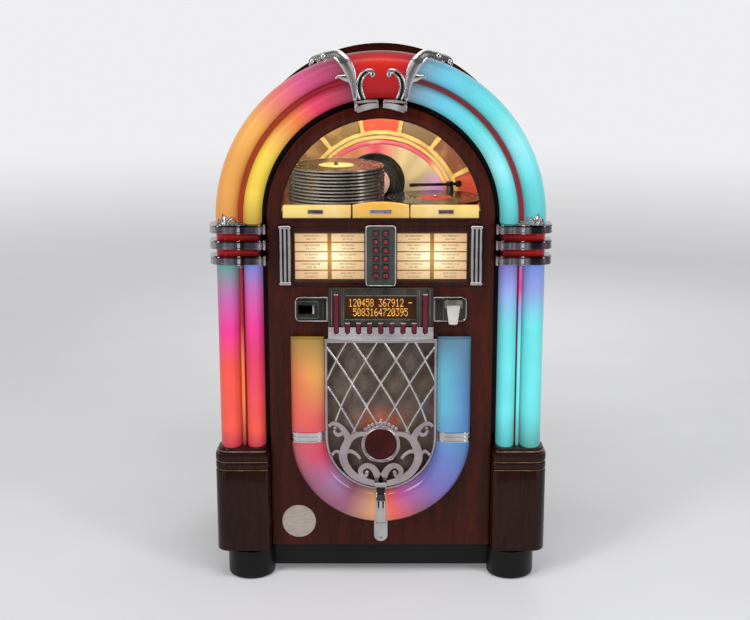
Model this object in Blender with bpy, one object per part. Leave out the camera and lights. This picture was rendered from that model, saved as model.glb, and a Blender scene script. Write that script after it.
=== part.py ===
"""Arch-topped jukebox: a wooden cabinet with a hinged front door that carries the lit
plastic columns, the title rack, the keypad, the display, the coin plates and the
grille, and a shelf inside with the record magazine, the upright player and the deck.

Metres, +Z up, the front faces -Y, the origin is on the floor under the middle."""

import math

import bmesh
import bpy
from mathutils import Vector

MM = 0.001

# Driving sizes of the whole cabinet.
GAP = 0.3 * MM  # clearance that touching pieces keep
OVERRUN = 2 * MM  # how far a cutter or a joined shape reaches past its wall
ARCH_CENTRE = 1055 * MM  # height of the centre of every round-topped piece
CABINET_HALF = 452 * MM  # half width of the cabinet, and its arch radius
BOARD = 18 * MM  # thickness of the cabinet boards
CABINET_FRONT = -233 * MM
CABINET_REAR = 350 * MM
BASE_BOTTOM = 88 * MM
DOOR_GAP = 7 * MM  # between the door's back and the cabinet
FRAME_THICK = 35 * MM
PANEL_THICK = 24.7 * MM
DOOR_BOTTOM = 91 * MM

BASE_TOP = BASE_BOTTOM + BOARD
INNER_HALF = CABINET_HALF - BOARD
FRAME_BACK = CABINET_FRONT - DOOR_GAP
FRAME_FRONT = FRAME_BACK - FRAME_THICK
PANEL_BACK = FRAME_FRONT - GAP
PANEL_FRONT = PANEL_BACK - PANEL_THICK

ARC_STEPS = 28  # facets of a half circle in a board
SHARP = math.radians(35)


def clear_scene():
    for old in list(bpy.data.objects):
        bpy.data.objects.remove(old, do_unlink=True)


def finish(name, colour, roughness, metallic=0.0, alpha=1.0):
    """A plain Principled material with the piece's own colour."""
    mat = bpy.data.materials.new(name)
    mat.use_nodes = True
    shader = mat.node_tree.nodes["Principled BSDF"]
    shader.inputs["Base Color"].default_value = (*colour, 1.0)
    shader.inputs["Roughness"].default_value = roughness
    shader.inputs["Metallic"].default_value = metallic
    shader.inputs["Alpha"].default_value = alpha
    return mat


def make(name, bm, mat, helper=False):
    """An object from a bmesh, smooth on its round faces. A helper is left out of the part."""
    bmesh.ops.recalc_face_normals(bm, faces=bm.faces)
    mesh = bpy.data.meshes.new(name)
    bm.to_mesh(mesh)
    bm.free()
    mesh.materials.append(mat)
    mesh.shade_smooth()
    mesh.set_sharp_from_angle(angle=SHARP)
    obj = bpy.data.objects.new(name, mesh)
    bpy.context.scene.collection.objects.link(obj)
    if helper:
        obj.hide_render = True
        obj.display_type = "WIRE"
    return obj


def combine(obj, other, operation):
    modifier = obj.modifiers.new(operation.lower(), "BOOLEAN")
    modifier.operation = operation
    modifier.object = other
    modifier.solver = "EXACT"


def place(point, depth, axis):
    """A flat point (a, b) at a depth along the axis that the flat shape is extruded on."""
    a, b = point
    return {"X": (depth, a, b), "Y": (a, depth, b), "Z": (a, b, depth)}[axis]


def loop_of(bm, points, depth, axis):
    return [bm.verts.new(place(p, depth, axis)) for p in points]


def wall(bm, first, second):
    for i in range(len(first)):
        bm.faces.new((first[i - 1], first[i], second[i], second[i - 1]))


def cap(bm, loops):
    """Fills the region inside the first loop and outside the others."""
    if len(loops) == 1:
        bm.faces.new(loops[0])
        return
    edges = []
    for loop in loops:
        for i in range(len(loop)):
            pair = (loop[i - 1], loop[i])
            edges.append(bm.edges.get(pair) or bm.edges.new(pair))
    bmesh.ops.triangle_fill(bm, use_beauty=True, use_dissolve=False, edges=edges)


def prism(bm, outline, low, high, axis="Y", holes=(), pockets=()):
    """Extrudes an outline from low to high. Holes go through, and a pocket is
    (outline, depth), sunk from the low side."""
    near = [loop_of(bm, outline, low, axis)]
    far = [loop_of(bm, outline, high, axis)]
    for hole in holes:
        near.append(loop_of(bm, hole, low, axis))
        far.append(loop_of(bm, hole, high, axis))
    for front, back in zip(near, far):
        wall(bm, front, back)
    for pocket, depth in pockets:
        rim = loop_of(bm, pocket, low, axis)
        floor = loop_of(bm, pocket, low + depth, axis)
        wall(bm, rim, floor)
        bm.faces.new(floor)
        near.append(rim)
    cap(bm, near)
    cap(bm, far)


def box(bm, low, high):
    corners = [(low[0], low[2]), (high[0], low[2]), (high[0], high[2]), (low[0], high[2])]
    prism(bm, corners, low[1], high[1])


def rectangle(left, right, bottom, top):
    return [(left, bottom), (right, bottom), (right, top), (left, top)]


def arc(centre, radius, start, end, steps):
    """Points from one angle to another, in degrees, around (a, b)."""
    points = []
    for i in range(steps + 1):
        angle = math.radians(start + (end - start) * i / steps)
        points.append((centre[0] + radius * math.cos(angle), centre[1] + radius * math.sin(angle)))
    return points


def rounded(left, right, bottom, top, radius, steps=3):
    """A rectangle with round corners."""
    corners = (
        ((right - radius, top - radius), 0),
        ((left + radius, top - radius), 90),
        ((left + radius, bottom + radius), 180),
        ((right - radius, bottom + radius), 270),
    )
    points = []
    for centre, start in corners:
        points += arc(centre, radius, start, start + 90, steps)
    return points


def arch_outline(half, bottom, steps=ARC_STEPS):
    """A round-topped door shape: straight sides up to the arch centre, then a half circle."""
    return [(-half, bottom), (half, bottom)] + arc((0, ARCH_CENTRE), half, 0, 180, steps)


def lathe(bm, profile, segments, centre, axis="Z"):
    """Turns a closed profile of (radius, height) about an axis through centre. A point
    with radius zero becomes one vertex."""
    rings = []
    for radius, height in profile:
        if radius == 0:
            rings.append([bm.verts.new(turned(0, 0, height, centre, axis))])
            continue
        ring = []
        for i in range(segments):
            angle = 2 * math.pi * i / segments
            ring.append(
                bm.verts.new(
                    turned(radius * math.cos(angle), radius * math.sin(angle), height, centre, axis)
                )
            )
        rings.append(ring)
    for first, second in zip(rings, rings[1:] + rings[:1]):
        if len(first) == 1 and len(second) == 1:
            continue
        for i in range(segments):
            corners = [first[i - 1] if len(first) > 1 else first[0]]
            if len(first) > 1:
                corners.append(first[i])
            corners.append(second[i] if len(second) > 1 else second[0])
            if len(second) > 1:
                corners.append(second[i - 1])
            bm.faces.new(corners)


def turned(a, b, height, centre, axis):
    x, y, z = centre
    if axis == "Z":
        return (x + a, y + b, z + height)
    if axis == "Y":
        return (x + a, y + height, z + b)
    return (x + height, y + a, z + b)


def sweep(bm, profile, stations):
    """Carries a closed profile of (radius, y) along stations of (x, z, outward x, outward z)."""
    rings = []
    for x, z, out_x, out_z in stations:
        rings.append([bm.verts.new((x + r * out_x, y, z + r * out_z)) for r, y in profile])
    for first, second in zip(rings, rings[1:]):
        wall(bm, first, second)
    bm.faces.new(rings[0])
    bm.faces.new(rings[-1])


def mirrored(points):
    return [(-a, b) for a, b in reversed(points)]


def ribbon_outline(points):
    """The outline of a stroke that follows (a, b, width) points."""
    left, right = [], []
    for i, (a, b, width) in enumerate(points):
        before = points[max(i - 1, 0)]
        after = points[min(i + 1, len(points) - 1)]
        direction = Vector((after[0] - before[0], after[1] - before[1])).normalized()
        side = Vector((-direction.y, direction.x)) * width / 2
        left.append((a + side.x, b + side.y))
        right.append((a - side.x, b - side.y))
    return left + right[::-1]


def smooth_stroke(points, share):
    """A Catmull-Rom curve through (a, b, width) points, with share points for each span."""
    out = []
    padded = [points[0]] + list(points) + [points[-1]]
    for i in range(1, len(padded) - 2):
        p0, p1, p2, p3 = padded[i - 1 : i + 3]
        for step in range(share):
            t = step / share
            out.append(
                tuple(
                    0.5
                    * (
                        2 * p1[k]
                        + (p2[k] - p0[k]) * t
                        + (2 * p0[k] - 5 * p1[k] + 4 * p2[k] - p3[k]) * t**2
                        + (3 * p1[k] - p0[k] - 3 * p2[k] + p3[k]) * t**3
                    )
                    for k in range(3)
                )
            )
    out.append(points[-1])
    return out


clear_scene()

WALNUT = finish("walnut veneer", (0.16, 0.045, 0.02), 0.3)
DARK_WOOD = finish("dark stained wood", (0.07, 0.03, 0.02), 0.45)
BOARD_FINISH = finish("black painted board", (0.02, 0.02, 0.02), 0.6)
CHROME = finish("chrome", (0.8, 0.8, 0.82), 0.12, 1.0)
WARM_LENS = finish("lit warm plastic", (0.9, 0.45, 0.15), 0.25)
BLUE_LENS = finish("lit coloured plastic", (0.4, 0.6, 0.85), 0.25)
RED_LENS = finish("red plastic", (0.7, 0.03, 0.02), 0.25)
GLASS = finish("window glass", (0.9, 0.95, 0.95), 0.05, 0.0, 0.2)
CREAM = finish("lit cream plastic", (0.9, 0.7, 0.35), 0.35)
BLACK = finish("black plastic", (0.03, 0.03, 0.03), 0.35)
GOLD = finish("gold painted relief", (0.8, 0.6, 0.3), 0.4)
VINYL = finish("black vinyl", (0.015, 0.015, 0.018), 0.15)
GREY = finish("grey painted steel", (0.3, 0.31, 0.33), 0.4, 0.4)
IVORY = finish("ivory plastic", (0.85, 0.83, 0.8), 0.35)
SCREEN = finish("amber display", (0.15, 0.07, 0.02), 0.15)


# Cabinet: a floor board, a glued shell of two sides under a bent top, a vented back.
BACK_SETBACK = 13 * MM
BACK_THICK = 12 * MM
VENT_HALF, VENT_HEIGHT, VENT_PITCH = 70 * MM, 9 * MM, 24 * MM
VENT_ROWS = 8
VENT_END_STEPS = 4
VENT_LOW = 250 * MM
VENT_HIGH = 1130 * MM
INLET_LEFT, INLET_RIGHT = 250 * MM, 298 * MM
INLET_LOW, INLET_HIGH = 150 * MM, 182 * MM


def cabinet():
    bm = bmesh.new()
    box(bm, (-CABINET_HALF, CABINET_FRONT, BASE_BOTTOM), (CABINET_HALF, CABINET_REAR, BASE_TOP))
    make("base_board", bm, BOARD_FINISH)
    bm = bmesh.new()
    outer = arch_outline(CABINET_HALF, BASE_TOP + GAP)
    inner = arch_outline(INNER_HALF, BASE_TOP + GAP)
    prism(bm, outer[1:] + outer[:1] + inner[:1] + inner[:0:-1], CABINET_FRONT, CABINET_REAR)
    make("cabinet_shell", bm, WALNUT)
    bm = bmesh.new()
    slots = []
    for first in (VENT_LOW, VENT_HIGH):
        for row in range(VENT_ROWS):
            low = first + row * VENT_PITCH
            middle, end = low + VENT_HEIGHT / 2, VENT_HEIGHT / 2
            slot = arc((VENT_HALF - end, middle), end, -90, 90, VENT_END_STEPS)
            slots.append(slot + arc((end - VENT_HALF, middle), end, 90, 270, VENT_END_STEPS))
    slots.append(rectangle(INLET_LEFT, INLET_RIGHT, INLET_LOW, INLET_HIGH))
    rear = CABINET_REAR - BACK_SETBACK
    outline = arch_outline(INNER_HALF - GAP, BASE_TOP + GAP)
    prism(bm, outline, rear - BACK_THICK, rear, holes=slots)
    make("back_panel", bm, BOARD_FINISH)


# Plinth boards and round feet, all black, under the floor board.
FOOT_RADIUS = 68 * MM
FOOT_CHAMFER = 12 * MM
FOOT_X = 379 * MM
FOOT_FRONT_Y = -276 * MM
FOOT_REAR_Y = 262 * MM
FOOT_SEGMENTS = 28
PLINTH_BOTTOM = 24 * MM
PLINTH_FRONT = -284 * MM
PLINTH_REAR = 325 * MM
PLINTH_HALF = FOOT_X - FOOT_RADIUS / 2


def plinth_and_feet():
    bm = bmesh.new()
    top = BASE_BOTTOM - GAP
    front, rear, half = PLINTH_FRONT, PLINTH_REAR, PLINTH_HALF
    outline = [(-half, front), (half, front), (half, rear), (-half, rear)]
    front, rear, half = front + BOARD, rear - BOARD, half - BOARD
    inside = [(-half, front), (half, front), (half, rear), (-half, rear)]
    prism(bm, outline, PLINTH_BOTTOM, top, "Z", holes=[inside])
    base = make("plinth_and_feet", bm, BLACK)
    profile = [
        (0, 0),
        (FOOT_RADIUS - FOOT_CHAMFER, 0),
        (FOOT_RADIUS, FOOT_CHAMFER),
        (FOOT_RADIUS, top),
        (0, top),
    ]
    for x in (-FOOT_X, FOOT_X):
        for y in (FOOT_FRONT_Y, FOOT_REAR_Y):
            bm = bmesh.new()
            lathe(bm, profile, FOOT_SEGMENTS, (x, y, 0))
            combine(base, make("foot", bm, BLACK, helper=True), "UNION")


# Openings that run through the door's two layers.
WINDOW_RADIUS = 277 * MM
WINDOW_BOTTOM = 1057 * MM
RACK_HALF = 243 * MM
RACK_BOTTOM, RACK_TOP = 876 * MM, 1021 * MM
GRILLE_HALF = 160 * MM
GRILLE_CENTRE = 426 * MM
GRILLE_TOP = 716 * MM
SLOT_LEFT, SLOT_RIGHT = -232 * MM, -191 * MM
SLOT_LOW, SLOT_HIGH = 785.5 * MM, 812 * MM
PANEL_HALF = 316 * MM
PANEL_BOTTOM = DOOR_BOTTOM
GLASS_RADIUS = 290 * MM
GLASS_BOTTOM = 1040 * MM
GLASS_THICK = 4 * MM
U_STEPS = 18


def half_disc(radius, bottom):
    """A round-topped opening, whose flat bottom lies near the arch's centre."""
    start = math.degrees(math.asin(max(bottom - ARCH_CENTRE, 0) / radius))
    points = arc((0, ARCH_CENTRE), radius, start, 180 - start, ARC_STEPS)
    if bottom < ARCH_CENTRE:
        points = [(-radius, bottom), (radius, bottom)] + points
    return points


def u_outline(half, top, steps=U_STEPS):
    """The grille's shape: straight sides from the top down to a half circle."""
    return arc((0, GRILLE_CENTRE), half, 180, 360, steps) + [(half, top), (-half, top)]


def door_boards():
    slot = rectangle(SLOT_LEFT, SLOT_RIGHT, SLOT_LOW, SLOT_HIGH)
    rack = rectangle(-RACK_HALF, RACK_HALF, RACK_BOTTOM, RACK_TOP)
    grille = u_outline(GRILLE_HALF, GRILLE_TOP)
    bm = bmesh.new()
    holes = [half_disc(GLASS_RADIUS, GLASS_BOTTOM), rack, grille, slot]
    prism(bm, arch_outline(CABINET_HALF, DOOR_BOTTOM), FRAME_FRONT, FRAME_BACK, holes=holes)
    make("door_frame", bm, BOARD_FINISH)
    bm = bmesh.new()
    holes = [half_disc(WINDOW_RADIUS, WINDOW_BOTTOM), rack, grille, slot]
    prism(bm, arch_outline(PANEL_HALF, PANEL_BOTTOM), PANEL_FRONT, PANEL_BACK, holes=holes)
    make("front_panel", bm, WALNUT)
    bm = bmesh.new()
    pane = half_disc(GLASS_RADIUS - GAP, GLASS_BOTTOM + GAP)
    front = PANEL_BACK + GAP
    prism(bm, pane, front, front + GLASS_THICK)
    make("window_glass", bm, GLASS)


# Lit cover along the window's lower edge: two wings and a middle with an arched top.
SILL_HALF = 272 * MM
SILL_MIDDLE_HALF = 78 * MM
SILL_TOP = 1092 * MM
SILL_RISE = 9 * MM
SILL_RECESS = 3 * MM
SILL_CHAMFER = 4 * MM
SILL_GROOVE = 2 * MM
SILL_ARC_STEPS = 8


def sill_cover():
    bm = bmesh.new()
    low = WINDOW_BOTTOM + GAP
    right = [(SILL_HALF, low), (SILL_HALF, SILL_TOP - SILL_CHAMFER)]
    right += [(SILL_HALF - SILL_CHAMFER, SILL_TOP), (SILL_MIDDLE_HALF + SILL_GROOVE, SILL_TOP)]
    right.append((SILL_MIDDLE_HALF + SILL_GROOVE, SILL_TOP - SILL_GROOVE))
    right.append((SILL_MIDDLE_HALF, SILL_TOP - SILL_GROOVE))
    crown = []
    for i in range(SILL_ARC_STEPS + 1):
        share = 1 - 2 * i / SILL_ARC_STEPS
        crown.append((share * SILL_MIDDLE_HALF, SILL_TOP + SILL_RISE * (1 - share**2)))
    outline = right + crown + mirrored(right)
    prism(bm, outline, PANEL_FRONT + SILL_RECESS, PANEL_BACK)
    make("sill_light_cover", bm, CREAM)


# Lit plastic: each side of the arch and each column is one moulding with two round
# lobes and a raised strip between them, and a red crown fills the top of the arch.
LENS_WALL = 3 * MM
OUTER_LOBE = (398 * MM, 459 * MM)
INNER_LOBE = (331 * MM, 383 * MM)
OUTER_LOBE_DEPTH = 58 * MM
INNER_LOBE_DEPTH = 52 * MM
STRIP = (385.5 * MM, 395.5 * MM)
STRIP_DEPTH = 33 * MM
CROWN_DEPTH = 60 * MM
CROWN_HALF_ANGLE = 12.5
LOBE_STEPS = 6
STRIP_STEPS = 4
ARCH_LENS_STEPS = 14
CROWN_STEPS = 6
RING_TOP = 1045 * MM
RING_HEIGHT = 23 * MM
RING_PITCH = 43.6 * MM
RING_COUNT = 3
COLUMN_TOP = RING_TOP - (RING_COUNT - 1) * RING_PITCH - RING_HEIGHT
COLUMN_BOTTOM = 400 * MM
LENS_BACK = FRAME_FRONT - GAP
CROWN_LOBE = (INNER_LOBE[0], OUTER_LOBE[1])


def half_oval(span, depth, back, sweep_share=1):
    """Points of (radius, y) from the span's outer edge over the front to its inner edge,
    or part of the way there."""
    middle, half = (span[0] + span[1]) / 2, (span[1] - span[0]) / 2
    points = []
    for i in range(LOBE_STEPS + 1):
        angle = math.pi * sweep_share * i / LOBE_STEPS
        points.append((middle + half * math.cos(angle), back - depth * math.sin(angle)))
    return points


def shell_of(span, depth, back, thick, sweep_share=1):
    """A half-oval shell, open at the back."""
    inside = half_oval((span[0] + thick, span[1] - thick), depth - thick, back, sweep_share)
    return half_oval(span, depth, back, sweep_share) + inside[::-1]


def moulding_profile():
    """Outer lobe, web with its raised strip, inner lobe, and back along the inside."""
    web = LENS_BACK - LENS_WALL
    half = (STRIP[1] - STRIP[0]) / 2
    round_at = ((STRIP[0] + STRIP[1]) / 2, LENS_BACK - STRIP_DEPTH + half)
    points = half_oval(OUTER_LOBE, OUTER_LOBE_DEPTH, LENS_BACK)[:-1]
    points += [(OUTER_LOBE[0], web), (STRIP[1], web)]
    points += arc(round_at, half, 0, -180, STRIP_STEPS)
    points += [(STRIP[0], web), (INNER_LOBE[1], web)]
    points += half_oval(INNER_LOBE, INNER_LOBE_DEPTH, LENS_BACK)[1:]
    for span, depth in ((INNER_LOBE, INNER_LOBE_DEPTH), (OUTER_LOBE, OUTER_LOBE_DEPTH)):
        inside = (span[0] + LENS_WALL, span[1] - LENS_WALL)
        points += half_oval(inside, depth - LENS_WALL, LENS_BACK)[::-1]
    return points


def arch_stations(side, crown_gap):
    """From just above the top ring, up the side and round to the crown."""
    stations = [(0, RING_TOP + GAP, side, 0)]
    stop = 90 - CROWN_HALF_ANGLE - crown_gap
    for i in range(ARCH_LENS_STEPS + 1):
        angle = math.radians(stop * i / ARCH_LENS_STEPS)
        stations.append((0, ARCH_CENTRE, side * math.cos(angle), math.sin(angle)))
    return stations


def lit_plastic():
    crown_gap = math.degrees(GAP / CROWN_LOBE[0])
    profile = moulding_profile()
    for side, word, colour in ((-1, "left", WARM_LENS), (1, "right", BLUE_LENS)):
        bm = bmesh.new()
        sweep(bm, profile, arch_stations(side, crown_gap))
        make(f"arch_lens_{word}", bm, colour)
        bm = bmesh.new()
        ends = (COLUMN_BOTTOM + GAP, COLUMN_TOP - GAP)
        sweep(bm, profile, [(0, z, side, 0) for z in ends])
        make(f"column_lens_{word}", bm, colour)
    bm = bmesh.new()
    stations = []
    for i in range(CROWN_STEPS + 1):
        angle = math.radians(90 + CROWN_HALF_ANGLE * (1 - 2 * i / CROWN_STEPS))
        stations.append((0, ARCH_CENTRE, math.cos(angle), math.sin(angle)))
    sweep(bm, shell_of(CROWN_LOBE, CROWN_DEPTH, LENS_BACK, LENS_WALL), stations)
    make("crown_lens", bm, RED_LENS)


# Column trim: a cap of chrome rings with red bands set in between them, and a grooved
# wooden base under the column.
COLUMN_INNER = 318 * MM
COLUMN_WIDE = 155 * MM
COLUMN_OUTER = COLUMN_INNER + COLUMN_WIDE
COLUMN_FRONT = -350 * MM
COLUMN_CORNER = 34 * MM
COLUMN_BEVEL = 14 * MM
BAND_INSET = 12 * MM
BAND_EASE = 0.6 * MM
BASE_GROOVE = 4 * MM
BASE_NECK = 7 * MM
SPRIG_INSET = 43 * MM  # of the leaf's root, from the column's outer face
SPRIG_X = COLUMN_OUTER - SPRIG_INSET
SPRIG_HIGH = 31 * MM
SPRIG_SET, SPRIG_THICK = 3 * MM, 9 * MM
# The leaf's outline, outwards and up from its root.
SPRIG_SHARES = (
    (0.5, -0.06), (0.58, 0.4), (0.42, 0.7), (0.5, 0.98), (0.22, 0.86), (0.05, 1.0), (-0.12, 0.78),
    (-0.34, 0.84), (-0.42, 0.5), (-0.66, 0.4), (-0.98, 0.46), (-1.26, 0.3), (-1.5, 0.12),
    (-2.1, 0.08), (-2.1, -0.06),
)
# Heights up the wooden base and how far each one is set in.
BASE_LEVELS = (
    (91 * MM, 3 * MM),
    (96 * MM, 0),
    (333 * MM, 0),
    (337 * MM, BASE_GROOVE),
    (341 * MM, 0),
    (357 * MM, 0),
    (361 * MM, BASE_GROOVE),
    (365 * MM, 0),
    (383 * MM, 0),
    (388 * MM, BASE_NECK),
    (396 * MM, BASE_NECK),
    (400 * MM, BASE_NECK + BASE_GROOVE),
)


def column_outline(inset, side):
    """The column's plan, (x, y), set in all round but at its back."""
    back = FRAME_FRONT - GAP
    front = COLUMN_FRONT + inset
    inner, outer = COLUMN_INNER + inset, COLUMN_OUTER - inset
    corner = COLUMN_CORNER
    points = [(inner, back), (inner, front + COLUMN_BEVEL), (inner + COLUMN_BEVEL, front)]
    points += arc((outer - corner, front + corner), corner, -90, 0, 5)
    points.append((outer, back))
    return [(side * x, y) for x, y in points]


def cap_levels():
    """Heights up the ringed cap, and how far each one is set in."""
    levels = []
    for i in range(RING_COUNT - 1, -1, -1):
        top = RING_TOP - i * RING_PITCH
        levels += [(top - RING_HEIGHT, 0), (top, 0)]
        if i:
            above = top + RING_PITCH - RING_HEIGHT
            levels += [(top + BAND_EASE, BAND_INSET), (above - BAND_EASE, BAND_INSET)]
    return levels


def cap_sprig(cap, side, word):
    """A leaf casting that stands on the top ring, in front of the arch's lens."""
    bm = bmesh.new()
    outline = [(side * (SPRIG_X + a * SPRIG_HIGH), RING_TOP + b * SPRIG_HIGH) for a, b in SPRIG_SHARES]
    front = COLUMN_FRONT + SPRIG_SET
    prism(bm, outline, front, front + SPRIG_THICK)
    combine(cap, make(f"cap_sprig_{word}", bm, CHROME, helper=True), "UNION")


def column_trim():
    for side, word in ((-1, "left"), (1, "right")):
        for name, levels, colour in (
            ("column_cap", cap_levels(), CHROME),
            ("column_base", BASE_LEVELS, DARK_WOOD),
        ):
            bm = bmesh.new()
            loops = [loop_of(bm, column_outline(inset, side), z, "Z") for z, inset in levels]
            for first, second in zip(loops, loops[1:]):
                wall(bm, first, second)
            bm.faces.new(loops[0])
            bm.faces.new(loops[-1])
            trim = make(f"{name}_{word}", bm, colour)
            if name == "column_cap":
                cap_sprig(trim, side, word)


# Title rack: a light box behind two windows of title strips, with chrome end trims.
BOX_FRONT = PANEL_FRONT + 2.5 * MM
BOX_BACK = -215 * MM
WINDOW_EDGE = 3 * MM  # of the box, either side of its windows
WINDOW_INNER, WINDOW_OUTER = 46 * MM, RACK_HALF - WINDOW_EDGE
STRIPS_UNDER, STRIPS_OVER = 6.5 * MM, 6 * MM
STRIPS_LOW, STRIPS_HIGH = RACK_BOTTOM + STRIPS_UNDER, RACK_TOP - STRIPS_OVER
STRIPS_SUNK = 5 * MM
TRIM_INNER, TRIM_OUTER = 247 * MM, 285 * MM
TRIM_LOW, TRIM_HIGH = 868 * MM, 1041 * MM
TRIM_DEPTH = 20 * MM
TRIM_RIBS = 3
TRIM_GROOVE = 5 * MM


def trim_profile(side):
    """The end trim's plan: three round ribs on a back plate, as (x, y)."""
    front, back = PANEL_FRONT - TRIM_DEPTH, PANEL_FRONT - GAP
    width = (TRIM_OUTER - TRIM_INNER) / TRIM_RIBS
    points = [(TRIM_INNER, back)]
    for i in range(TRIM_RIBS):
        middle = TRIM_INNER + (i + 0.5) * width
        centre = (middle, front + TRIM_GROOVE)
        for a, b in arc(centre, width / 2, 180, 360, 4):
            points.append((a, front + TRIM_GROOVE + (b - centre[1]) * TRIM_GROOVE / (width / 2)))
    points.append((TRIM_OUTER, back))
    cleaned = [p for i, p in enumerate(points) if (Vector(p) - Vector(points[i - 1])).length > GAP]
    return [(side * x, y) for x, y in cleaned]


def title_rack():
    bm = bmesh.new()
    outline = rectangle(-RACK_HALF + GAP, RACK_HALF - GAP, RACK_BOTTOM + GAP, RACK_TOP - GAP)
    pockets = []
    for left, right in ((-WINDOW_OUTER, -WINDOW_INNER), (WINDOW_INNER, WINDOW_OUTER)):
        pockets.append((rectangle(left, right, STRIPS_LOW, STRIPS_HIGH), STRIPS_SUNK))
    prism(bm, outline, BOX_FRONT, BOX_BACK, pockets=pockets)
    make("title_light_box", bm, CREAM)
    for side, word in ((-1, "left"), (1, "right")):
        bm = bmesh.new()
        prism(bm, trim_profile(side), TRIM_LOW, TRIM_HIGH, "Z")
        make(f"title_trim_{word}", bm, CHROME)


# Keypad: a chrome-edged housing on the light box, with two columns of six sprung keys.
PAD_HALF = WINDOW_INNER - WINDOW_EDGE
PAD_LOW, PAD_HIGH = 868 * MM, 1041 * MM
PAD_FRONT = -322 * MM
PAD_CORNER = 8 * MM
PAD_PLATE = 6 * MM
KEY_SIZE = 16.5 * MM
KEY_CLEAR = 0.5 * MM
KEY_X = 13.3 * MM
KEY_ROWS = 6
KEY_PITCH = 23.8 * MM
KEY_TOP_ROW = 1018 * MM
KEY_PROUD = 3.5 * MM
KEY_FLANGE = 3 * MM
KEY_FLANGE_THICK = 2 * MM
KEY_BEVEL = 1.2 * MM
PAD_REST = PANEL_FRONT - GAP


def square(x, z, half):
    return rectangle(x - half, x + half, z - half, z + half)


def key_places():
    for row in range(KEY_ROWS):
        for column, x in enumerate((-KEY_X, KEY_X)):
            yield row * 2 + column + 1, x, KEY_TOP_ROW - row * KEY_PITCH


def keypad():
    """The housing is a tray: a plate with key holes in front of a deep rim."""
    bm = bmesh.new()
    outline = rounded(-PAD_HALF, PAD_HALF, PAD_LOW, PAD_HIGH, PAD_CORNER)
    inner_wall = KEY_BEVEL * 3
    inside = rectangle(-PAD_HALF + PAD_PLATE + inner_wall, PAD_HALF - PAD_PLATE - inner_wall,
                       PAD_LOW + PAD_PLATE + inner_wall, PAD_HIGH - PAD_PLATE - inner_wall)
    holes = [square(x, z, KEY_SIZE / 2 + KEY_CLEAR) for _, x, z in key_places()]
    inner = PAD_FRONT + PAD_PLATE
    near = [loop_of(bm, outline, PAD_FRONT, "Y")]
    far = [loop_of(bm, outline, PAD_REST, "Y"), loop_of(bm, inside, PAD_REST, "Y")]
    ceiling = [loop_of(bm, inside, inner, "Y")]
    wall(bm, near[0], far[0])
    wall(bm, far[1], ceiling[0])
    for hole in holes:
        front, back = loop_of(bm, hole, PAD_FRONT, "Y"), loop_of(bm, hole, inner, "Y")
        wall(bm, front, back)
        near.append(front)
        ceiling.append(back)
    for loops in (near, far, ceiling):
        cap(bm, loops)
    make("keypad_housing", bm, BLACK)
    for number, x, z in key_places():
        bm = bmesh.new()
        face = PAD_FRONT - KEY_PROUD
        plate = inner + GAP
        levels = (
            (face, KEY_SIZE / 2 - KEY_BEVEL),
            (face + KEY_BEVEL, KEY_SIZE / 2),
            (plate, KEY_SIZE / 2),
            (plate, KEY_SIZE / 2 + KEY_FLANGE),
            (plate + KEY_FLANGE_THICK, KEY_SIZE / 2 + KEY_FLANGE),
        )
        loops = [loop_of(bm, square(0, 0, half), y - face, "Y") for y, half in levels]
        for first, second in zip(loops, loops[1:]):
            wall(bm, first, second)
        bm.faces.new(loops[0])
        bm.faces.new(loops[-1])
        key = make(f"key_{number:02d}", bm, RED_LENS)
        key.location = (x, face, z)


# Display: a dark housing with a sunk amber screen, over a chrome comb whose slots
# show the bars of one red moulding.
DISPLAY_HALF = 147 * MM
DISPLAY_LOW, DISPLAY_HIGH = 722 * MM, 866 * MM
DISPLAY_FRONT = -335 * MM
SCREEN_HALF = 98 * MM
SCREEN_LOW, SCREEN_HIGH = 781 * MM, 841 * MM
SCREEN_SUNK = 4 * MM
BAR_WIDTH = 13 * MM
BAR_PITCH = 31 * MM
BAR_COUNT = 7
BAR_LOW, BAR_HIGH = 738 * MM, 768 * MM
LONG_BAR_RISE = 82 * MM
LONG_BAR_HIGH = BAR_HIGH + LONG_BAR_RISE
BAR_PROUD = 5 * MM
BAR_POCKET = 8 * MM
BAR_PLATE = 5 * MM
COMB_HIGH = 757 * MM
COMB_PROUD = 9 * MM
DISPLAY_RAIL_HALF = 122 * MM
DISPLAY_RAIL_DROP = 13 * MM  # of the chrome rail below the comb
DISPLAY_RAIL_THICK = 18 * MM


def bar_places():
    """The middles of the short bars with one long bar beyond each end."""
    half = (BAR_COUNT + 1) / 2
    return [(i - half) * BAR_PITCH for i in range(BAR_COUNT + 2)]


def comb_outline(places):
    """A strip below the screen with a notch, open at the top, round each bar."""
    reach = BAR_WIDTH / 2 + GAP
    outline = [(-DISPLAY_HALF, DISPLAY_LOW), (DISPLAY_HALF, DISPLAY_LOW), (DISPLAY_HALF, COMB_HIGH)]
    for x in reversed(places):
        for shift, z in ((1, COMB_HIGH), (1, BAR_LOW - GAP), (-1, BAR_LOW - GAP), (-1, COMB_HIGH)):
            outline.append((x + shift * reach, z))
    outline.append((-DISPLAY_HALF, COMB_HIGH))
    return outline


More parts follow.
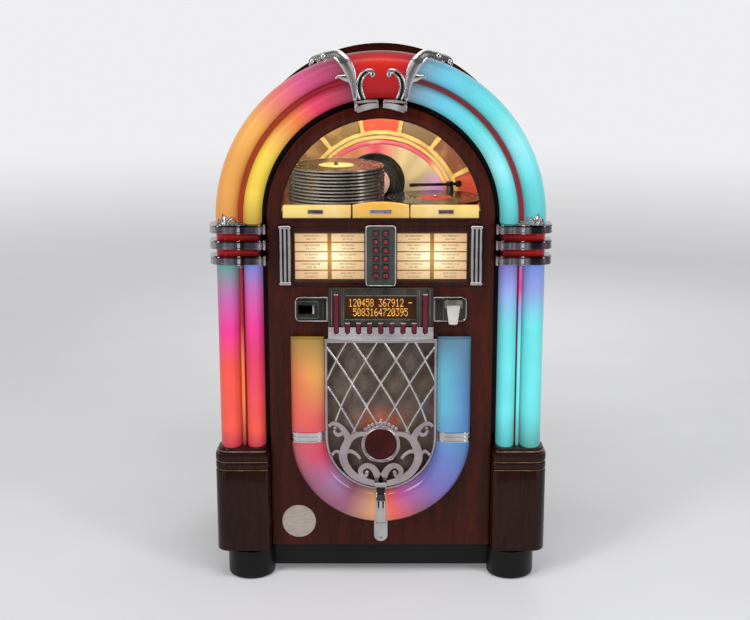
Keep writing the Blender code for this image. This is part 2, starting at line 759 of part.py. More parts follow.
def display():
    bm = bmesh.new()
    back = PANEL_FRONT - GAP
    outline = rectangle(-DISPLAY_HALF, DISPLAY_HALF, DISPLAY_LOW, DISPLAY_HIGH)
    hole = rectangle(-SCREEN_HALF, SCREEN_HALF, SCREEN_LOW, SCREEN_HIGH)
    places = bar_places()
    inner, outer = places[-1] - BAR_WIDTH / 2 - GAP, places[-1] + BAR_WIDTH / 2 + GAP
    low, high, top = BAR_LOW - GAP, BAR_HIGH + GAP, LONG_BAR_HIGH + GAP
    pocket = [(-outer, low), (outer, low), (outer, top), (inner, top), (inner, high)]
    pocket += [(-inner, high), (-inner, top), (-outer, top)]
    prism(bm, outline, DISPLAY_FRONT, back, holes=[hole], pockets=[(pocket, BAR_POCKET)])
    housing = make("display_housing", bm, GREY)
    bm = bmesh.new()
    prism(bm, comb_outline(places), DISPLAY_FRONT - COMB_PROUD, DISPLAY_FRONT + OVERRUN / 2)
    combine(housing, make("comb", bm, CHROME, helper=True), "UNION")
    bm = bmesh.new()
    low = (-DISPLAY_RAIL_HALF, DISPLAY_FRONT + OVERRUN / 2, DISPLAY_LOW - DISPLAY_RAIL_DROP)
    box(bm, low, (DISPLAY_RAIL_HALF, DISPLAY_FRONT + DISPLAY_RAIL_THICK, DISPLAY_LOW + OVERRUN))
    combine(housing, make("display_rail", bm, CHROME, helper=True), "UNION")

    bm = bmesh.new()
    box(
        bm,
        (-SCREEN_HALF + GAP, DISPLAY_FRONT + SCREEN_SUNK, SCREEN_LOW + GAP),
        (SCREEN_HALF - GAP, back, SCREEN_HIGH - GAP),
    )
    make("display_screen", bm, SCREEN)

    bm = bmesh.new()
    half = BAR_WIDTH / 2
    rear = DISPLAY_FRONT + BAR_POCKET - GAP
    plate, face = rear - BAR_PLATE, DISPLAY_FRONT - BAR_PROUD
    section = [(places[-1] + half, rear), (places[0] - half, rear)]
    for x in places:
        section += [(x - half, face), (x + half, face)]
        if x != places[-1]:
            section += [(x + half, plate), (x + BAR_PITCH - half, plate)]
    prism(bm, section, BAR_LOW, BAR_HIGH, "Z")
    bars = make("display_bars", bm, RED_LENS)
    bm = bmesh.new()
    for x in (places[0], places[-1]):
        low = (x - half, face, BAR_HIGH - OVERRUN)
        box(bm, low, (x + half, rear, LONG_BAR_HIGH))
    combine(bars, make("long_bars", bm, RED_LENS, helper=True), "UNION")


# Coin plates: an entry slot on the left, and a return with a hinged flap on the right.
PLATE_OUTER = 241 * MM
PLATE_INNER = DISPLAY_HALF + GAP
PLATE_LOW, PLATE_HIGH = 764.5 * MM, 835.5 * MM
PLATE_THICK = 8 * MM
PLATE_CORNER = 14 * MM
EAR_INNER_X, EAR_OUTER_X = 183 * MM, 223 * MM
EAR_WIDTH = 6 * MM
EAR_LOW, EAR_HIGH = 806 * MM, 819 * MM
EAR_DEPTH = 15 * MM
HOOD_THICK = 3 * MM
FLAP_PIN_Z = 812 * MM
FLAP_PIN_Y = PANEL_FRONT - PLATE_THICK - 9 * MM
FLAP_PIN_RADIUS = 2.4 * MM
FLAP_THICK = 3 * MM
FLAP_LOW = 758 * MM
FLAP_TAPER = 7 * MM
CHUTE_LEFT, CHUTE_RIGHT = -248 * MM, -172 * MM
CHUTE_LOW, CHUTE_HIGH = 640 * MM, 826 * MM
CHUTE_DEPTH = 60 * MM
CHUTE_THROAT = 42 * MM


def plate_outline(side):
    left, right = -PLATE_OUTER, -PLATE_INNER
    points = [(right, PLATE_LOW), (right, PLATE_HIGH)]
    points += arc((left + PLATE_CORNER, PLATE_HIGH - PLATE_CORNER), PLATE_CORNER, 90, 180, 3)
    points += arc((left + PLATE_CORNER, PLATE_LOW + PLATE_CORNER), PLATE_CORNER, 180, 270, 3)
    return [(-side * x, z) for x, z in points]


def coin_plates():
    bm = bmesh.new()
    back = PANEL_FRONT - GAP
    front = back - PLATE_THICK
    slot = rectangle(SLOT_LEFT, SLOT_RIGHT, SLOT_LOW, SLOT_HIGH)
    prism(bm, plate_outline(-1), front, back, holes=[slot])
    make("coin_entry_plate", bm, CHROME)
    bm = bmesh.new()
    prism(bm, plate_outline(1), front, back)
    plate = make("coin_return_plate", bm, CHROME)
    bm = bmesh.new()
    root = front + OVERRUN
    for x in (EAR_INNER_X - EAR_WIDTH, EAR_OUTER_X):
        box(bm, (x, root - EAR_DEPTH, EAR_LOW), (x + EAR_WIDTH, root, EAR_HIGH))
    ears = make("flap_ears", bm, CHROME, helper=True)
    combine(plate, ears, "UNION")
    bm = bmesh.new()
    hood = rectangle(EAR_INNER_X - EAR_WIDTH - OVERRUN, EAR_OUTER_X + EAR_WIDTH + OVERRUN,
                     EAR_HIGH - OVERRUN / 2, EAR_HIGH + HOOD_THICK)
    prism(bm, hood, root - EAR_DEPTH - OVERRUN, root + OVERRUN / 2)
    combine(plate, make("flap_hood", bm, CHROME, helper=True), "UNION")
    bm = bmesh.new()
    left, right = EAR_INNER_X + GAP, EAR_OUTER_X - GAP
    top = FLAP_PIN_Z
    outline = [(left, top), (left + FLAP_TAPER, FLAP_LOW + FLAP_TAPER)]
    outline += [(left + 2 * FLAP_TAPER, FLAP_LOW), (right - FLAP_TAPER, FLAP_LOW)]
    outline += [(right, FLAP_LOW + FLAP_TAPER), (right, top)]
    flap_front = FLAP_PIN_Y - FLAP_THICK / 2
    prism(bm, outline, flap_front, flap_front + FLAP_THICK)
    flap = make("coin_return_flap", bm, IVORY)
    bm = bmesh.new()
    pin = [(0, left), (FLAP_PIN_RADIUS, left), (FLAP_PIN_RADIUS, right), (0, right)]
    lathe(bm, pin, 10, (0, FLAP_PIN_Y, FLAP_PIN_Z), "X")
    combine(flap, make("flap_barrel", bm, IVORY, helper=True), "UNION")
    bm = bmesh.new()
    throat = rectangle(SLOT_LEFT, SLOT_RIGHT, SLOT_LOW, SLOT_HIGH)
    outline = rectangle(CHUTE_LEFT, CHUTE_RIGHT, CHUTE_LOW, CHUTE_HIGH)
    near = FRAME_BACK + GAP
    prism(bm, outline, near, near + CHUTE_DEPTH, pockets=[(throat, CHUTE_THROAT)])
    make("coin_mechanism", bm, GREY)


# U-shaped lit lens round the grille, held at the bottom by a chrome clip.
U_LENS_WIDE = 94.2 * MM
U_LENS_SPAN = (GRILLE_HALF + GAP, GRILLE_HALF + GAP + U_LENS_WIDE)
U_LENS_DEPTH = 40 * MM
U_LENS_LIP = 4 * MM  # past the grille's top
U_LENS_TOP = GRILLE_TOP + U_LENS_LIP
U_LENS_STEPS = 24
BAND_PROUD = 2.5 * MM
BAND_DROP, BAND_RISE = 7 * MM, 22 * MM  # from the bend's centre
CLIP_CLEAR = 2.2 * MM
CLIP_THICK = 4 * MM
CLIP_HALF = 14.5 * MM
CLIP_SWEEP_SHARE = 0.76
TAB_HALF = 20.5 * MM
TAB_LOW = 103 * MM
TAB_THICK = 6 * MM
TAB_STEPS = 8


def grille_light():
    bm = bmesh.new()
    back = PANEL_FRONT - GAP
    stations = [(0, U_LENS_TOP, -1, 0)]
    for i in range(U_LENS_STEPS + 1):
        angle = math.radians(180 + 180 * i / U_LENS_STEPS)
        stations.append((0, GRILLE_CENTRE, math.cos(angle), math.sin(angle)))
    stations.append((0, U_LENS_TOP, 1, 0))
    sweep(bm, shell_of(U_LENS_SPAN, U_LENS_DEPTH, back, LENS_WALL), stations)
    lens = make("grille_lens", bm, WARM_LENS)
    half_wall = LENS_WALL / 2
    span = (U_LENS_SPAN[0] + half_wall, U_LENS_SPAN[1] - half_wall)
    lid = half_oval(span, U_LENS_DEPTH - half_wall, back - half_wall)
    wide = (U_LENS_SPAN[0], U_LENS_SPAN[1] + BAND_PROUD)
    band = shell_of(wide, U_LENS_DEPTH + BAND_PROUD, back, LENS_WALL + BAND_PROUD)
    for side, word in ((-1, "left"), (1, "right")):
        bm = bmesh.new()
        prism(bm, [(side * x, y) for x, y in lid], U_LENS_TOP - LENS_WALL, U_LENS_TOP - GAP, "Z")
        combine(lens, make(f"lens_lid_{word}", bm, WARM_LENS, helper=True), "UNION")
        bm = bmesh.new()
        ends = (GRILLE_CENTRE - BAND_DROP, GRILLE_CENTRE + BAND_RISE)
        sweep(bm, band, [(0, z, side, 0) for z in ends])
        combine(lens, make(f"side_band_{word}", bm, CHROME, helper=True), "UNION")

    bm = bmesh.new()
    reach = CLIP_CLEAR + CLIP_THICK
    span = (U_LENS_SPAN[0] - reach, U_LENS_SPAN[1] + reach)
    section = shell_of(span, U_LENS_DEPTH + reach, back, CLIP_THICK, CLIP_SWEEP_SHARE)
    prism(bm, [(y, GRILLE_CENTRE - r) for r, y in section], -CLIP_HALF, CLIP_HALF, "X")
    clip = make("grille_clip", bm, CHROME)
    bm = bmesh.new()
    top = GRILLE_CENTRE - span[1] + CLIP_THICK / 2
    end = (0, TAB_LOW + TAB_HALF)
    tab = [(-TAB_HALF, top)] + arc(end, TAB_HALF, 180, 360, TAB_STEPS) + [(TAB_HALF, top)]
    prism(bm, tab, back - TAB_THICK, back)
    combine(clip, make("clip_tab", bm, CHROME, helper=True), "UNION")


# The grille casting: a U rim, a diamond lattice, and scrollwork round a medallion ring.
RIM_OUTER = GRILLE_HALF - GAP
RIM_WIDTH = 8 * MM
CASTING_FRONT = -313 * MM
CASTING_THICK = 7 * MM
RIM_DEPTH = 23 * MM
RAIL = 12 * MM
LATTICE_HALF_BAR = 2.4 * MM
LATTICE_PITCH_X = 88 * MM
LATTICE_PITCH_Z = 129 * MM
LATTICE_TOP = GRILLE_TOP - RAIL
LATTICE_RISE = 20 * MM
LATTICE_LOW = GRILLE_CENTRE + LATTICE_RISE
SCROLL_LIFT = 5 * MM
RING_INNER = 46.5 * MM
RING_OUTER = 57 * MM
RING_DROP = 21 * MM
RING_CENTRE = GRILLE_CENTRE - RING_DROP
RING_SEGMENTS = 24
DISC_THICK = 4 * MM
# The scrollwork's unit, as a share of the half width inside the rim. Its strokes on the
# left half are (across, up, width) from the ring's centre, as shares of that unit.
SCROLL_UNIT_SHARE = 0.3757
SCROLL_SHARES = (
    ((-0.02, -2.05, 0.34), (-0.2, -1.55, 0.3), (-0.42, -1.22, 0.27), (-0.74, -1.14, 0.24),
     (-0.99, -1.33, 0.21), (-0.97, -1.58, 0.18), (-0.76, -1.66, 0.13)),
    ((-0.1, -2.12, 0.24), (-0.88, -1.9, 0.28), (-1.42, -1.58, 0.31), (-1.78, -1.08, 0.33),
     (-1.9, -0.6, 0.35), (-1.79, -0.12, 0.35), (-1.64, 0.24, 0.31), (-1.79, 0.66, 0.24),
     (-2.08, 1.0, 0.18), (-2.4, 1.12, 0.14), (-2.66, 0.9, 0.12)),
    ((-1.72, 0.02, 0.27), (-1.42, 0.38, 0.24), (-1.06, 0.54, 0.2), (-0.7, 0.52, 0.18)),
    ((-1.86, -0.42, 0.16), (-1.52, -0.36, 0.14), (-1.24, -0.5, 0.12), (-1.03, -0.76, 0.1)),
    ((-1.98, -0.54, 0.14), (-2.2, -0.36, 0.12), (-2.36, -0.44, 0.11), (-2.48, -0.6, 0.1)),
)
GRILLE_SCROLL_STEPS = 3


def clip_polygon(points, keep):
    """Cuts a convex polygon by a line: keep gives a point's distance to the kept side."""
    out = []
    for i, point in enumerate(points):
        previous = points[i - 1]
        now, before = keep(point), keep(previous)
        if (now >= 0) != (before >= 0):
            t = before / (before - now)
            out.append(tuple(previous[k] + t * (point[k] - previous[k]) for k in (0, 1)))
        if now >= 0:
            out.append(point)
    return out


def lattice_holes(half, low, top):
    """Diamonds between the bars, cut to the space inside the rim."""
    slope = Vector((LATTICE_PITCH_Z, LATTICE_PITCH_X)).length
    inset_x = LATTICE_HALF_BAR * slope / LATTICE_PITCH_Z
    inset_z = LATTICE_HALF_BAR * slope / LATTICE_PITCH_X
    half_x, half_z = LATTICE_PITCH_X / 2 - inset_x, LATTICE_PITCH_Z / 2 - inset_z
    holes = []
    columns = math.ceil(half / LATTICE_PITCH_X) + 1
    rows = math.ceil((top - low) / LATTICE_PITCH_Z) + 1
    for row in range(-1, 2 * rows):
        for column in range(-columns, columns + 1):
            x = (column + 0.5 * (row % 2)) * LATTICE_PITCH_X
            z = LATTICE_TOP - row * LATTICE_PITCH_Z / 2
            hole = [(x - half_x, z), (x, z - half_z), (x + half_x, z), (x, z + half_z)]
            for keep in (
                lambda p: half - p[0],
                lambda p: p[0] + half,
                lambda p: top - p[1],
                lambda p: p[1] - low,
            ):
                hole = clip_polygon(hole, keep)
                if not hole:
                    break
            if len(hole) > 2 and polygon_area(hole) > LATTICE_HALF_BAR * LATTICE_PITCH_X / 2:
                holes.append(hole)
    return holes


def polygon_area(points):
    total = 0
    for i, (a, b) in enumerate(points):
        c, d = points[i - 1]
        total += c * b - a * d
    return abs(total) / 2


def grille_casting():
    bm = bmesh.new()
    front, back = CASTING_FRONT, CASTING_FRONT + CASTING_THICK
    inner = RIM_OUTER - RIM_WIDTH
    rail_top = GRILLE_TOP - GAP
    holes = lattice_holes(inner, LATTICE_LOW, rail_top - RAIL)
    lower = arc((0, GRILLE_CENTRE), inner, 180, 360, U_STEPS)
    lower += [(inner, LATTICE_LOW - 2 * LATTICE_HALF_BAR), (-inner, LATTICE_LOW - 2 * LATTICE_HALF_BAR)]
    prism(bm, u_outline(RIM_OUTER, rail_top), front, back, holes=holes + [lower])
    grille = make("grille", bm, CHROME)
    bm = bmesh.new()
    lip = u_outline(inner, rail_top - RIM_WIDTH)
    prism(bm, u_outline(RIM_OUTER, rail_top), front + CASTING_THICK / 2, front + RIM_DEPTH, holes=[lip])
    combine(grille, make("grille_rim", bm, CHROME, helper=True), "UNION")
    bm = bmesh.new()
    ring = [
        (0, -DISC_THICK / 2),
        (RING_INNER, -DISC_THICK / 2),
        (RING_INNER, -SCROLL_LIFT - OVERRUN),
        (RING_OUTER, -SCROLL_LIFT),
        (RING_OUTER, CASTING_THICK + OVERRUN),
        (RING_INNER, CASTING_THICK + OVERRUN),
        (RING_INNER, DISC_THICK / 2),
        (0, DISC_THICK / 2),
    ]
    lathe(bm, ring, RING_SEGMENTS, (0, front, RING_CENTRE), "Y")
    combine(grille, make("medallion_ring", bm, CHROME, helper=True), "UNION")
    unit = inner * SCROLL_UNIT_SHARE
    for number, stroke in enumerate(SCROLL_SHARES):
        sized = [(a * unit, RING_CENTRE + b * unit, w * unit) for a, b, w in stroke]
        outline = ribbon_outline(smooth_stroke(sized, GRILLE_SCROLL_STEPS))
        lift = SCROLL_LIFT - number * GAP
        for side, points in (("left", outline), ("right", mirrored(outline))):
            bm = bmesh.new()
            prism(bm, points, front - lift, back + lift / 2)
            helper = make(f"scroll_{number}_{side}", bm, CHROME, helper=True)
            combine(grille, helper, "UNION")


# Behind the grille: a baffle board in the same opening carries the loudspeaker.
BAFFLE_THICK = 12 * MM
SPEAKER_Z = 545 * MM
SPEAKER_HOLE = 112 * MM
SPEAKER_RIM = 130 * MM
BASKET_DEPTH = 62 * MM
MAGNET_RADIUS = 62 * MM
MAGNET_DEPTH = 34 * MM
CONE_NECK = 30 * MM
RIM_THICK = 5 * MM
SPEAKER_SEGMENTS = 24


def loudspeaker():
    bm = bmesh.new()
    hole = arc((0, SPEAKER_Z), SPEAKER_HOLE, 0, 360 - 360 / SPEAKER_SEGMENTS, SPEAKER_SEGMENTS - 1)
    front = CASTING_FRONT + RIM_DEPTH + GAP
    back = front + BAFFLE_THICK
    prism(bm, u_outline(GRILLE_HALF - GAP, GRILLE_TOP - GAP), front, back, holes=[hole])
    make("speaker_baffle", bm, BOARD_FINISH)
    bm = bmesh.new()
    start = back + GAP
    depth = RIM_THICK + BASKET_DEPTH
    profile = [
        (0, depth - RIM_THICK),
        (CONE_NECK, depth - RIM_THICK),
        (SPEAKER_HOLE, 0),
        (SPEAKER_RIM, 0),
        (SPEAKER_RIM, RIM_THICK),
        (MAGNET_RADIUS, depth),
        (MAGNET_RADIUS, depth + MAGNET_DEPTH),
        (0, depth + MAGNET_DEPTH),
    ]
    lathe(bm, profile, SPEAKER_SEGMENTS, (0, start, SPEAKER_Z), "Y")
    make("loudspeaker", bm, BLACK)


# Chrome scrolls that hold the crown lens. Each stroke is (across, up, width), as
# shares of the lit band's width, from the middle of the arch's inner edge.
SCROLL_SPAN = CROWN_LOBE[1] - CROWN_LOBE[0]
CROWN_SCROLL_SHARES = (
    ((-0.516, -0.258, 0.07), (-0.527, -0.109, 0.082), (-0.544, 0.039, 0.082),
     (-0.569, 0.273, 0.094), (-0.605, 0.453, 0.156), (-0.656, 0.617, 0.207),
     (-0.758, 0.805, 0.211), (-0.922, 0.961, 0.18), (-1.074, 0.953, 0.16),
     (-1.219, 0.906, 0.148), (-1.367, 0.867, 0.133), (-1.469, 0.805, 0.102),
     (-1.484, 0.727, 0.047)),
    ((0.008, -0.141, 0.039), (-0.055, -0.133, 0.102), (-0.195, -0.137, 0.105),
     (-0.352, -0.168, 0.109), (-0.5, -0.223, 0.102)),
    ((-0.062, -0.031, 0.07), (-0.203, -0.031, 0.074), (-0.359, -0.039, 0.078),
     (-0.508, -0.07, 0.062)),
    ((-0.383, -0.023, 0.125), (-0.441, 0.125, 0.117), (-0.469, 0.273, 0.105),
     (-0.449, 0.398, 0.094), (-0.379, 0.523, 0.086), (-0.297, 0.594, 0.078),
     (-0.211, 0.613, 0.07), (-0.145, 0.582, 0.059), (-0.121, 0.523, 0.051),
     (-0.16, 0.48, 0.043)),
    ((-0.719, 0.484, 0.109), (-0.812, 0.5, 0.102), (-0.883, 0.496, 0.062),
     (-0.949, 0.453, 0.023)),
)
SCROLL_SPAN_STEPS = 2
SCROLL_THICK = 8 * MM
SCROLL_SEAT = 322 * MM  # up to this radius the scroll lies on the panel's arch
SCROLL_RISE = 26 * MM
SCROLL_CLEAR = 1.3 * MM
SCROLL_STEP = 0.6 * MM
SCROLL_FALL_SHARE = 0.6  # of the climb that it loses again past the crown
SCROLL_SHOULDER_SHARE = 0.6  # of its thickness at the edges


def scroll_back(x, z):
    """The y of a scroll's back face, which climbs from the panel over the crown lens."""
    radius = Vector((x, z - ARCH_CENTRE)).length
    seat = PANEL_FRONT - GAP
    over = FRAME_FRONT - GAP - CROWN_DEPTH - SCROLL_CLEAR
    share = min(max((radius - SCROLL_SEAT) / SCROLL_RISE, 0), 1)
    fall = min(max((radius - CROWN_LOBE[1] + SCROLL_RISE / 2) / SCROLL_RISE, 0), 1)
    share = share * share * (3 - 2 * share)
    fall = fall * fall * (3 - 2 * fall)
    return seat + (over - seat) * (share - fall * SCROLL_FALL_SHARE)


def scroll_solid(stroke, side, lift):
    """A stroke with its back on the lens's curve and a ridge along its middle."""
    bm = bmesh.new()
    top = ARCH_CENTRE + CROWN_LOBE[0]
    rings = []
    sized = [(a * SCROLL_SPAN, top + b * SCROLL_SPAN, w * SCROLL_SPAN) for a, b, w in stroke]
    line = smooth_stroke(sized, SCROLL_SPAN_STEPS)
    outline = ribbon_outline(line)
    for i, (x, z, _) in enumerate(line):
        left, right = outline[i], outline[-1 - i]
        ring = []
        edge = SCROLL_SHOULDER_SHARE
        for (a, b), height in ((left, 0), (left, edge), ((x, z), 1), (right, edge), (right, 0)):
            back = scroll_back(a, b) + lift / 2
            ring.append(bm.verts.new((side * a, back - height * SCROLL_THICK - lift, b)))
        rings.append(ring)
    for first, second in zip(rings, rings[1:]):
        wall(bm, first, second)
    bm.faces.new(rings[0])
    bm.faces.new(rings[-1])
    return bm


def crown_scrolls():
    strap = bmesh.new()
    for side in (-1, 1):
        part = scroll_solid(CROWN_SCROLL_SHARES[0], side, 0)
        mesh = bpy.data.meshes.new("strap")
        part.to_mesh(mesh)
        part.free()
        strap.from_mesh(mesh)
        bpy.data.meshes.remove(mesh)
    scrolls = make("crown_scrolls", strap, CHROME)
    for number, stroke in enumerate(CROWN_SCROLL_SHARES[1:], 1):
        for side in (-1, 1):
            bm = scroll_solid(stroke, side, number * SCROLL_STEP)
            helper = make(f"crown_stroke_{number}_{side + 1}", bm, CHROME, helper=True)
            combine(scrolls, helper, "UNION")


# One long hinge on the left edge. The cabinet's leaf carries the pin.
HINGE_STANDOFF = 6.5 * MM  # from the cabinet's side to the hinge's axis
HINGE_X = -CABINET_HALF - HINGE_STANDOFF
HINGE_Y = (CABINET_FRONT + FRAME_BACK) / 2
HINGE_LOW, HINGE_HIGH = 150 * MM, 960 * MM
KNUCKLES = 9
BARREL_RADIUS = 5.5 * MM
HINGE_PIN = 2.5 * MM
PIN_CLEAR = 0.3 * MM
KNUCKLE_CLEAR = 0.6 * MM
LEAF_THICK = 2.6 * MM
LEAF_WIDTH = 34 * MM
HINGE_SEGMENTS = 12


def knuckle_spans(first):
    """Low and high ends of every second knuckle, counted from first."""
    pitch = (HINGE_HIGH - HINGE_LOW) / KNUCKLES
    return [
        (HINGE_LOW + i * pitch, HINGE_LOW + (i + 1) * pitch - KNUCKLE_CLEAR)
        for i in range(first, KNUCKLES, 2)
    ]


def leaf_outline(spans, away):
    """A leaf in (y, z): a long plate with a finger at each of its knuckles."""
    root = HINGE_Y + away * (BARREL_RADIUS + KNUCKLE_CLEAR)
    edge = HINGE_Y + away * LEAF_WIDTH
    points = [(edge, HINGE_LOW), (root, HINGE_LOW)]
    for low, high in spans:
        points += [(root, low), (HINGE_Y, low), (HINGE_Y, high), (root, high)]
    points += [(root, HINGE_HIGH), (edge, HINGE_HIGH)]
    return [p for i, p in enumerate(points) if p != points[i - 1]]


def hinges():
    left = -CABINET_HALF - GAP - LEAF_THICK
    right = -CABINET_HALF - GAP
    spans = knuckle_spans(0)
    bm = bmesh.new()
    prism(bm, leaf_outline(spans, 1), left, right, "X")
    cabinet_leaf = make("hinge_cabinet_leaf", bm, CHROME)
    profile = [(0, spans[0][0])]
    for low, high in spans:
        profile += [(HINGE_PIN, low), (BARREL_RADIUS, low), (BARREL_RADIUS, high), (HINGE_PIN, high)]
    profile = profile[:1] + profile[2:-1] + [(0, spans[-1][1])]
    bm = bmesh.new()
    lathe(bm, profile, HINGE_SEGMENTS, (HINGE_X, HINGE_Y, 0))
    combine(cabinet_leaf, make("hinge_pin", bm, CHROME, helper=True), "UNION")

    spans = knuckle_spans(1)
    bm = bmesh.new()
    prism(bm, leaf_outline(spans, -1), left, right, "X")
    door_leaf = make("hinge_door_leaf", bm, CHROME)
    bore = HINGE_PIN + PIN_CLEAR
    for low, high in spans:
        bm = bmesh.new()
        ring = [(bore, low), (BARREL_RADIUS, low), (BARREL_RADIUS, high), (bore, high)]
        lathe(bm, ring, HINGE_SEGMENTS, (HINGE_X, HINGE_Y, 0))
        combine(door_leaf, make("knuckle", bm, CHROME, helper=True), "UNION")


# Shelf for the mechanism, with the lit relief that stands behind the records.
SHELF_BOTTOM, SHELF_TOP = 987 * MM, 1005 * MM
SHELF_FRONT, SHELF_REAR = -190 * MM, 300 * MM
RELIEF_Y = 150 * MM
RELIEF_THICK = 8 * MM
RELIEF_RADIUS = 335 * MM
RELIEF_RIDGE = (224 * MM, 238 * MM)
RELIEF_FRIEZE = (262 * MM, 270 * MM)
RELIEF_SLOPE = 3 * MM
RELIEF_HEIGHT = 12 * MM
RIDGE_HEIGHT = 8.4 * MM
RELIEF_SECTORS = 7
SPOKE_HALF = 2.2  # degrees
SPOKE_SLOPE = 0.8  # degrees


def relief_height(radius, spoke):
    """How far the relief stands out: a round ridge, a frieze, and spokes outside them."""
    if RELIEF_RIDGE[0] <= radius <= RELIEF_RIDGE[1]:
        return RIDGE_HEIGHT
    if RELIEF_FRIEZE[0] <= radius <= RELIEF_FRIEZE[1]:
        return RELIEF_HEIGHT
    if radius > RELIEF_FRIEZE[0] and spoke:
        return RELIEF_HEIGHT
    return 0


def shelf_and_relief():
    bm = bmesh.new()
    half = INNER_HALF - GAP
    box(bm, (-half, SHELF_FRONT, SHELF_BOTTOM), (half, SHELF_REAR, SHELF_TOP))
    make("mechanism_shelf", bm, BOARD_FINISH)
    radii = [0]
    for low, high in (RELIEF_RIDGE, RELIEF_FRIEZE):
        radii += [low - RELIEF_SLOPE, low, high, high + RELIEF_SLOPE]
    radii.append(RELIEF_RADIUS)
    angles = [(0, False)]
    for i in range(1, RELIEF_SECTORS):
        middle = 180 * i / RELIEF_SECTORS
        for shift, spoke in (
            (-SPOKE_HALF - SPOKE_SLOPE, False),
            (-SPOKE_HALF, True),
            (SPOKE_HALF, True),
            (SPOKE_HALF + SPOKE_SLOPE, False),
        ):
            angles.append((middle + shift, spoke))
        angles.append((middle + 90 / RELIEF_SECTORS, False))
    angles.append((180, False))
    bm = bmesh.new()
    centre = SHELF_TOP + GAP
    rows = []
    for front in (True, False):
        hub = bm.verts.new((0, RELIEF_Y if front else RELIEF_Y + RELIEF_THICK, centre))
        rings = [[hub]]
        for radius in radii[1:] if front else radii[-1:]:
            ring = []
            for angle, spoke in angles:
                lift = relief_height(radius, spoke) if front else -RELIEF_THICK
                a = math.radians(angle)
                spot = (radius * math.cos(a), RELIEF_Y - lift, centre + radius * math.sin(a))
                ring.append(bm.verts.new(spot))
            rings.append(ring)
        rows.append(rings)
    for rings in rows:
        for i in range(1, len(angles)):
            bm.faces.new((rings[0][0], rings[1][i - 1], rings[1][i]))
        for first, second in zip(rings[1:], rings[2:]):
            for i in range(1, len(angles)):
                bm.faces.new((first[i - 1], first[i], second[i], second[i - 1]))
    rim_front, rim_back = rows[0][-1], rows[1][-1]
    for i in range(1, len(angles)):
        bm.faces.new((rim_front[i - 1], rim_front[i], rim_back[i], rim_back[i - 1]))
    foot = [ring[0] for ring in rows[0][1:]][::-1] + [rows[0][0][0]]
    foot += [ring[-1] for ring in rows[0][1:]]
    foot += [rim_back[-1], rows[1][0][0], rim_back[0]]
    bm.faces.new(foot)
    make("scenic_relief", bm, GOLD)


# Record magazine: eleven records between label-sized spacers on a turning column.
MAGAZINE_X, MAGAZINE_Y = -128 * MM, -64 * MM
RECORD_RADIUS = 139 * MM
RECORD_THICK = 3 * MM
RECORD_COUNT = 11
RECORD_PITCH = 9.7 * MM
STACK_LOW = 1074 * MM
SPACER_RADIUS = 48 * MM
SPINDLE_RADIUS = 8.7 * MM
SPINDLE_END = 9 * MM
FLANGE_RADIUS = 72 * MM
FLANGE_THICK = 6 * MM
DRIVE_RADIUS = 60 * MM
DRIVE_FOOT = 78 * MM
DRIVE_TOP = 1058 * MM
RECORD_SEGMENTS = 24


def record_magazine():
    bm = bmesh.new()
    base = SHELF_TOP + GAP
    profile = [(0, base), (DRIVE_FOOT, base), (DRIVE_FOOT, base + FLANGE_THICK)]
    profile += [(DRIVE_RADIUS, base + FLANGE_THICK), (DRIVE_RADIUS, DRIVE_TOP), (0, DRIVE_TOP)]
    lathe(bm, profile, RECORD_SEGMENTS, (MAGAZINE_X, MAGAZINE_Y, 0))
    make("magazine_drive", bm, GREY)

    bm = bmesh.new()
    low = DRIVE_TOP + GAP
    profile = [(0, low), (FLANGE_RADIUS, low), (FLANGE_RADIUS, low + FLANGE_THICK)]
    profile.append((SPACER_RADIUS, low + FLANGE_THICK))
    for i in range(RECORD_COUNT):
        seat = STACK_LOW + i * RECORD_PITCH
        over = seat + RECORD_THICK
        profile += [(SPACER_RADIUS, seat), (RECORD_RADIUS, seat)]
        profile += [(RECORD_RADIUS, over), (SPACER_RADIUS, over)]
    profile[-1] = (SPINDLE_RADIUS, over)
    profile += [(SPINDLE_RADIUS, over + SPINDLE_END), (0, over + SPINDLE_END)]
    lathe(bm, profile, RECORD_SEGMENTS, (0, 0, 0))
    magazine = make("record_magazine", bm, VINYL)
    magazine.location = (MAGAZINE_X, MAGAZINE_Y, 0)


# Upright player: a record clamped on a level spindle in front of its motor stand.
PLAYER_X, PLAYER_Y, PLAYER_Z = -17 * MM, 79 * MM, 1101 * MM
SINGLE_RADIUS = 88 * MM
SINGLE_THICK = 1.8 * MM
SINGLE_BORE = 19 * MM
CLAMP_RADIUS = 40 * MM
CLAMP_THICK = 5 * MM
CLAMP_NOSE = 6 * MM
SHAFT_RADIUS = 6 * MM
SHAFT_LENGTH = 12 * MM
MOTOR_RADIUS = 34 * MM
MOTOR_DEPTH = 30 * MM
STAND_HALF = 26 * MM
STAND_FOOT = 40 * MM
STAND_STEPS = 8
CLAMP_SEGMENTS = 20

# Deck: a platter on a low plinth, with a pivoted tone arm on a post behind it.
DECK_X, DECK_Y = 158 * MM, -38 * MM
DECK_HALF_X, DECK_FRONT = 91 * MM, 112 * MM
DECK_TOP = 1062 * MM
DECK_CORNER = 26 * MM
PLATTER_RADIUS = 130 * MM
PLATTER_THICK = 11 * MM
PLATTER_LIP = 4 * MM
DECK_RECORD = 138 * MM
DECK_SPINDLE = 3.6 * MM
DECK_SPINDLE_HIGH = 9 * MM
POST_X, POST_Y = 205 * MM, 106 * MM
POST_RADIUS = 11 * MM
POST_SEGMENTS = 16
POST_MARGIN = 6 * MM
POST_TOP = 1086 * MM
ARM_BEARING = 10 * MM
ARM_BEARING_HIGH = 14 * MM
ARM_RADIUS = 3.5 * MM
ARM_REACH = 110 * MM
ARM_HEADING = 190  # degrees from +X, towards the head at rest
ARM_TAIL = 26 * MM
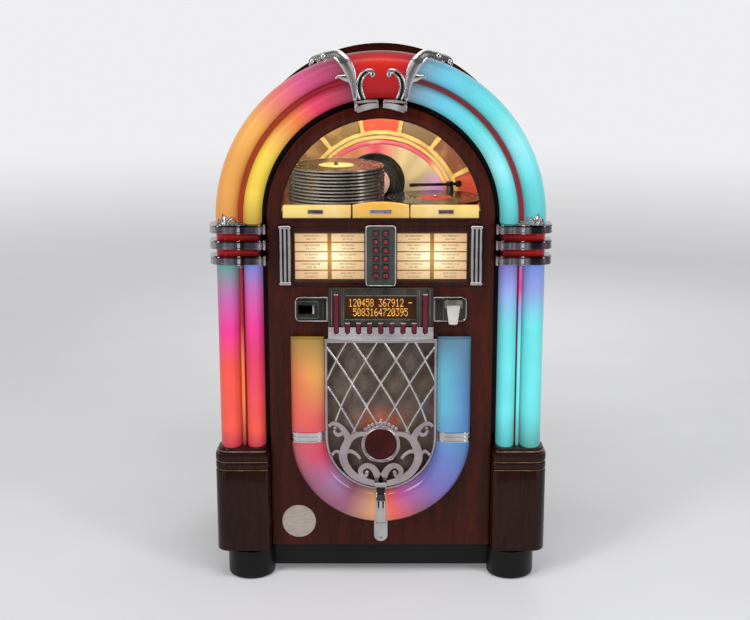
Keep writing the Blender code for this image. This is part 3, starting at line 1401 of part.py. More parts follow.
HEAD_LENGTH, HEAD_HALF, HEAD_DROP = 24 * MM, 7 * MM, 12 * MM
WEIGHT_RADIUS = 9 * MM
WEIGHT_LENGTH = 16 * MM
ARM_SEGMENTS = 10


def flat_ring(bm, centre, radius, bore, thick, axis):
    """A record: a flat round plate with a round hole."""
    profile = [(bore, 0), (radius, 0), (radius, thick), (bore, thick)]
    lathe(bm, profile, RECORD_SEGMENTS, centre, axis)


def upright_player():
    """The stand reaches from the shelf up to the back of the clamp's shaft."""
    bm = bmesh.new()
    front = SINGLE_THICK + CLAMP_THICK + SHAFT_LENGTH
    low, base = SHELF_TOP + GAP - PLAYER_Z, -MOTOR_RADIUS / 2
    outline = [(-STAND_FOOT, low), (STAND_FOOT, low), (STAND_HALF, base)]
    outline += arc((0, 0), STAND_HALF, 0, 180, STAND_STEPS) + [(-STAND_HALF, base)]
    prism(bm, outline, front, front + MOTOR_DEPTH)
    stand = make("player_stand", bm, GREY)
    stand.location = (PLAYER_X, PLAYER_Y, PLAYER_Z)

    bm = bmesh.new()
    face, nose = SINGLE_THICK + GAP, CLAMP_NOSE
    bore = SINGLE_BORE - GAP
    end = front - GAP
    profile = [
        (0, -nose),
        (bore - nose / 2, -nose),
        (bore, -nose / 2),
        (bore, face),
        (CLAMP_RADIUS, face),
        (CLAMP_RADIUS, face + CLAMP_THICK - GAP),
        (SHAFT_RADIUS, face + CLAMP_THICK - GAP),
        (SHAFT_RADIUS, end),
        (0, end),
    ]
    lathe(bm, profile, CLAMP_SEGMENTS, (0, 0, 0), "Y")
    clamp = make("player_clamp", bm, CHROME)
    clamp.location = (PLAYER_X, PLAYER_Y, PLAYER_Z)
    bm = bmesh.new()
    flat_ring(bm, (0, 0, 0), SINGLE_RADIUS, SINGLE_BORE, SINGLE_THICK, "Y")
    record = make("playing_record", bm, VINYL)
    record.location = (PLAYER_X, PLAYER_Y, PLAYER_Z)


def deck():
    bm = bmesh.new()
    low = SHELF_TOP + GAP
    left, right = DECK_X - DECK_HALF_X, DECK_X + DECK_HALF_X
    front, back = DECK_Y - DECK_FRONT, POST_Y + POST_RADIUS + POST_MARGIN
    prism(bm, rounded(left, right, front, back, DECK_CORNER), low, DECK_TOP, "Z")
    base = make("deck_base", bm, GREY)
    bm = bmesh.new()
    post = [(0, low), (POST_RADIUS, low), (POST_RADIUS, POST_TOP), (0, POST_TOP)]
    lathe(bm, post, POST_SEGMENTS, (POST_X, POST_Y, 0))
    combine(base, make("arm_post", bm, GREY, helper=True), "UNION")

    bm = bmesh.new()
    low = DECK_TOP + GAP
    top = low + PLATTER_THICK
    profile = [
        (0, low),
        (PLATTER_RADIUS - PLATTER_LIP, low),
        (PLATTER_RADIUS, low + PLATTER_LIP),
        (PLATTER_RADIUS, top),
        (DECK_SPINDLE, top),
        (DECK_SPINDLE, top + DECK_SPINDLE_HIGH),
        (0, top + DECK_SPINDLE_HIGH),
    ]
    lathe(bm, profile, RECORD_SEGMENTS, (0, 0, 0))
    platter = make("deck_platter", bm, GREY)
    platter.location = (DECK_X, DECK_Y, 0)
    bm = bmesh.new()
    flat_ring(bm, (0, 0, top + GAP), DECK_RECORD, DECK_SPINDLE + GAP, SINGLE_THICK, "Z")
    record = make("deck_record", bm, VINYL)
    record.location = (DECK_X, DECK_Y, 0)


def tone_arm():
    """Modelled along +X from its bearing, then turned to its heading."""
    bm = bmesh.new()
    high = ARM_BEARING_HIGH
    lathe(bm, [(0, 0), (ARM_BEARING, 0), (ARM_BEARING, high), (0, high)], 16, (0, 0, 0))
    arm = make("tone_arm", bm, CHROME)
    arm.location = (POST_X, POST_Y, POST_TOP + GAP)
    arm.rotation_euler = (0, 0, math.radians(ARM_HEADING))
    bm = bmesh.new()
    middle = high / 2
    tube = [(0, -ARM_TAIL), (ARM_RADIUS, -ARM_TAIL), (ARM_RADIUS, ARM_REACH), (0, ARM_REACH)]
    lathe(bm, tube, ARM_SEGMENTS, (0, 0, middle), "X")
    weight = [(0, -ARM_TAIL - WEIGHT_LENGTH / 2), (WEIGHT_RADIUS, -ARM_TAIL - WEIGHT_LENGTH / 2)]
    weight += [(WEIGHT_RADIUS, -ARM_TAIL + WEIGHT_LENGTH / 2), (0, -ARM_TAIL + WEIGHT_LENGTH / 2)]
    tube_part = make("arm_tube", bm, CHROME, helper=True)
    bm = bmesh.new()
    lathe(bm, weight, ARM_SEGMENTS, (0, 0, middle), "X")
    weight_part = make("arm_weight", bm, CHROME, helper=True)
    bm = bmesh.new()
    low = (ARM_REACH - HEAD_LENGTH / 2, -HEAD_HALF, middle - HEAD_DROP / 2)
    box(bm, low, (ARM_REACH + HEAD_LENGTH / 2, HEAD_HALF, middle + HEAD_DROP / 3))
    head_part = make("arm_head", bm, CHROME, helper=True)
    for part in (tube_part, weight_part, head_part):
        part.parent = arm
        combine(arm, part, "UNION")


# Amplifier on the cabinet floor, with cooling fins along its top.
AMP_LEFT, AMP_RIGHT = -250 * MM, 40 * MM
AMP_FRONT, AMP_BACK = 20 * MM, 260 * MM
AMP_HIGH = 96 * MM
FIN_COUNT = 9
FIN_HIGH = 22 * MM
FIN_THICK_SHARE = 0.4


def amplifier():
    bm = bmesh.new()
    low = BASE_TOP + GAP
    top = low + AMP_HIGH
    outline = [(AMP_LEFT, low), (AMP_RIGHT, low), (AMP_RIGHT, top)]
    pitch = (AMP_RIGHT - AMP_LEFT) / FIN_COUNT
    for i in range(FIN_COUNT - 1, -1, -1):
        left = AMP_LEFT + (i + (1 - FIN_THICK_SHARE) / 2) * pitch
        right = left + FIN_THICK_SHARE * pitch
        outline += [(right, top), (right, top + FIN_HIGH), (left, top + FIN_HIGH), (left, top)]
    outline.append((AMP_LEFT, top))
    prism(bm, outline, AMP_FRONT, AMP_BACK)
    make("amplifier", bm, BLACK)


cabinet()
plinth_and_feet()
door_boards()
sill_cover()
lit_plastic()
column_trim()
title_rack()
keypad()
display()
coin_plates()
grille_light()
grille_casting()
loudspeaker()
crown_scrolls()
hinges()
shelf_and_relief()
record_magazine()
upright_player()
deck()
tone_arm()
amplifier()
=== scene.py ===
import math
import random

import bmesh
import bpy
from mathutils import Matrix, Vector

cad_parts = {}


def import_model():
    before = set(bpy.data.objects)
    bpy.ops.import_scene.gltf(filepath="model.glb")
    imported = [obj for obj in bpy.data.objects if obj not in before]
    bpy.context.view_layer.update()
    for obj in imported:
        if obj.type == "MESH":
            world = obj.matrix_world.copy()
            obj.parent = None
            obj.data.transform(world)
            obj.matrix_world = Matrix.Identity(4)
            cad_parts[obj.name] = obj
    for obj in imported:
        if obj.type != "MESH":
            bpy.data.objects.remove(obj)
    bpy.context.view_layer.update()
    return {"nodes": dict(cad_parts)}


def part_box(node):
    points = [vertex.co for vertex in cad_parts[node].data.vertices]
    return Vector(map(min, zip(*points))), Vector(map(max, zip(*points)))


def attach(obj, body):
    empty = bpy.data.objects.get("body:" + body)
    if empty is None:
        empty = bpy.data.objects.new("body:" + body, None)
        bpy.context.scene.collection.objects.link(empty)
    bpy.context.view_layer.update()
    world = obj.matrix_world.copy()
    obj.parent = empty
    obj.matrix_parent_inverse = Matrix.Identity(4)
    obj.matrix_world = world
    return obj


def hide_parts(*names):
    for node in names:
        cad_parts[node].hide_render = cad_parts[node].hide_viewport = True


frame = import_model()

# The studio: a plain pale floor that fades into a pale sky, two large soft lamps in
# front, one above, one behind and a small one inside the window. Chrome and lacquer
# reflect the pale sky behind the jukebox and a dim room in front of it.
MM = 0.001
CAMERA_PLACE = (0, -4.13, 1.702)
CAMERA_TILT = 76.7  # degrees from straight down
CAMERA_LENS = 67.2
SENSOR_WIDTH = 36
FRAME_SHIFT = -0.0077
FLOOR_HALF = 14
FLOOR_FADE = (0.5, 11)  # metres from the jukebox, where the floor turns into sky
FLOOR_GLOW = 0.18
SKY = (0.86, 0.86, 0.88)
SKY_LIGHT = 0.3
ROOM_LIGHT = 0.1
ROOM_TURN = (-0.5, 0.3)  # from the room in front to the sky behind, as the y of a direction
# Each lamp: name, place, the point it faces, width, height, watts, colour.
LAMPS = (
    ("key", (-2.6, -3.4, 2.9), (0, -0.2, 0.9), 1.1, 2.0, 70, (1, 0.98, 0.95)),
    ("fill", (2.9, -3.2, 2.3), (0, -0.2, 0.8), 0.9, 2.0, 48, (0.96, 0.98, 1)),
    ("top", (0, -1.3, 3.7), (0, -0.1, 0.9), 2.0, 0.9, 34, (1, 1, 1)),
    ("rear", (0.8, 3.4, 2.6), (0, 0, 0.9), 2.2, 1.6, 46, (1, 1, 1)),
    ("inside", (0, -0.13, 1.335), (0, 0.1, 1.05), 0.3, 0.03, 2.2, (1, 0.8, 0.5)),
)

scene = bpy.context.scene
scene.view_settings.view_transform = "Standard"

camera = bpy.data.objects.new("camera", bpy.data.cameras.new("camera"))
scene.collection.objects.link(camera)
camera.location = CAMERA_PLACE
camera.rotation_euler = (math.radians(CAMERA_TILT), 0, 0)
camera.data.lens = CAMERA_LENS
camera.data.sensor_width = SENSOR_WIDTH
camera.data.shift_x = FRAME_SHIFT
scene.camera = camera


def link_mesh(name, bm):
    mesh = bpy.data.meshes.new(name)
    bm.to_mesh(mesh)
    bm.free()
    obj = bpy.data.objects.new(name, mesh)
    scene.collection.objects.link(obj)
    return obj


class Finish:
    """A material being built: its shader, and short calls that add what feeds it. Places
    come from the piece's own coordinates, which are metres on the jukebox."""

    def __init__(self, name, rough=0.5, metal=0.0, coat=0.0, shine=0.5):
        self.mat = bpy.data.materials.new(name)
        self.mat.use_nodes = True
        self.tree = self.mat.node_tree
        self.shader = self.tree.nodes["Principled BSDF"]
        self.shader.inputs["Roughness"].default_value = rough
        self.shader.inputs["Metallic"].default_value = metal
        self.shader.inputs["Coat Weight"].default_value = coat
        self.shader.inputs["Coat Roughness"].default_value = 0.05
        self.shader.inputs["Specular IOR Level"].default_value = shine
        self.place = self.node("ShaderNodeTexCoord").outputs["Object"]
        self.apart = None

    def node(self, kind, **settings):
        made = self.tree.nodes.new(kind)
        for key, value in settings.items():
            setattr(made, key, value)
        return made

    def feed(self, socket, value):
        """Links an output to a socket, or writes a plain value into it."""
        if isinstance(value, bpy.types.NodeSocket):
            self.tree.links.new(value, socket)
        else:
            socket.default_value = value

    def to(self, name, value):
        self.feed(self.shader.inputs[name], value)
        return self

    def maths(self, operation, first, second=0.0, third=0.0):
        made = self.node("ShaderNodeMath", operation=operation)
        for socket, value in zip(made.inputs, (first, second, third)):
            self.feed(socket, value)
        return made.outputs[0]

    def axis(self, letter):
        if not self.apart:
            self.apart = self.node("ShaderNodeSeparateXYZ")
            self.tree.links.new(self.place, self.apart.inputs[0])
        return self.apart.outputs[letter]

    def noise(self, scale, stretch=(1, 1, 1), detail=4.0, rough=0.55, twist=0.0):
        """Cloudy values about a half. A stretch under one draws them out along that axis."""
        fit = self.node("ShaderNodeMapping")
        fit.inputs["Scale"].default_value = stretch
        self.tree.links.new(self.place, fit.inputs["Vector"])
        made = self.node("ShaderNodeTexNoise")
        made.inputs["Scale"].default_value = scale
        made.inputs["Detail"].default_value = detail
        made.inputs["Roughness"].default_value = rough
        made.inputs["Distortion"].default_value = twist
        self.tree.links.new(fit.outputs[0], made.inputs["Vector"])
        return made.outputs[0]

    def ramp(self, value, stops):
        """Colours along a value. Each stop is (place, colour)."""
        made = self.node("ShaderNodeValToRGB")
        points = made.color_ramp.elements
        while len(points) < len(stops):
            points.new(0.5)
        for point, (spot, colour) in zip(points, stops):
            point.position = spot
            point.color = (*light(colour), 1)
        self.feed(made.inputs[0], value)
        return made.outputs[0]

    def spread(self, value, low, high, out_low=0.0, out_high=1.0, soft=False):
        """Brings a value that runs from low to high onto another range."""
        made = self.node("ShaderNodeMapRange", interpolation_type="SMOOTHSTEP" if soft else "LINEAR")
        for socket, number in zip(made.inputs, (value, low, high, out_low, out_high)):
            self.feed(socket, number)
        return made.outputs[0]

    def mix(self, share, first, second):
        """Two colours, or values, blended by a share."""
        made = self.node("ShaderNodeMix", data_type="RGBA")
        self.feed(made.inputs[0], share)
        for socket, value in ((made.inputs[6], first), (made.inputs[7], second)):
            self.feed(socket, (*light(value), 1) if isinstance(value, str) else value)
        return made.outputs[2]

    def reach(self, across, up):
        """How long a step is, from its two parts."""
        total = self.maths("ADD", self.maths("POWER", across, 2), self.maths("POWER", up, 2))
        return self.maths("SQRT", total)

    def clouds(self, noise):
        """A noise as it is, or one of the scale that a plain number gives."""
        return self.noise(noise) if isinstance(noise, (int, float)) else noise

    def tone(self, noise, first, second, span=(0.3, 0.7)):
        """Two shades that follow a noise, which mostly stays within the span."""
        return self.to("Base Color", self.ramp(self.clouds(noise), list(zip(span, (first, second)))))

    def wear(self, noise, low, high, span=(0.3, 0.7)):
        """Roughness that follows a noise."""
        return self.to("Roughness", self.spread(self.clouds(noise), *span, low, high))

    def lit(self, colour, strength, mute=0.0, under="000000"):
        """Gives off a colour. mute is how far the surface itself sinks towards under."""
        self.to("Base Color", self.mix(mute, colour, under) if mute else colour)
        return self.to("Emission Color", colour).to("Emission Strength", strength)

    def bump(self, noise, depth, strength):
        """Small unevenness of the surface that follows a noise."""
        made = self.node("ShaderNodeBump")
        made.inputs["Strength"].default_value = strength
        made.inputs["Distance"].default_value = depth
        self.feed(made.inputs["Height"], self.clouds(noise))
        return self.to("Normal", made.outputs[0])


def light(colour):
    """A colour as a screen shows it, six hex digits, as the amounts of light it stands for."""
    parts = [int(colour[i : i + 2], 16) / 255 for i in (0, 2, 4)]
    return [p / 12.92 if p <= 0.04045 else ((p + 0.055) / 1.055) ** 2.4 for p in parts]


bm = bmesh.new()
bmesh.ops.create_grid(bm, x_segments=2, y_segments=2, size=FLOOR_HALF)
floor = link_mesh("floor", bm)
stone = Finish("pale floor", rough=0.55, shine=0)
far = stone.spread(stone.reach(stone.axis("X"), stone.axis("Y")), *FLOOR_FADE, soft=True)
tone = stone.ramp(stone.noise(1.5, detail=6.0), ((0.35, "dcdcde"), (0.65, "e0e0e2")))
stone.to("Base Color", stone.mix(far, tone, "000000")).to("Emission Color", (*SKY, 1))
stone.to("Emission Strength", stone.spread(far, 0, 1, FLOOR_GLOW, 1))
floor.data.materials.append(stone.mat)

sky = bpy.data.worlds.new("studio sky")
scene.world = sky
sky.use_nodes = True
tree = sky.node_tree
surface = tree.nodes["Background"]
spot, apart, room, shine, seen, clear, most = (tree.nodes.new(f"ShaderNode{kind}") for kind in (
    "TexCoord", "SeparateXYZ", "MapRange", "MapRange", "LightPath", "Math", "Math"))
tree.links.new(spot.outputs["Generated"], apart.inputs[0])
tree.links.new(apart.outputs["Y"], room.inputs[0])
for socket, value in zip(room.inputs[1:], (*ROOM_TURN, ROOM_LIGHT, 1)):
    socket.default_value = value
tree.links.new(seen.outputs["Is Glossy Ray"], shine.inputs[0])
shine.inputs["To Min"].default_value = SKY_LIGHT
tree.links.new(room.outputs[0], shine.inputs["To Max"])
clear.operation = most.operation = "MAXIMUM"
tree.links.new(seen.outputs["Is Camera Ray"], clear.inputs[0])
tree.links.new(seen.outputs["Is Transmission Ray"], clear.inputs[1])
tree.links.new(shine.outputs[0], most.inputs[0])
tree.links.new(clear.outputs[0], most.inputs[1])
tree.links.new(most.outputs[0], surface.inputs["Strength"])
surface.inputs["Color"].default_value = (*SKY, 1)

for name, spot, target, width, height, watts, colour in LAMPS:
    lamp = bpy.data.objects.new(name, bpy.data.lights.new(name, "AREA"))
    scene.collection.objects.link(lamp)
    lamp.data.shape = "RECTANGLE"
    lamp.data.size, lamp.data.size_y = width, height
    lamp.data.energy = watts
    lamp.data.color = colour
    lamp.location = spot
    lamp.rotation_euler = (Vector(target) - Vector(spot)).to_track_quat("-Z", "Y").to_euler()
    lamp.visible_glossy = name != "rear"


# Plinth: four boards under the cabinet with a round foot at each corner, all in black
# satin paint. The feet are turned, with a rounded lower edge.
FOOT_SIDES = 96
FOOT_EASES = (12 * MM, 3 * MM)
FOOT_X, FOOT_REAR = 379 * MM, 262 * MM
FOOT_SUNK = 2 * MM  # below the cabinet's floor board
EDGE_STEPS = 6
WELD = 0.01 * MM  # points closer than this become one


def build(name, bm, finish, body, node, sharp=32):
    """Makes a piece in its finish, on its body, in place of a node of the frame. Edges
    sharper than the angle stay crisp."""
    bmesh.ops.remove_doubles(bm, verts=bm.verts, dist=WELD)
    bmesh.ops.recalc_face_normals(bm, faces=bm.faces)
    obj = link_mesh(name, bm)
    obj.data.materials.append(finish.mat)
    obj.data.shade_smooth()
    obj.data.set_sharp_from_angle(angle=math.radians(sharp))
    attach(obj, body)
    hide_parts(node)
    return obj


def turn(bm, shape, sides, centre=(0, 0, 0), axis="Z"):
    """Turns (radius, height) points about an axis through centre. Radius zero closes the
    shape on the axis."""
    rings = []
    for radius, height in shape:
        ring = []
        for i in range(sides):
            angle = math.radians(360 * i / sides)
            a, b = radius * math.cos(angle), radius * math.sin(angle)
            spot = {"Z": (a, b, height), "Y": (a, height, b), "X": (height, a, b)}[axis]
            ring.append(bm.verts.new(Vector(centre) + Vector(spot)))
            if radius == 0:
                break
        rings.append(ring)
    for first, second in zip(rings, rings[1:]):
        for i in range(sides):
            one, two = i, i + 1
            corners = []
            for ring, order in ((first, (one, two)), (second, (two, one))):
                for k in order:
                    corner = ring[k % len(ring)] if len(ring) > 1 else ring[0]
                    if corner not in corners:
                        corners.append(corner)
            if len(corners) > 2:
                bm.faces.new(corners)


def eased(points, corners):
    """Rounds the listed corners of an open line of (a, b) points. Corners are {index: radius}."""
    out = []
    for i, point in enumerate(points):
        if i not in corners:
            out.append(point)
            continue
        here = Vector(point)
        into = (Vector(points[i - 1]) - here).normalized() * corners[i]
        away = (Vector(points[(i + 1) % len(points)]) - here).normalized() * corners[i]
        for k in range(EDGE_STEPS + 1):
            t = k / EDGE_STEPS
            out.append(tuple(here + into * (1 - t) ** 2 + away * t**2))
    return out


def peg(bm, radius, low, high, eases, sides, centre=(0, 0, 0), axis="Z"):
    """A turned solid of one radius, with its lower and upper edges rounded."""
    line = [(0, low), (radius, low), (radius, high), (0, high)]
    turn(bm, eased(line, dict(zip((1, 2), eases))), sides, centre, axis)


black_paint = Finish("black satin paint", rough=0.34, coat=0.05, shine=0.2)
black_paint.tone(14, "090909", "141314", (0.3, 0.75))
black_paint.wear(60, 0.26, 0.42, (0.2, 0.8))
black_paint.bump(black_paint.noise(900, detail=2.0), 0.05 * MM, 0.4)

low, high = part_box("plinth_and_feet")
foot_radius = -low.x - FOOT_X
foot_top = high.z
bm = bmesh.new()
for x in (low.x + foot_radius, high.x - foot_radius):
    for y in (low.y + foot_radius, FOOT_REAR):
        peg(bm, foot_radius, 0, foot_top - FOOT_SUNK, FOOT_EASES, FOOT_SIDES, (x, y, 0))
build("turned_feet", bm, black_paint, "cabinet", "plinth_and_feet")

PLINTH_BOTTOM = 24 * MM
PLINTH_BOARD = 18 * MM
PLINTH_FRONT = -284 * MM
PLINTH_REAR = 325 * MM
PLINTH_EASE = 2 * MM
SIDES = ((-1, "left"), (1, "right"))


def block(bm, low, high, ease, steps=3):
    """A box from its lowest to its highest corner, with eased edges."""
    made = bmesh.ops.create_cube(bm, size=1)["verts"]
    size, middle = Vector(high) - Vector(low), (Vector(high) + Vector(low)) / 2
    for vert in made:
        vert.co = Vector([vert.co[k] * size[k] for k in range(3)]) + middle
    if ease:
        edges = list(dict.fromkeys(edge for vert in made for edge in vert.link_edges))
        bmesh.ops.bevel(bm, geom=edges, offset=ease, segments=steps, profile=0.5, affect="EDGES")


bm = bmesh.new()
half = -low.x - foot_radius * 1.5
for side, word in SIDES:
    edges = sorted((side * half, side * (half - PLINTH_BOARD)))
    block(bm, (edges[0], PLINTH_FRONT, PLINTH_BOTTOM), (edges[1], PLINTH_REAR, foot_top), PLINTH_EASE)
inner = half - PLINTH_BOARD
for front in (PLINTH_FRONT, PLINTH_REAR - PLINTH_BOARD):
    block(bm, (-inner, front, PLINTH_BOTTOM), (inner, front + PLINTH_BOARD, foot_top), PLINTH_EASE)
build("plinth_boards", bm, black_paint, "cabinet", "plinth_and_feet")


# Cabinet: walnut-veneered sides that run up into a bent top, glued round a floor board.
# The back is black hardboard with two rows of vents and the mains inlet's opening.
ARCH = 1055 * MM  # height of the centre of all the round tops
ARCH_STEPS = 96
SIDE_BOARD = 18 * MM


def circle(centre, radius, start, end, steps):
    """Points along part of a circle, from start to end in degrees."""
    out = []
    for i in range(steps + 1):
        angle = math.radians(start + (end - start) * i / steps)
        out.append((centre[0] + radius * math.cos(angle), centre[1] + radius * math.sin(angle)))
    return out


def arched(half, bottom):
    """The outline of a board with straight sides and a half-round top."""
    return [(half, bottom)] + circle((0, ARCH), half, 0, 180, ARCH_STEPS) + [(-half, bottom)]


def oblong(left, right, bottom, top, radius=0.0, steps=6):
    """A rectangle's outline, with round corners where a radius is given."""
    if not radius:
        return [(left, bottom), (right, bottom), (right, top), (left, top)]
    out = []
    for a, b, start in ((right, top, 0), (left, top, 90), (left, bottom, 180), (right, bottom, 270)):
        centre = (a - math.copysign(radius, a - left - radius),
                  b - math.copysign(radius, b - bottom - radius))
        out += circle(centre, radius, start, start + 90, steps)
    return out


def solid_from(curve):
    """The mesh that a curve's settings describe. The curve itself goes."""
    holder = bpy.data.objects.new("outline", curve)
    scene.collection.objects.link(holder)
    bpy.context.view_layer.update()
    mesh = bpy.data.meshes.new_from_object(holder.evaluated_get(bpy.context.evaluated_depsgraph_get()))
    bpy.data.objects.remove(holder)
    bpy.data.curves.remove(curve)
    bm = bmesh.new()
    bm.from_mesh(mesh)
    bpy.data.meshes.remove(mesh)
    return bm


def join(bm, part):
    """Adds a part to a piece. The part's own mesh goes."""
    mesh = bpy.data.meshes.new("part")
    part.to_mesh(mesh)
    part.free()
    bm.from_mesh(mesh)
    bpy.data.meshes.remove(mesh)


def cut_board(outlines, front, back, ease=0.0, steps=3):
    """A board cut to the first outline, with the others as holes, its edges eased. The
    outlines are (x, z) and the board runs from front to back."""
    curve = bpy.data.curves.new("board", "CURVE")
    curve.dimensions = "2D"
    curve.fill_mode = "BOTH"
    for points in outlines:
        spline = curve.splines.new("POLY")
        spline.points.add(len(points) - 1)
        for spot, (x, z) in zip(spline.points, points):
            spot.co = (x, z, 0, 1)
        spline.use_cyclic_u = True
    curve.extrude = abs(back - front) / 2 - ease
    curve.bevel_depth = ease
    curve.bevel_resolution = steps
    curve.offset = -ease
    bm = solid_from(curve)
    upright = Matrix.Translation((0, (front + back) / 2, 0)) @ Matrix.Rotation(math.pi / 2, 4, "X")
    bmesh.ops.transform(bm, matrix=upright, verts=bm.verts)
    return bm


def bent_place(finish, centre, radius, way=1):
    """Where a spot lies on a strip that runs straight and then round a half circle: how
    far along it, and how far out from the middle. way is -1 where it bends at the bottom."""
    rise = finish.maths("MULTIPLY", finish.maths("SUBTRACT", finish.axis("Z"), centre), way)
    side = finish.maths("ABSOLUTE", finish.axis("X"))
    up = finish.maths("MAXIMUM", rise, 0)
    turned = finish.maths("MULTIPLY", finish.maths("ARCTAN2", up, side), radius)
    path = finish.maths("ADD", turned, finish.maths("MINIMUM", rise, 0))
    out = finish.maths("ADD", finish.maths("MULTIPLY", side, side), finish.maths("MULTIPLY", up, up))
    return path, finish.maths("SQRT", out)


def veneer(name, colours, round_top=None, coat=0.7, rough=0.36, shine=0.1):
    """Lacquered wood: long soft figure, fine dark pores and a slow change of tone. On a
    bent top the grain follows the bend, whose centre and radius are given."""
    wood = Finish(name, rough=rough, coat=coat, shine=shine)
    if round_top:
        along, out = bent_place(wood, *round_top)
        spot = wood.node("ShaderNodeCombineXYZ")
        for socket, value in zip(spot.inputs, (out, wood.axis("Y"), along)):
            wood.feed(socket, value)
        wood.place = spot.outputs[0]
    figure = wood.noise(7, (3.2, 3.2, 0.42), detail=5.0, rough=0.6, twist=1.3)
    fibres = wood.noise(60, (6, 6, 0.35), rough=0.7)
    pores = wood.noise(330, (3, 3, 0.06), detail=2.0)
    blend = wood.mix(0.4, figure, fibres)
    places = (0.3, 0.47, 0.6, 0.75)
    tone = wood.ramp(blend, list(zip(places, colours)))
    dark = wood.spread(pores, 0.62, 0.72, 0.0, 0.6)
    wood.to("Base Color", wood.mix(dark, tone, colours[0]))
    wood.wear(fibres, rough - 0.06, rough + 0.08)
    wood.bump(wood.mix(0.5, fibres, pores), 0.08 * MM, 0.25)
    return wood


low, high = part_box("cabinet_shell")
half, inner = high.x, high.x - SIDE_BOARD
outline = arched(half, low.z) + arched(inner, low.z)[::-1]
walnut = veneer("walnut veneer", ("1a0a06", "2c120a", "3a190d", "482011"), (ARCH, half), 0, 0.5, 0)
bm = cut_board([outline], low.y, high.y, 1.5 * MM)
build("veneered_shell", bm, walnut, "cabinet", "cabinet_shell")

hardboard = Finish("black hardboard", rough=0.62)
fibre = hardboard.noise(420, detail=5.0, rough=0.7)
hardboard.tone(hardboard.noise(9, detail=7.0), "0f0f0f", "1d1c1b")
hardboard.wear(fibre, 0.5, 0.74)
hardboard.bump(fibre, 0.12 * MM, 0.5)


def keep(node, finish):
    """A solid of the frame that shows as it is, in a finish of its own."""
    obj = frame["nodes"][node]
    obj.data.materials.clear()
    obj.data.materials.append(finish.mat)


for node in ("base_board", "back_panel", "mechanism_shelf"):
    keep(node, hardboard)


# Relief behind the records: a fan of moulded translucent plastic, lit from behind, with
# two ridges round the fan and a frieze of framed panels outside them. Their glow is
# painted light, with painted shade on the sides of the mouldings.
SECTORS = 7
FAN_RADIUS = 200 * MM
FAN_RINGS, FAN_STEPS, FAN_FOLDS = 18, 216, 18
FOLD_HIGH = 3.2 * MM
VIOLET_LAMP = (165 * MM, 62 * MM)  # across and above the fan's centre
VIOLET_REACH = (12 * MM, 62 * MM)
RELIEF_THICK = 8 * MM
RIDGES = ((201 * MM, 214 * MM, "c9526a"), (216 * MM, 225 * MM, "d9b06c"))
FRIEZE_IN, FRIEZE_OUT = 230 * MM, 331 * MM
FRAME_BAR = 12 * MM
RELIEF_EASE = 3.6 * MM
RIDGE_RISE, FRAME_RISE, PANEL_RISE = 9 * MM, 11 * MM, 2.5 * MM
# Colours of the framed panels from the right round to the left.
PANEL_COLOURS = ("d2503a", "8a5238", "7c6648", "c84a34", "82683f", "86623c", "8e3c26")


def lamp_lit(name, colours, scale, glow):
    """Moulded plastic with lamps behind it: cloudy colour that also gives off light. The glow is painted
    light, and faces that turn from the front glow less: painted shade on the moulding's sides.
    """
    plastic = Finish(name, rough=0.35, coat=0.3)
    cloud = plastic.noise(scale, detail=3.0)
    places = [0.3 + 0.4 * i / (len(colours) - 1) for i in range(len(colours))]
    colour = plastic.ramp(cloud, list(zip(places, colours)))
    turned = plastic.node("ShaderNodeSeparateXYZ")
    plastic.feed(turned.inputs[0], plastic.node("ShaderNodeNewGeometry").outputs["Normal"])
    level = plastic.spread(turned.outputs["Y"], -0.95, -0.3, glow, glow * 0.35)
    plastic.lit(colour, level, 0.3)
    plastic.bump(plastic.noise(scale * 30, detail=2.0), 0.06 * MM, 0.3)
    return plastic


low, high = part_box("scenic_relief")
floor_level = low.z
relief_back = high.y
relief_face = relief_back - RELIEF_THICK
centre = (0, floor_level)


def band(inside, outside, start, end, steps):
    """A stretch of a flat ring about the fan's centre."""
    return circle(centre, outside, start, end, steps) + circle(centre, inside, end, start, steps)


fan = Finish("lit fan", rough=0.4, coat=0.3)
angle = fan.maths("ARCTAN2", fan.maths("SUBTRACT", fan.axis("Z"), floor_level), fan.axis("X"))
share = fan.maths("DIVIDE", angle, math.pi)
wide = fan.ramp(share, ((0.0, "b080a0"), (0.2, "bcae88"), (0.4, "c0b08c"), (0.48, "c44464"), (0.57, "c44464"),
                        (0.62, "b87058"), (1.0, "7c5a38")))
# A pool of violet light is painted on the right of the fan, centred on VIOLET_LAMP.
off_x = fan.maths("SUBTRACT", fan.axis("X"), VIOLET_LAMP[0])
off_z = fan.maths("SUBTRACT", fan.axis("Z"), floor_level + VIOLET_LAMP[1])
wide = fan.mix(fan.spread(fan.reach(off_x, off_z), *VIOLET_REACH, 0.9, 0), wide, "b070e0")
folds = fan.maths("SINE", fan.maths("MULTIPLY", angle, FAN_FOLDS))
crest = fan.spread(folds, -1, 1, 0, 1)
colour = fan.mix(fan.maths("MULTIPLY", crest, 0.2), wide, "e8d09a")
fan.lit(colour, fan.spread(fan.noise(6), 0.35, 0.65, 0.36, 0.66), 0.3)
bm = bmesh.new()
rings = []
for i in range(FAN_RINGS + 1):
    radius = FAN_RADIUS * max(i, 0.05) / FAN_RINGS
    ring = []
    for k in range(FAN_STEPS + 1):
        bearing = math.pi * k / FAN_STEPS
        swell = FOLD_HIGH * (0.5 + 0.5 * math.sin(FAN_FOLDS * bearing)) * min(i / 6, 1)
        x, z = radius * math.cos(bearing), floor_level + radius * math.sin(bearing)
        ring.append(bm.verts.new((x, relief_face - swell - 1 * MM, z)))
    rings.append(ring)
for first, second in zip(rings, rings[1:]):
    for k in range(FAN_STEPS):
        bm.faces.new((first[k], first[k + 1], second[k + 1], second[k]))
build("relief_fan", bm, fan, "cabinet", "scenic_relief", sharp=60)

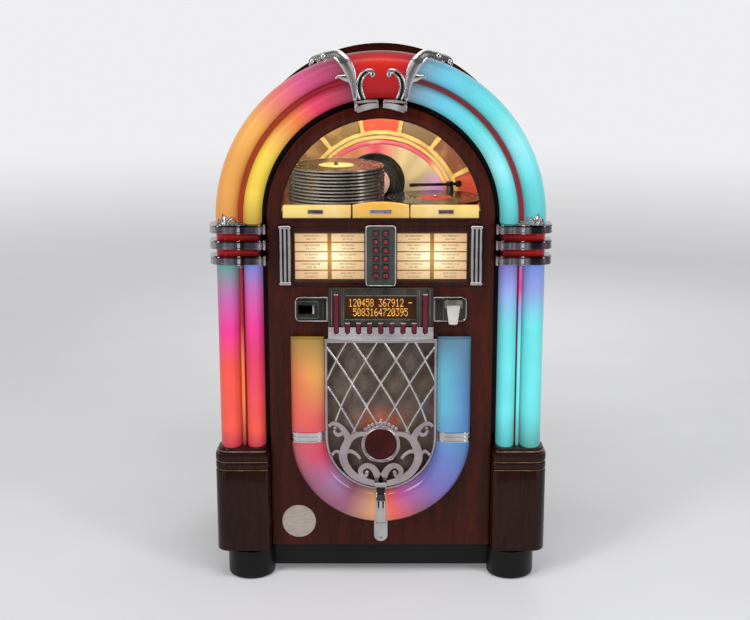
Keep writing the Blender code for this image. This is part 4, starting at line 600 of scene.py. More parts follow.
backing = lamp_lit("relief backing", ("8a6a44", "b39a68", "cdb684"), 11, 0.5)
bm = cut_board([circle(centre, FRIEZE_OUT + 3 * MM, 0, 180, ARCH_STEPS)], relief_face, relief_back)
build("relief_backing", bm, backing, "cabinet", "scenic_relief")

for number, (inside, outside, tint) in enumerate(RIDGES):
    ridge = lamp_lit(f"relief ridge {number}", (tint, tint, "e8b880"), 9, 0.6)
    bm = cut_board([band(inside, outside, 0, 180, 120)], relief_face - RIDGE_RISE, relief_face, 2.6 * MM)
    build(f"relief_ridge_{number}", bm, ridge, "cabinet", "scenic_relief")

gilt = lamp_lit("relief frame", ("b98a48", "e0b468", "f6dc94"), 14, 0.56)
openings = []
edge = math.degrees(FRAME_BAR / 2 / FRIEZE_IN)
for i in range(SECTORS):
    start, end = 180 * i / SECTORS + edge, 180 * (i + 1) / SECTORS - edge
    openings.append(band(FRIEZE_IN + FRAME_BAR, FRIEZE_OUT - FRAME_BAR, start, end, 10))
    tint = PANEL_COLOURS[i]
    glass_tint = lamp_lit(f"relief panel {i}", (tint, tint, "c89a68"), 13, 0.42)
    bm = cut_board([openings[-1]], relief_face - PANEL_RISE, relief_face - 0.3 * MM, 0.8 * MM)
    build(f"relief_panel_{i}", bm, glass_tint, "cabinet", "scenic_relief")
frieze = [band(FRIEZE_IN, FRIEZE_OUT, 0, 180, ARCH_STEPS)] + openings
bm = cut_board(frieze, relief_face - FRAME_RISE, relief_face, RELIEF_EASE, 5)
build("relief_frame", bm, gilt, "cabinet", "scenic_relief")


# Record magazine: eleven black records in thin bright trays on one column, which a geared
# drive on the shelf turns. The top record has a cream label.
RECORD_SIDES = 160
RECORD_COUNT = 11
RECORD_PITCH = 9.7 * MM
RECORD_THICK = 2.2 * MM
LABEL_RADIUS = 50 * MM
GROOVE_PITCH, TRACK_PITCH = 1.1 * MM, 13 * MM
FIRST_RECORD = 1074 * MM
RECORD_BORE = 9 * MM
SCREWS = 6  # that hold the drive


def radius_from(finish, centre, letters):
    """How far a spot is from an axis, given the axis's two coordinates."""
    total = 0.0
    for value, letter in zip(centre, letters):
        away = finish.maths("SUBTRACT", finish.axis(letter), value)
        total = finish.maths("ADD", total, finish.maths("MULTIPLY", away, away))
    return finish.maths("SQRT", total)


def vinyl_finish(name, centre, letters):
    """Black vinyl, grooved round an axis."""
    vinyl = Finish(name, rough=0.2, coat=0.4)
    away = radius_from(vinyl, centre, letters)
    turns = vinyl.maths("SINE", vinyl.maths("MULTIPLY", away, 2 * math.pi / GROOVE_PITCH))
    wide = vinyl.maths("SINE", vinyl.maths("MULTIPLY", away, 2 * math.pi / TRACK_PITCH))
    vinyl.tone(20, "070708", "121215")
    vinyl.to("Roughness", vinyl.spread(wide, -1, 1, 0.16, 0.3))
    vinyl.bump(turns, 0.05 * MM, 0.45)
    return vinyl


def label_finish(name, centre, letters, inner, outer, glow):
    """A paper label with a ring of another colour, with a little glow painted on for the light of the lamps
    above it.
    """
    paper = Finish(name, rough=0.6)
    away = radius_from(paper, centre, letters)
    share = paper.spread(away, 0, LABEL_RADIUS)
    rings = (inner, inner, outer, inner, outer, inner)
    colour = paper.ramp(share, list(zip((0, 0.38, 0.42, 0.8, 0.86, 1), rings)))
    worn = paper.mix(paper.spread(paper.noise(120), 0.4, 0.8, 0, 0.25), colour, "5a4030")
    paper.lit(worn, glow)
    paper.bump(900, 0.03 * MM, 0.3)
    return paper


def washer(bm, inner, outer, low, high, centre, axis="Z"):
    """A flat ring, such as a record's paper label."""
    shape = [(inner, low), (outer, low), (outer, high), (inner, high), (inner, low)]
    turn(bm, shape, RECORD_SIDES, centre, axis)


def profile(points, base):
    """An outline given as (radius, height over the base), in millimetres."""
    return [(radius * MM, base + height * MM) for radius, height in points]


def record(bm, centre, radius, bore, thick, axis="Z"):
    """A pressed record: a thicker label and rim, and a thin grooved face between them."""
    half, rim = thick / 2, thick * 0.28
    face = half - 0.35 * MM
    shape = [(bore, -half), (LABEL_RADIUS, -half), (LABEL_RADIUS + 2 * MM, -face)]
    shape += [(radius - 4 * MM, -face), (radius - 2 * MM, -half), (radius - rim, -half),
              (radius, -half + rim)]
    shape += [(a, -b) for a, b in reversed(shape)]
    turn(bm, shape + shape[:1], RECORD_SIDES, centre, axis)


low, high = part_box("record_magazine")
stack = Vector(((low.x + high.x) / 2, (low.y + high.y) / 2, 0))
stack_radius = (high.x - low.x) / 2
vinyl = vinyl_finish("stacked vinyl", stack[:2], "XY")
bm = bmesh.new()
for i in range(RECORD_COUNT):
    level = FIRST_RECORD + i * RECORD_PITCH + RECORD_THICK / 2
    record(bm, stack + Vector((0, 0, level)), stack_radius - 1.5 * MM, RECORD_BORE, RECORD_THICK)
build("magazine_records", bm, vinyl, "magazine", "record_magazine", sharp=50)

plate = Finish("bright plate", rough=0.16, metal=1.0)
haze = plate.noise(35, detail=5.0)
plate.tone(haze, "b9b4b2", "dcd9d8")
plate.wear(haze, 0.1, 0.2)
plate.bump(1500, 0.01 * MM, 0.2)
# The tray edges carry painted reflections, light and dark stripes across the stack, and a painted glow.
tray = Finish("tray edge with painted glow and reflections", rough=0.3, metal=0.5)
across = tray.spread(tray.axis("X"), stack.x - stack_radius, stack.x + stack_radius)
shade = tray.ramp(across, ((0.0, "4a4038"), (0.1, "8f8578"), (0.3, "b9b0a4"), (0.45, "a39a90"),
                           (0.62, "6e655d"), (0.72, "7c736c"), (0.76, "d6cfc6"), (0.8, "7a716a"),
                           (0.92, "4e443e"), (1.0, "241c18")))
tray.lit(shade, 0.62, 0.6)
tray.wear(90, 0.2, 0.34)
bm = bmesh.new()
for i in range(RECORD_COUNT):
    under = FIRST_RECORD + i * RECORD_PITCH - 0.15 * MM
    edge = [(stack_radius - 16 * MM, under - 1.1 * MM), (stack_radius - 0.4 * MM, under - 1.1 * MM)]
    edge += [(stack_radius, under - 0.5 * MM), (stack_radius, under + 3 * MM)]
    edge += [(stack_radius - 0.7 * MM, under + 3 * MM), (stack_radius - 0.7 * MM, under), (edge[0][0], under)]
    turn(bm, edge + edge[:1], RECORD_SIDES, stack)
build("magazine_trays", bm, tray, "magazine", "record_magazine")
column = profile(((0, 0), (72, 0), (72, 6), (48, 9)), low.z)
column += profile(((48, -12), (5.5, -10), (5.5, -2), (3, 0), (0, 0)), high.z)
dark_metal = Finish("dark zinc plate", rough=0.38, metal=0.85)
dark_metal.tone(dark_metal.noise(30, detail=6.0), "4a4a4c", "6b6a69")
dark_metal.bump(700, 0.04 * MM, 0.4)
bm = bmesh.new()
turn(bm, column, 72, stack)
build("magazine_column", bm, dark_metal, "magazine", "record_magazine")
top_face = FIRST_RECORD + (RECORD_COUNT - 1) * RECORD_PITCH + RECORD_THICK
bm = bmesh.new()
washer(bm, RECORD_BORE + 0.5 * MM, LABEL_RADIUS, top_face, top_face + 0.15 * MM, stack)
cream_label = label_finish("cream label", stack[:2], "XY", "e8cf8c", "d2ac66", 0.5)
build("top_label", bm, cream_label, "magazine", "record_magazine")

low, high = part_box("magazine_drive")
bm = bmesh.new()
foot, wall = (high.x - low.x) / 2, 60 * MM
flange = low.z + 6 * MM
shape = [(0, low.z), (foot, low.z), (foot, flange), (wall, flange), (wall, high.z), (0, high.z)]
turn(bm, eased(shape, {2: 1.5 * MM, 4: 3 * MM}), 96, stack)
for i in range(SCREWS):
    bearing = math.radians(360 / SCREWS * i + 20)
    spot = stack + Vector((math.cos(bearing), math.sin(bearing), 0)) * (foot + wall) / 2
    turn(bm, profile(((0, 9), (3.2, 9), (4, 8), (4, 5), (0, 5)), low.z), 6, spot)
grey_paint = Finish("grey hammered paint", rough=0.42, metal=0.3, coat=0.2)
dimples = grey_paint.noise(380, detail=1.0)
grey_paint.tone(grey_paint.noise(20, detail=5.0), "3d3f43", "585b60")
grey_paint.wear(dimples, 0.32, 0.5)
grey_paint.bump(dimples, 0.12 * MM, 0.5)
build("drive_housing", bm, grey_paint, "cabinet", "magazine_drive")


# Upright player: a seven-inch record clamped on a level spindle, with a bright nose in
# front and a grey motor stand behind it.
SINGLE_BORE, SINGLE_LABEL = 19 * MM, 43 * MM
low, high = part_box("playing_record")
upright = (low + high) / 2
disc = (high.x - low.x) / 2
spindle = (upright.x, 0, upright.z)
seven = vinyl_finish("single vinyl", (upright.x, upright.z), "XZ")
bm = bmesh.new()
record(bm, upright, disc, SINGLE_BORE + 0.2 * MM, high.y - low.y, "Y")
build("single_record", bm, seven, "upright_record", "playing_record", sharp=50)
bm = bmesh.new()
washer(bm, SINGLE_BORE + 1 * MM, SINGLE_LABEL, low.y - 0.12 * MM, low.y + 0.02 * MM, spindle, "Y")
rose_label = label_finish("rose label", (upright.x, upright.z), "XZ", "a8898a", "c9a9a0", 0.3)
build("single_label", bm, rose_label, "upright_record", "playing_record")
low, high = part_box("player_clamp")
bm = bmesh.new()
face = upright.y + 1.2 * MM
nose = profile(((0, 0), (5, 0.4), (11, 2.5), (18, 5)), low.y)
nose += profile(((18.6, 0), (40, 0), (40, 4), (6, 4)), face) + profile(((6, 0), (0, 0)), high.y)
turn(bm, nose, 96, spindle, "Y")
build("clamp_nose", bm, plate, "upright_record", "player_clamp")
keep("player_stand", grey_paint)


# Deck: a platter with a twelve-inch record on a low painted plinth, and a dark tone arm
# that swings on a post behind it.
DECK_TOP = 1062 * MM
DECK_CORNER = 26 * MM
ARM_POST = Vector((205 * MM, 106 * MM, 0))
low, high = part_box("deck_base")
platter_low, platter_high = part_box("deck_platter")
hub = Vector(((platter_low.x + platter_high.x) / 2, (platter_low.y + platter_high.y) / 2, 0))
bm = cut_board([oblong(low.x, high.x, -high.y, -low.y, DECK_CORNER, 12)], 0, DECK_TOP - low.z, 3 * MM)
flip = Matrix(((1, 0, 0, 0), (0, 0, -1, 0), (0, 1, 0, 0), (0, 0, 0, 1)))
bmesh.ops.transform(bm, matrix=Matrix.Translation((0, 0, low.z)) @ flip, verts=bm.verts)
champagne = Finish("champagne enamel", rough=0.3, coat=0.5)
champagne.tone(12, "8f7f55", "a5946a")
champagne.wear(240, 0.24, 0.36)
build("deck_plinth", bm, champagne, "cabinet", "deck_base")
bm = bmesh.new()
shape = profile(((0, 0), (15, 0), (15, 4), (11, 6)), DECK_TOP) + profile(((11, 0), (0, 0)), high.z)
turn(bm, eased(shape, {2: 1.5 * MM, 4: 1.5 * MM}), 48, ARM_POST)
build("arm_post", bm, dark_metal, "cabinet", "deck_base")
low, high = platter_low, platter_high
rim = (high.x - low.x) / 2
bm = bmesh.new()
shape = [(0, low.z), (rim - 4 * MM, low.z), (rim, low.z + 4 * MM), (rim, low.z + 11 * MM)]
shape += profile(((3.6, 11),), low.z) + profile(((3.6, -2), (2, 0), (0, 0)), high.z)
turn(bm, eased(shape, {2: 1.5 * MM, 3: 1.5 * MM}), RECORD_SIDES, hub)
build("platter", bm, plate, "platter", "deck_platter")
low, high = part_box("deck_record")
disc_finish = vinyl_finish("deck vinyl", hub[:2], "XY")
bm = bmesh.new()
record(bm, hub + Vector((0, 0, (low.z + high.z) / 2)), (high.x - low.x) / 2, 4 * MM, high.z - low.z)
build("deck_disc", bm, disc_finish, "platter", "deck_record", sharp=50)
bm = bmesh.new()
washer(bm, 4.2 * MM, LABEL_RADIUS, high.z, high.z + 0.12 * MM, hub)
red_label = label_finish("red label", hub[:2], "XY", "7a1226", "b8504e", 0.12)
build("deck_label", bm, red_label, "platter", "deck_record")

ARM_HEADING = 190  # degrees from the right, as the arm rests
ARM_REACH, ARM_TAIL = 110 * MM, 26 * MM
ARM_TUBE = 4.4 * MM
ARM_LEVEL = 1086.3 * MM
ARM_AXIS = 6 * MM  # the tube's height over that level
ARM_BOW = 2.5 * MM
ARM_STEPS = 14


def tube(points, radius, resolution=4):
    """A round bar through the points."""
    curve = bpy.data.curves.new("bar", "CURVE")
    curve.dimensions = "3D"
    spline = curve.splines.new("POLY")
    spline.points.add(len(points) - 1)
    for spot, point in zip(spline.points, points):
        spot.co = (*point, 1)
    curve.bevel_depth = radius
    curve.bevel_resolution = resolution
    curve.use_fill_caps = True
    return solid_from(curve)


points = []
for i in range(ARM_STEPS + 1):
    share = i / ARM_STEPS
    points.append(((ARM_REACH + ARM_TAIL) * share - ARM_TAIL, ARM_BOW * math.sin(math.pi * share), ARM_AXIS))
bm = tube(points, ARM_TUBE)
peg(bm, 10 * MM, 0, 14 * MM, (1 * MM, 2 * MM), 48)
peg(bm, 9 * MM, -34 * MM, -18 * MM, (2 * MM, 2 * MM), 48, (0, 0, ARM_AXIS), "X")
block(bm, (ARM_REACH - 12 * MM, -6.5 * MM, 1.2 * MM), (ARM_REACH + 12 * MM, 6.5 * MM, 10.5 * MM), 1.5 * MM)
pivot = ARM_POST + Vector((0, 0, ARM_LEVEL))
swing = Matrix.Translation(pivot) @ Matrix.Rotation(math.radians(ARM_HEADING), 4, "Z")
bmesh.ops.transform(bm, matrix=swing, verts=bm.verts)
arm_black = Finish("black anodised arm", rough=0.3, metal=0.6)
arm_black.tone(50, "1c0f0c", "35201a")
arm_black.wear(200, 0.24, 0.4)
build("arm_tube", bm, arm_black, "arm", "tone_arm")


# Amplifier: a folded steel chassis in black crinkle paint, screwed to the cabinet floor,
# with cooling fins along its top.
amp_black = Finish("black crinkle paint", rough=0.55)
crinkle = amp_black.noise(260, detail=2.0, rough=0.4)
amp_black.tone(crinkle, "0d0d0e", "1b1b1d", (0.35, 0.65))
amp_black.bump(crinkle, 0.25 * MM, 0.6)
keep("amplifier", amp_black)


# Door: a black backing board behind a mahogany panel, both arched, with openings cut for
# the window, the title rack, the coin slot and the grille. The panel is lacquered.
WINDOW_RADIUS = 277 * MM
WINDOW_LOW = 1057 * MM
GLASS_RADIUS = 290 * MM
GLASS_LOW = 1040 * MM
RACK = (-243 * MM, 243 * MM, 876 * MM, 1021 * MM)
SLOT = (-232 * MM, -191 * MM, 785.5 * MM, 812 * MM)
GRILLE_HALF = 160 * MM
GRILLE_CENTRE = 426 * MM
GRILLE_TOP = 716 * MM
PANEL_EASE = 1.6 * MM
# Rails above and below the title rack: (level, height).
RACK_RAILS = ((1046 * MM, 5 * MM), (1030 * MM, 6 * MM), (864 * MM, 4 * MM))


def window_shape(radius, bottom):
    """A round-topped window that stands on a level sill."""
    lift = math.degrees(math.asin(max(bottom - ARCH, 0) / radius))
    top = circle((0, ARCH), radius, lift, 180 - lift, ARCH_STEPS)
    return top + ([(-radius, bottom), (radius, bottom)] if bottom < ARCH else [])


def grille_shape(half, top):
    """A square-topped opening with a half-round foot."""
    return circle((0, GRILLE_CENTRE), half, 180, 360, 72) + [(half, top), (-half, top)]


def hang(name, bm, finish, node, sharp=32):
    """Builds a piece of the door, which swings with it."""
    return build(name, bm, finish, "front_door", node, sharp)


low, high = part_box("door_frame")
cuts = [window_shape(GLASS_RADIUS, GLASS_LOW), oblong(*RACK), grille_shape(GRILLE_HALF, GRILLE_TOP),
        oblong(*SLOT)]
bm = cut_board([arched(high.x, low.z)] + cuts, low.y, high.y, 1.2 * MM)
dark_stain = veneer("dark stained board", ("0c0504", "140806", "1b0b07", "240f0a"), None, 0.1, 0.45, 0.05)
hang("backing_board", bm, dark_stain, "door_frame")

low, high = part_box("front_panel")
panel_front = low.y
cuts[0] = window_shape(WINDOW_RADIUS, WINDOW_LOW)
mahogany = veneer("red mahogany", ("230b06", "3a1208", "4b190c", "622413"), None, 0.14, 0.3, 0.1)
bm = cut_board([arched(high.x, low.z)] + cuts, low.y, high.y, PANEL_EASE)
hang("mahogany_panel", bm, mahogany, "front_panel")

clear = Finish("window glass", rough=0.02)
clear.shader.inputs["Transmission Weight"].default_value = 1.0
clear.shader.inputs["IOR"].default_value = 1.1
smear = clear.noise(6, detail=3.0)
clear.tone(smear, "f4f8f6", "ffffff")
clear.to("Roughness", clear.spread(smear, 0.4, 0.8, 0.0, 0.03))
low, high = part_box("window_glass")
bm = cut_board([window_shape(GLASS_RADIUS - 0.5 * MM, GLASS_LOW + 0.5 * MM)], low.y, high.y, 0.6 * MM)
pane = hang("pane", bm, clear, "window_glass")
pane.visible_shadow = False

# A thin dark bead runs round the window, and dark rails frame the title rack.
BEAD = 3 * MM
dark_bead = veneer("dark bead", ("120806", "1f0d08", "2a120b", "33170e"), None, 0.3, 0.25)
bead = [window_shape(WINDOW_RADIUS + BEAD, WINDOW_LOW - BEAD), window_shape(WINDOW_RADIUS, WINDOW_LOW)]
bm = cut_board(bead, panel_front - 2.2 * MM, panel_front + 1 * MM, 1 * MM)
hang("window_bead", bm, dark_bead, "front_panel")
bm = bmesh.new()
for level, tall in RACK_RAILS:
    block(bm, (RACK[0], panel_front - 2.5 * MM, level), (RACK[1], panel_front + 1 * MM, level + tall),
          1.2 * MM)
hang("rack_rails", bm, dark_bead, "front_panel")


# Cover along the window's lower edge: three cream plastic mouldings, lit from inside,
# each with a small dark plaque. The middle one has an arched top.
SILL_EASE = 2 * MM
SILL_GAP = 5 * MM
WING_TOP = 1092 * MM
MIDDLE_HALF = 78 * MM
WING_PLAQUE = (44 * MM, 13 * MM)
MIDDLE_PLAQUE = (62 * MM, 12 * MM)
PLAQUE_X = 181 * MM
PLAQUE_EDGE = 2 * MM
low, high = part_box("sill_light_cover")
sill_half, sill_low, sill_front, sill_back = high.x, low.z, low.y, high.y
cream = Finish("lit cream plastic", rough=0.3, coat=0.4)
glow_place = cream.spread(cream.maths("ABSOLUTE", cream.axis("X")), 0, sill_half)
cloud = cream.noise(9, detail=3.0)
warm = cream.ramp(cream.maths("MULTIPLY_ADD", cloud, 0.35, glow_place),
                  ((0.12, "dba032"), (0.42, "deae52"), (0.62, "e6c884"), (0.9, "e3c070"), (1.0, "e8cc74")))
fall = cream.spread(cream.axis("Z"), sill_low, high.z, 0.4, 0.66)
cream.lit(warm, fall, 0.35)
outlines = []
for side in (-1, 1):
    edges = sorted((side * (MIDDLE_HALF + SILL_GAP), side * sill_half))
    outlines.append(oblong(edges[0], edges[1], sill_low, WING_TOP, 3 * MM))
rise = high.z - WING_TOP
arched_top = [(-MIDDLE_HALF, sill_low), (MIDDLE_HALF, sill_low)]
for i in range(25):
    share = 1 - i / 12
    arched_top.append((share * MIDDLE_HALF, WING_TOP + rise * (1 - share**2)))
outlines.append(arched_top)
for name, outline in zip(("sill_wing_left", "sill_wing_right", "sill_middle"), outlines):
    bm = cut_board([outline], sill_front, sill_back, SILL_EASE)
    hang(name, bm, cream, "sill_light_cover")
plaque = Finish("dark plaque", rough=0.3, metal=0.6)
plaque.tone(60, "4b3327", "7d6553")
violet = Finish("violet plaque", rough=0.3, coat=0.5)
violet.tone(90, "4a3f6b", "8f86b4", (0.35, 0.65))
level = (sill_low + WING_TOP) / 2
for name, x, (wide, tall), tint in (
    ("plaque_left", -PLAQUE_X, WING_PLAQUE, plaque),
    ("plaque_right", PLAQUE_X, WING_PLAQUE, plaque),
    ("plaque_middle", 0, MIDDLE_PLAQUE, violet),
):
    left, right, bottom, top = x - wide / 2, x + wide / 2, level - tall / 2, level + tall / 2
    outline = oblong(left, right, bottom, top, PLAQUE_EDGE)
    inside = oblong(left + PLAQUE_EDGE, right - PLAQUE_EDGE, bottom + PLAQUE_EDGE, top - PLAQUE_EDGE)
    bm = cut_board([outline], sill_front - 1.2 * MM, sill_front + 0.5 * MM, 0.5 * MM)
    hang(name, bm, tint, "sill_light_cover")
    bm = cut_board([outline, inside], sill_front - 1.8 * MM, sill_front - 0.6 * MM, 0.4 * MM)
    hang(name + "_edge", bm, plate, "sill_light_cover")


# Arch lenses: on each side two half-round tubes of milky plastic with coloured lamps in
# them, and a red strip in the groove between them. They screw on from behind.
OUTER_LOBE = (398 * MM, 459 * MM)
INNER_LOBE = (331 * MM, 383 * MM)
STRIP_LOBE = (384 * MM, 397 * MM)
INNER_DEPTH, STRIP_DEPTH = 52 * MM, 33 * MM
LENS_WALL, STRIP_WALL = 3 * MM, 1.5 * MM
CHANNEL_DEPTH = 4 * MM
RING_TOP = 1045 * MM  # of the chrome rings that the arch stands on
LENS_STEPS = 90
LOBE_STEPS, LOBE_POWER = 28, 0.85  # the round of a tube
CROWN_HALF, SEAM = 12.5, 0.15  # degrees
# The colours of the lamps behind the milky plastic.
GLOW = {
    "ochre": "b08c44", "amber": "e0984c", "gold": "f4d250", "apricot": "f4b058", "orange": "e87c44",
    "salmon": "ec7870", "coral": "ea6058", "flame": "ee5648", "cherry": "b83848", "rose": "e24064",
    "blush": "d85488", "pink": "e83890", "orchid": "c460a8", "mauve": "a47cac", "dusk": "9c5c78",
    "sand": "d89c70", "plum": "84384c", "brick": "b83820", "crimson": "a42030", "wine": "783038",
    "sea": "509c94", "teal": "54b4b8", "aqua": "6cdee2", "ice": "98ecf4", "sky": "68c4e0",
    "azure": "5488c4", "blue": "6c88d4", "lilac": "90a0e0", "violet": "7c70bc", "steel": "7c8c9c",
    "slate": "5c849c",
}
# How they change up each side of the arch: (degrees from level, colour).
ARCH_GLOW = {
    "left_outer": ((0, "amber"), (38, "apricot"), (50, "salmon"), (60, "blush"), (78, "plum")),
    "left_inner": ((-4, "ochre"), (12, "gold"), (30, "gold"), (40, "apricot"), (50, "orange"), (60, "rose"),
                   (78, "plum")),
    "left_strip": ((0, "brick"), (45, "brick"), (60, "crimson"), (78, "crimson")),
    "right_outer": ((-4, "teal"), (14, "aqua"), (30, "ice"), (44, "aqua"), (66, "sky"), (78, "steel")),
    "right_inner": ((-4, "teal"), (12, "aqua"), (24, "ice"), (44, "aqua"), (62, "sky"), (78, "steel")),
    "right_strip": ((0, "crimson"), (78, "wine")),
}
# How bright each tube is along its middle and at its edges.
ARCH_LIGHT = {"outer": (0.75, 0.44), "inner": (0.76, 0.44), "strip": (0.5, 0.42)}


def lamp_colours(finish, value, stops, unit=1):
    """The lamps' colours along a value, from (place, colour) stops."""
    first, last = stops[0][0], stops[-1][0]
    share = finish.spread(value, first * unit, last * unit)
    return finish.ramp(share, [((place - first) / (last - first), GLOW[name]) for place, name in stops])


def glowing(finish, colour, across, span, bright, edge, base=0.3, rough=0.4):
    """Milky plastic over lamps: full glow along the middle of the tube, less at its edges.
    across is how far out a spot lies, and span the tube's two edges."""
    middle, half = (span[0] + span[1]) / 2, (span[1] - span[0]) / 2
    away = finish.maths("ABSOLUTE", finish.maths("DIVIDE", finish.maths("SUBTRACT", across, middle), half))
    fade = finish.maths("POWER", away, 2.6)
    wave = finish.noise(9, detail=1.0)
    level = finish.spread(fade, 0, 1, bright, edge)
    finish.lit(colour, finish.maths("MULTIPLY", level, finish.spread(wave, 0.3, 0.7, 0.93, 1.07)), 1 - base)
    finish.wear(40, rough - 0.05, rough + 0.05)
    finish.bump(finish.noise(25, detail=2.0), 0.25 * MM, 0.12)
    return finish


def shell_profile(span, depth, back, wall, steps=LOBE_STEPS, power=1.0):
    """A half-round shell's section as (radius, y) points, outside then inside. A power
    under one squares the round a little."""
    out = []
    for inset, order in ((0, 1), (wall, -1)):
        low, high = span[0] + inset, span[1] - inset
        line = []
        for i in range(steps + 1):
            angle = math.pi * i / steps
            a = math.copysign(abs(math.cos(angle)) ** power, math.cos(angle))
            b = math.sin(angle) ** power
            line.append(((low + high) / 2 + (high - low) / 2 * a, back - (depth - inset) * b))
        out += line[::order]
    return out


def skin(bm, rings):
    """Joins closed rings of points, each to the next, and shuts both ends."""
    rings = [[bm.verts.new(point) for point in ring] for ring in rings]
    for first, second in zip(rings, rings[1:]):
        for i in range(len(first)):
            bm.faces.new((first[i - 1], first[i], second[i], second[i - 1]))
    bm.faces.new(rings[0])
    bm.faces.new(rings[-1])


def carry(bm, section, stations):
    """Carries a closed section of (radius, y) along stations of (x, z, outward x, outward z)."""
    skin(bm, [[(x + r * out_x, y, z + r * out_z) for r, y in section] for x, z, out_x, out_z in stations])


low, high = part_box("arch_lens_left")
lens_back = high.y
strip_front = lens_back - STRIP_DEPTH
lobe_fronts = {"outer": low.y, "inner": lens_back - INNER_DEPTH, "strip": strip_front}
lobe_spans = {"outer": OUTER_LOBE, "inner": INNER_LOBE, "strip": STRIP_LOBE}
# The groove's dark red is painted shade between the tubes, with a dim painted glow.
groove = Finish("dark red groove", rough=0.4)
dim_red = groove.ramp(groove.noise(40), ((0.3, "5c1216"), (0.7, "7c1a1e")))
groove.lit(dim_red, 0.4)
for side, word in SIDES:
    stations = [(0, RING_TOP + 0.5 * MM, side, 0)]
    for i in range(LENS_STEPS + 1):
        angle = math.radians((90 - CROWN_HALF - SEAM) * i / LENS_STEPS)
        stations.append((0, ARCH, side * math.cos(angle), math.sin(angle)))
    for lobe, span in lobe_spans.items():
        milky = Finish(f"{word} {lobe} lens", coat=0.06, shine=0.3)
        path, out = bent_place(milky, ARCH, 1.0)
        degrees = milky.maths("MULTIPLY", path, 180 / math.pi)
        colour = lamp_colours(milky, degrees, ARCH_GLOW[f"{word}_{lobe}"])
        glowing(milky, colour, out, span, *ARCH_LIGHT[lobe])
        bm = bmesh.new()
        thin = lobe == "strip"
        wall, power = (STRIP_WALL, 0.5) if thin else (LENS_WALL, LOBE_POWER)
        section = shell_profile(span, lens_back - lobe_fronts[lobe], lens_back, wall, power=power)
        carry(bm, section, stations)
        hang(f"arch_{lobe}_{word}", bm, milky, f"arch_lens_{word}", sharp=40)
    # The dark channel that the strip lies in, and the shadowed edges beside the tubes, in a dark red of
    # painted shade with a dim painted glow.
    bm = bmesh.new()
    edges = (OUTER_LOBE[0] + 1 * MM, INNER_LOBE[1] - 1 * MM)
    channel = [(edges[0], lens_back), (edges[0], lens_back - CHANNEL_DEPTH)]
    channel += [(edges[1], lens_back - CHANNEL_DEPTH), (edges[1], lens_back)]
    carry(bm, channel, stations)
    hang(f"arch_channel_{word}", bm, groove, f"arch_lens_{word}")


# Crown: a block of red translucent plastic over the top of the arch, moulded as a shell
# and screwed on from behind. It is brightest above its middle.
low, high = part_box("crown_lens")
crown_front = low.y
ruby = Finish("red crown", rough=0.28, coat=0.04, shine=0.1)
path, out = bent_place(ruby, ARCH, 1.0)
share = ruby.spread(out, INNER_LOBE[0], OUTER_LOBE[1])
up = ruby.ramp(share, ((0.0, "8f1d20"), (0.16, "a82326"), (0.5, "b8242a"), (0.7, "d02c24"), (0.82, "e03a28"),
                       (0.93, "b83034"), (1.0, "6e1c26")))
beside = ruby.spread(ruby.maths("ABSOLUTE", ruby.axis("X")), 20 * MM, 95 * MM)
colour = ruby.mix(ruby.maths("MULTIPLY", beside, 0.6), up, "9a2038")
ruby.lit(colour, 0.72, 0.75, "200000")
ruby.wear(40, 0.18, 0.28)
ruby.bump(20, 0.2 * MM, 0.12)
stations = []
for i in range(41):
    angle = math.radians(90 - CROWN_HALF + 2 * CROWN_HALF * i / 40)
    stations.append((0, ARCH, math.cos(angle), math.sin(angle)))
bm = bmesh.new()
span = (INNER_LOBE[0], OUTER_LOBE[1])
section = shell_profile(span, lens_back - crown_front, lens_back, LENS_WALL, 40, 0.8)
carry(bm, section, stations)
hang("crown", bm, ruby, "crown_lens", sharp=40)


# Column lenses: under each ringed cap two more tubes of milky plastic, with a thin glowing
# rod in a dark groove between them. They too screw on from behind.
ROD_RADIUS = 4.5 * MM
# How the lamps change up a column: (mm above the floor, colour).
COLUMN_GLOW = {
    "left_outer": ((400, "cherry"), (460, "flame"), (640, "flame"), (740, "pink"), (830, "orchid"),
                   (935, "sea")),
    "left_inner": ((400, "cherry"), (450, "flame"), (650, "rose"), (750, "pink"), (850, "orchid"),
                   (935, "blue")),
    "left_strip": ((400, "wine"), (520, "orange"), (660, "orange"), (760, "crimson"), (935, "wine")),
    "right_outer": ((400, "sea"), (500, "aqua"), (760, "aqua"), (860, "lilac"), (935, "blue")),
    "right_inner": ((400, "teal"), (500, "aqua"), (740, "aqua"), (860, "lilac"), (935, "violet")),
    "right_strip": ((400, "sea"), (520, "aqua"), (720, "aqua"), (800, "lilac"), (860, "pink"),
                    (935, "orchid")),
}
COLUMN_LIGHT = {"outer": (0.84, 0.38), "inner": (0.84, 0.38), "strip": (0.9, 0.6)}
low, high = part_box("column_lens_left")
for side, word in SIDES:
    stations = [(0, low.z + (high.z - low.z) * i / 12, side, 0) for i in range(13)]
    for lobe, span in lobe_spans.items():
        milky = Finish(f"{word} {lobe} column", coat=0.12, shine=0.3)
        colour = lamp_colours(milky, milky.axis("Z"), COLUMN_GLOW[f"{word}_{lobe}"], MM)
        glowing(milky, colour, milky.maths("ABSOLUTE", milky.axis("X")), span, *COLUMN_LIGHT[lobe])
        bm = bmesh.new()
        if lobe == "strip":
            middle = side * (span[0] + span[1]) / 2
            shape = [(0, low.z), (ROD_RADIUS, low.z), (ROD_RADIUS, high.z), (0, high.z)]
            turn(bm, shape, 32, (middle, strip_front + ROD_RADIUS, 0))
        else:
            depth = lens_back - lobe_fronts[lobe]
            carry(bm, shell_profile(span, depth, lens_back, LENS_WALL, power=LOBE_POWER), stations)
        hang(f"column_{lobe}_{word}", bm, milky, f"column_lens_{word}", sharp=40)
    # The same channel of painted shade runs down the column.
    bm = bmesh.new()
    carry(bm, channel, stations)
    hang(f"column_channel_{word}", bm, groove, f"column_lens_{word}")


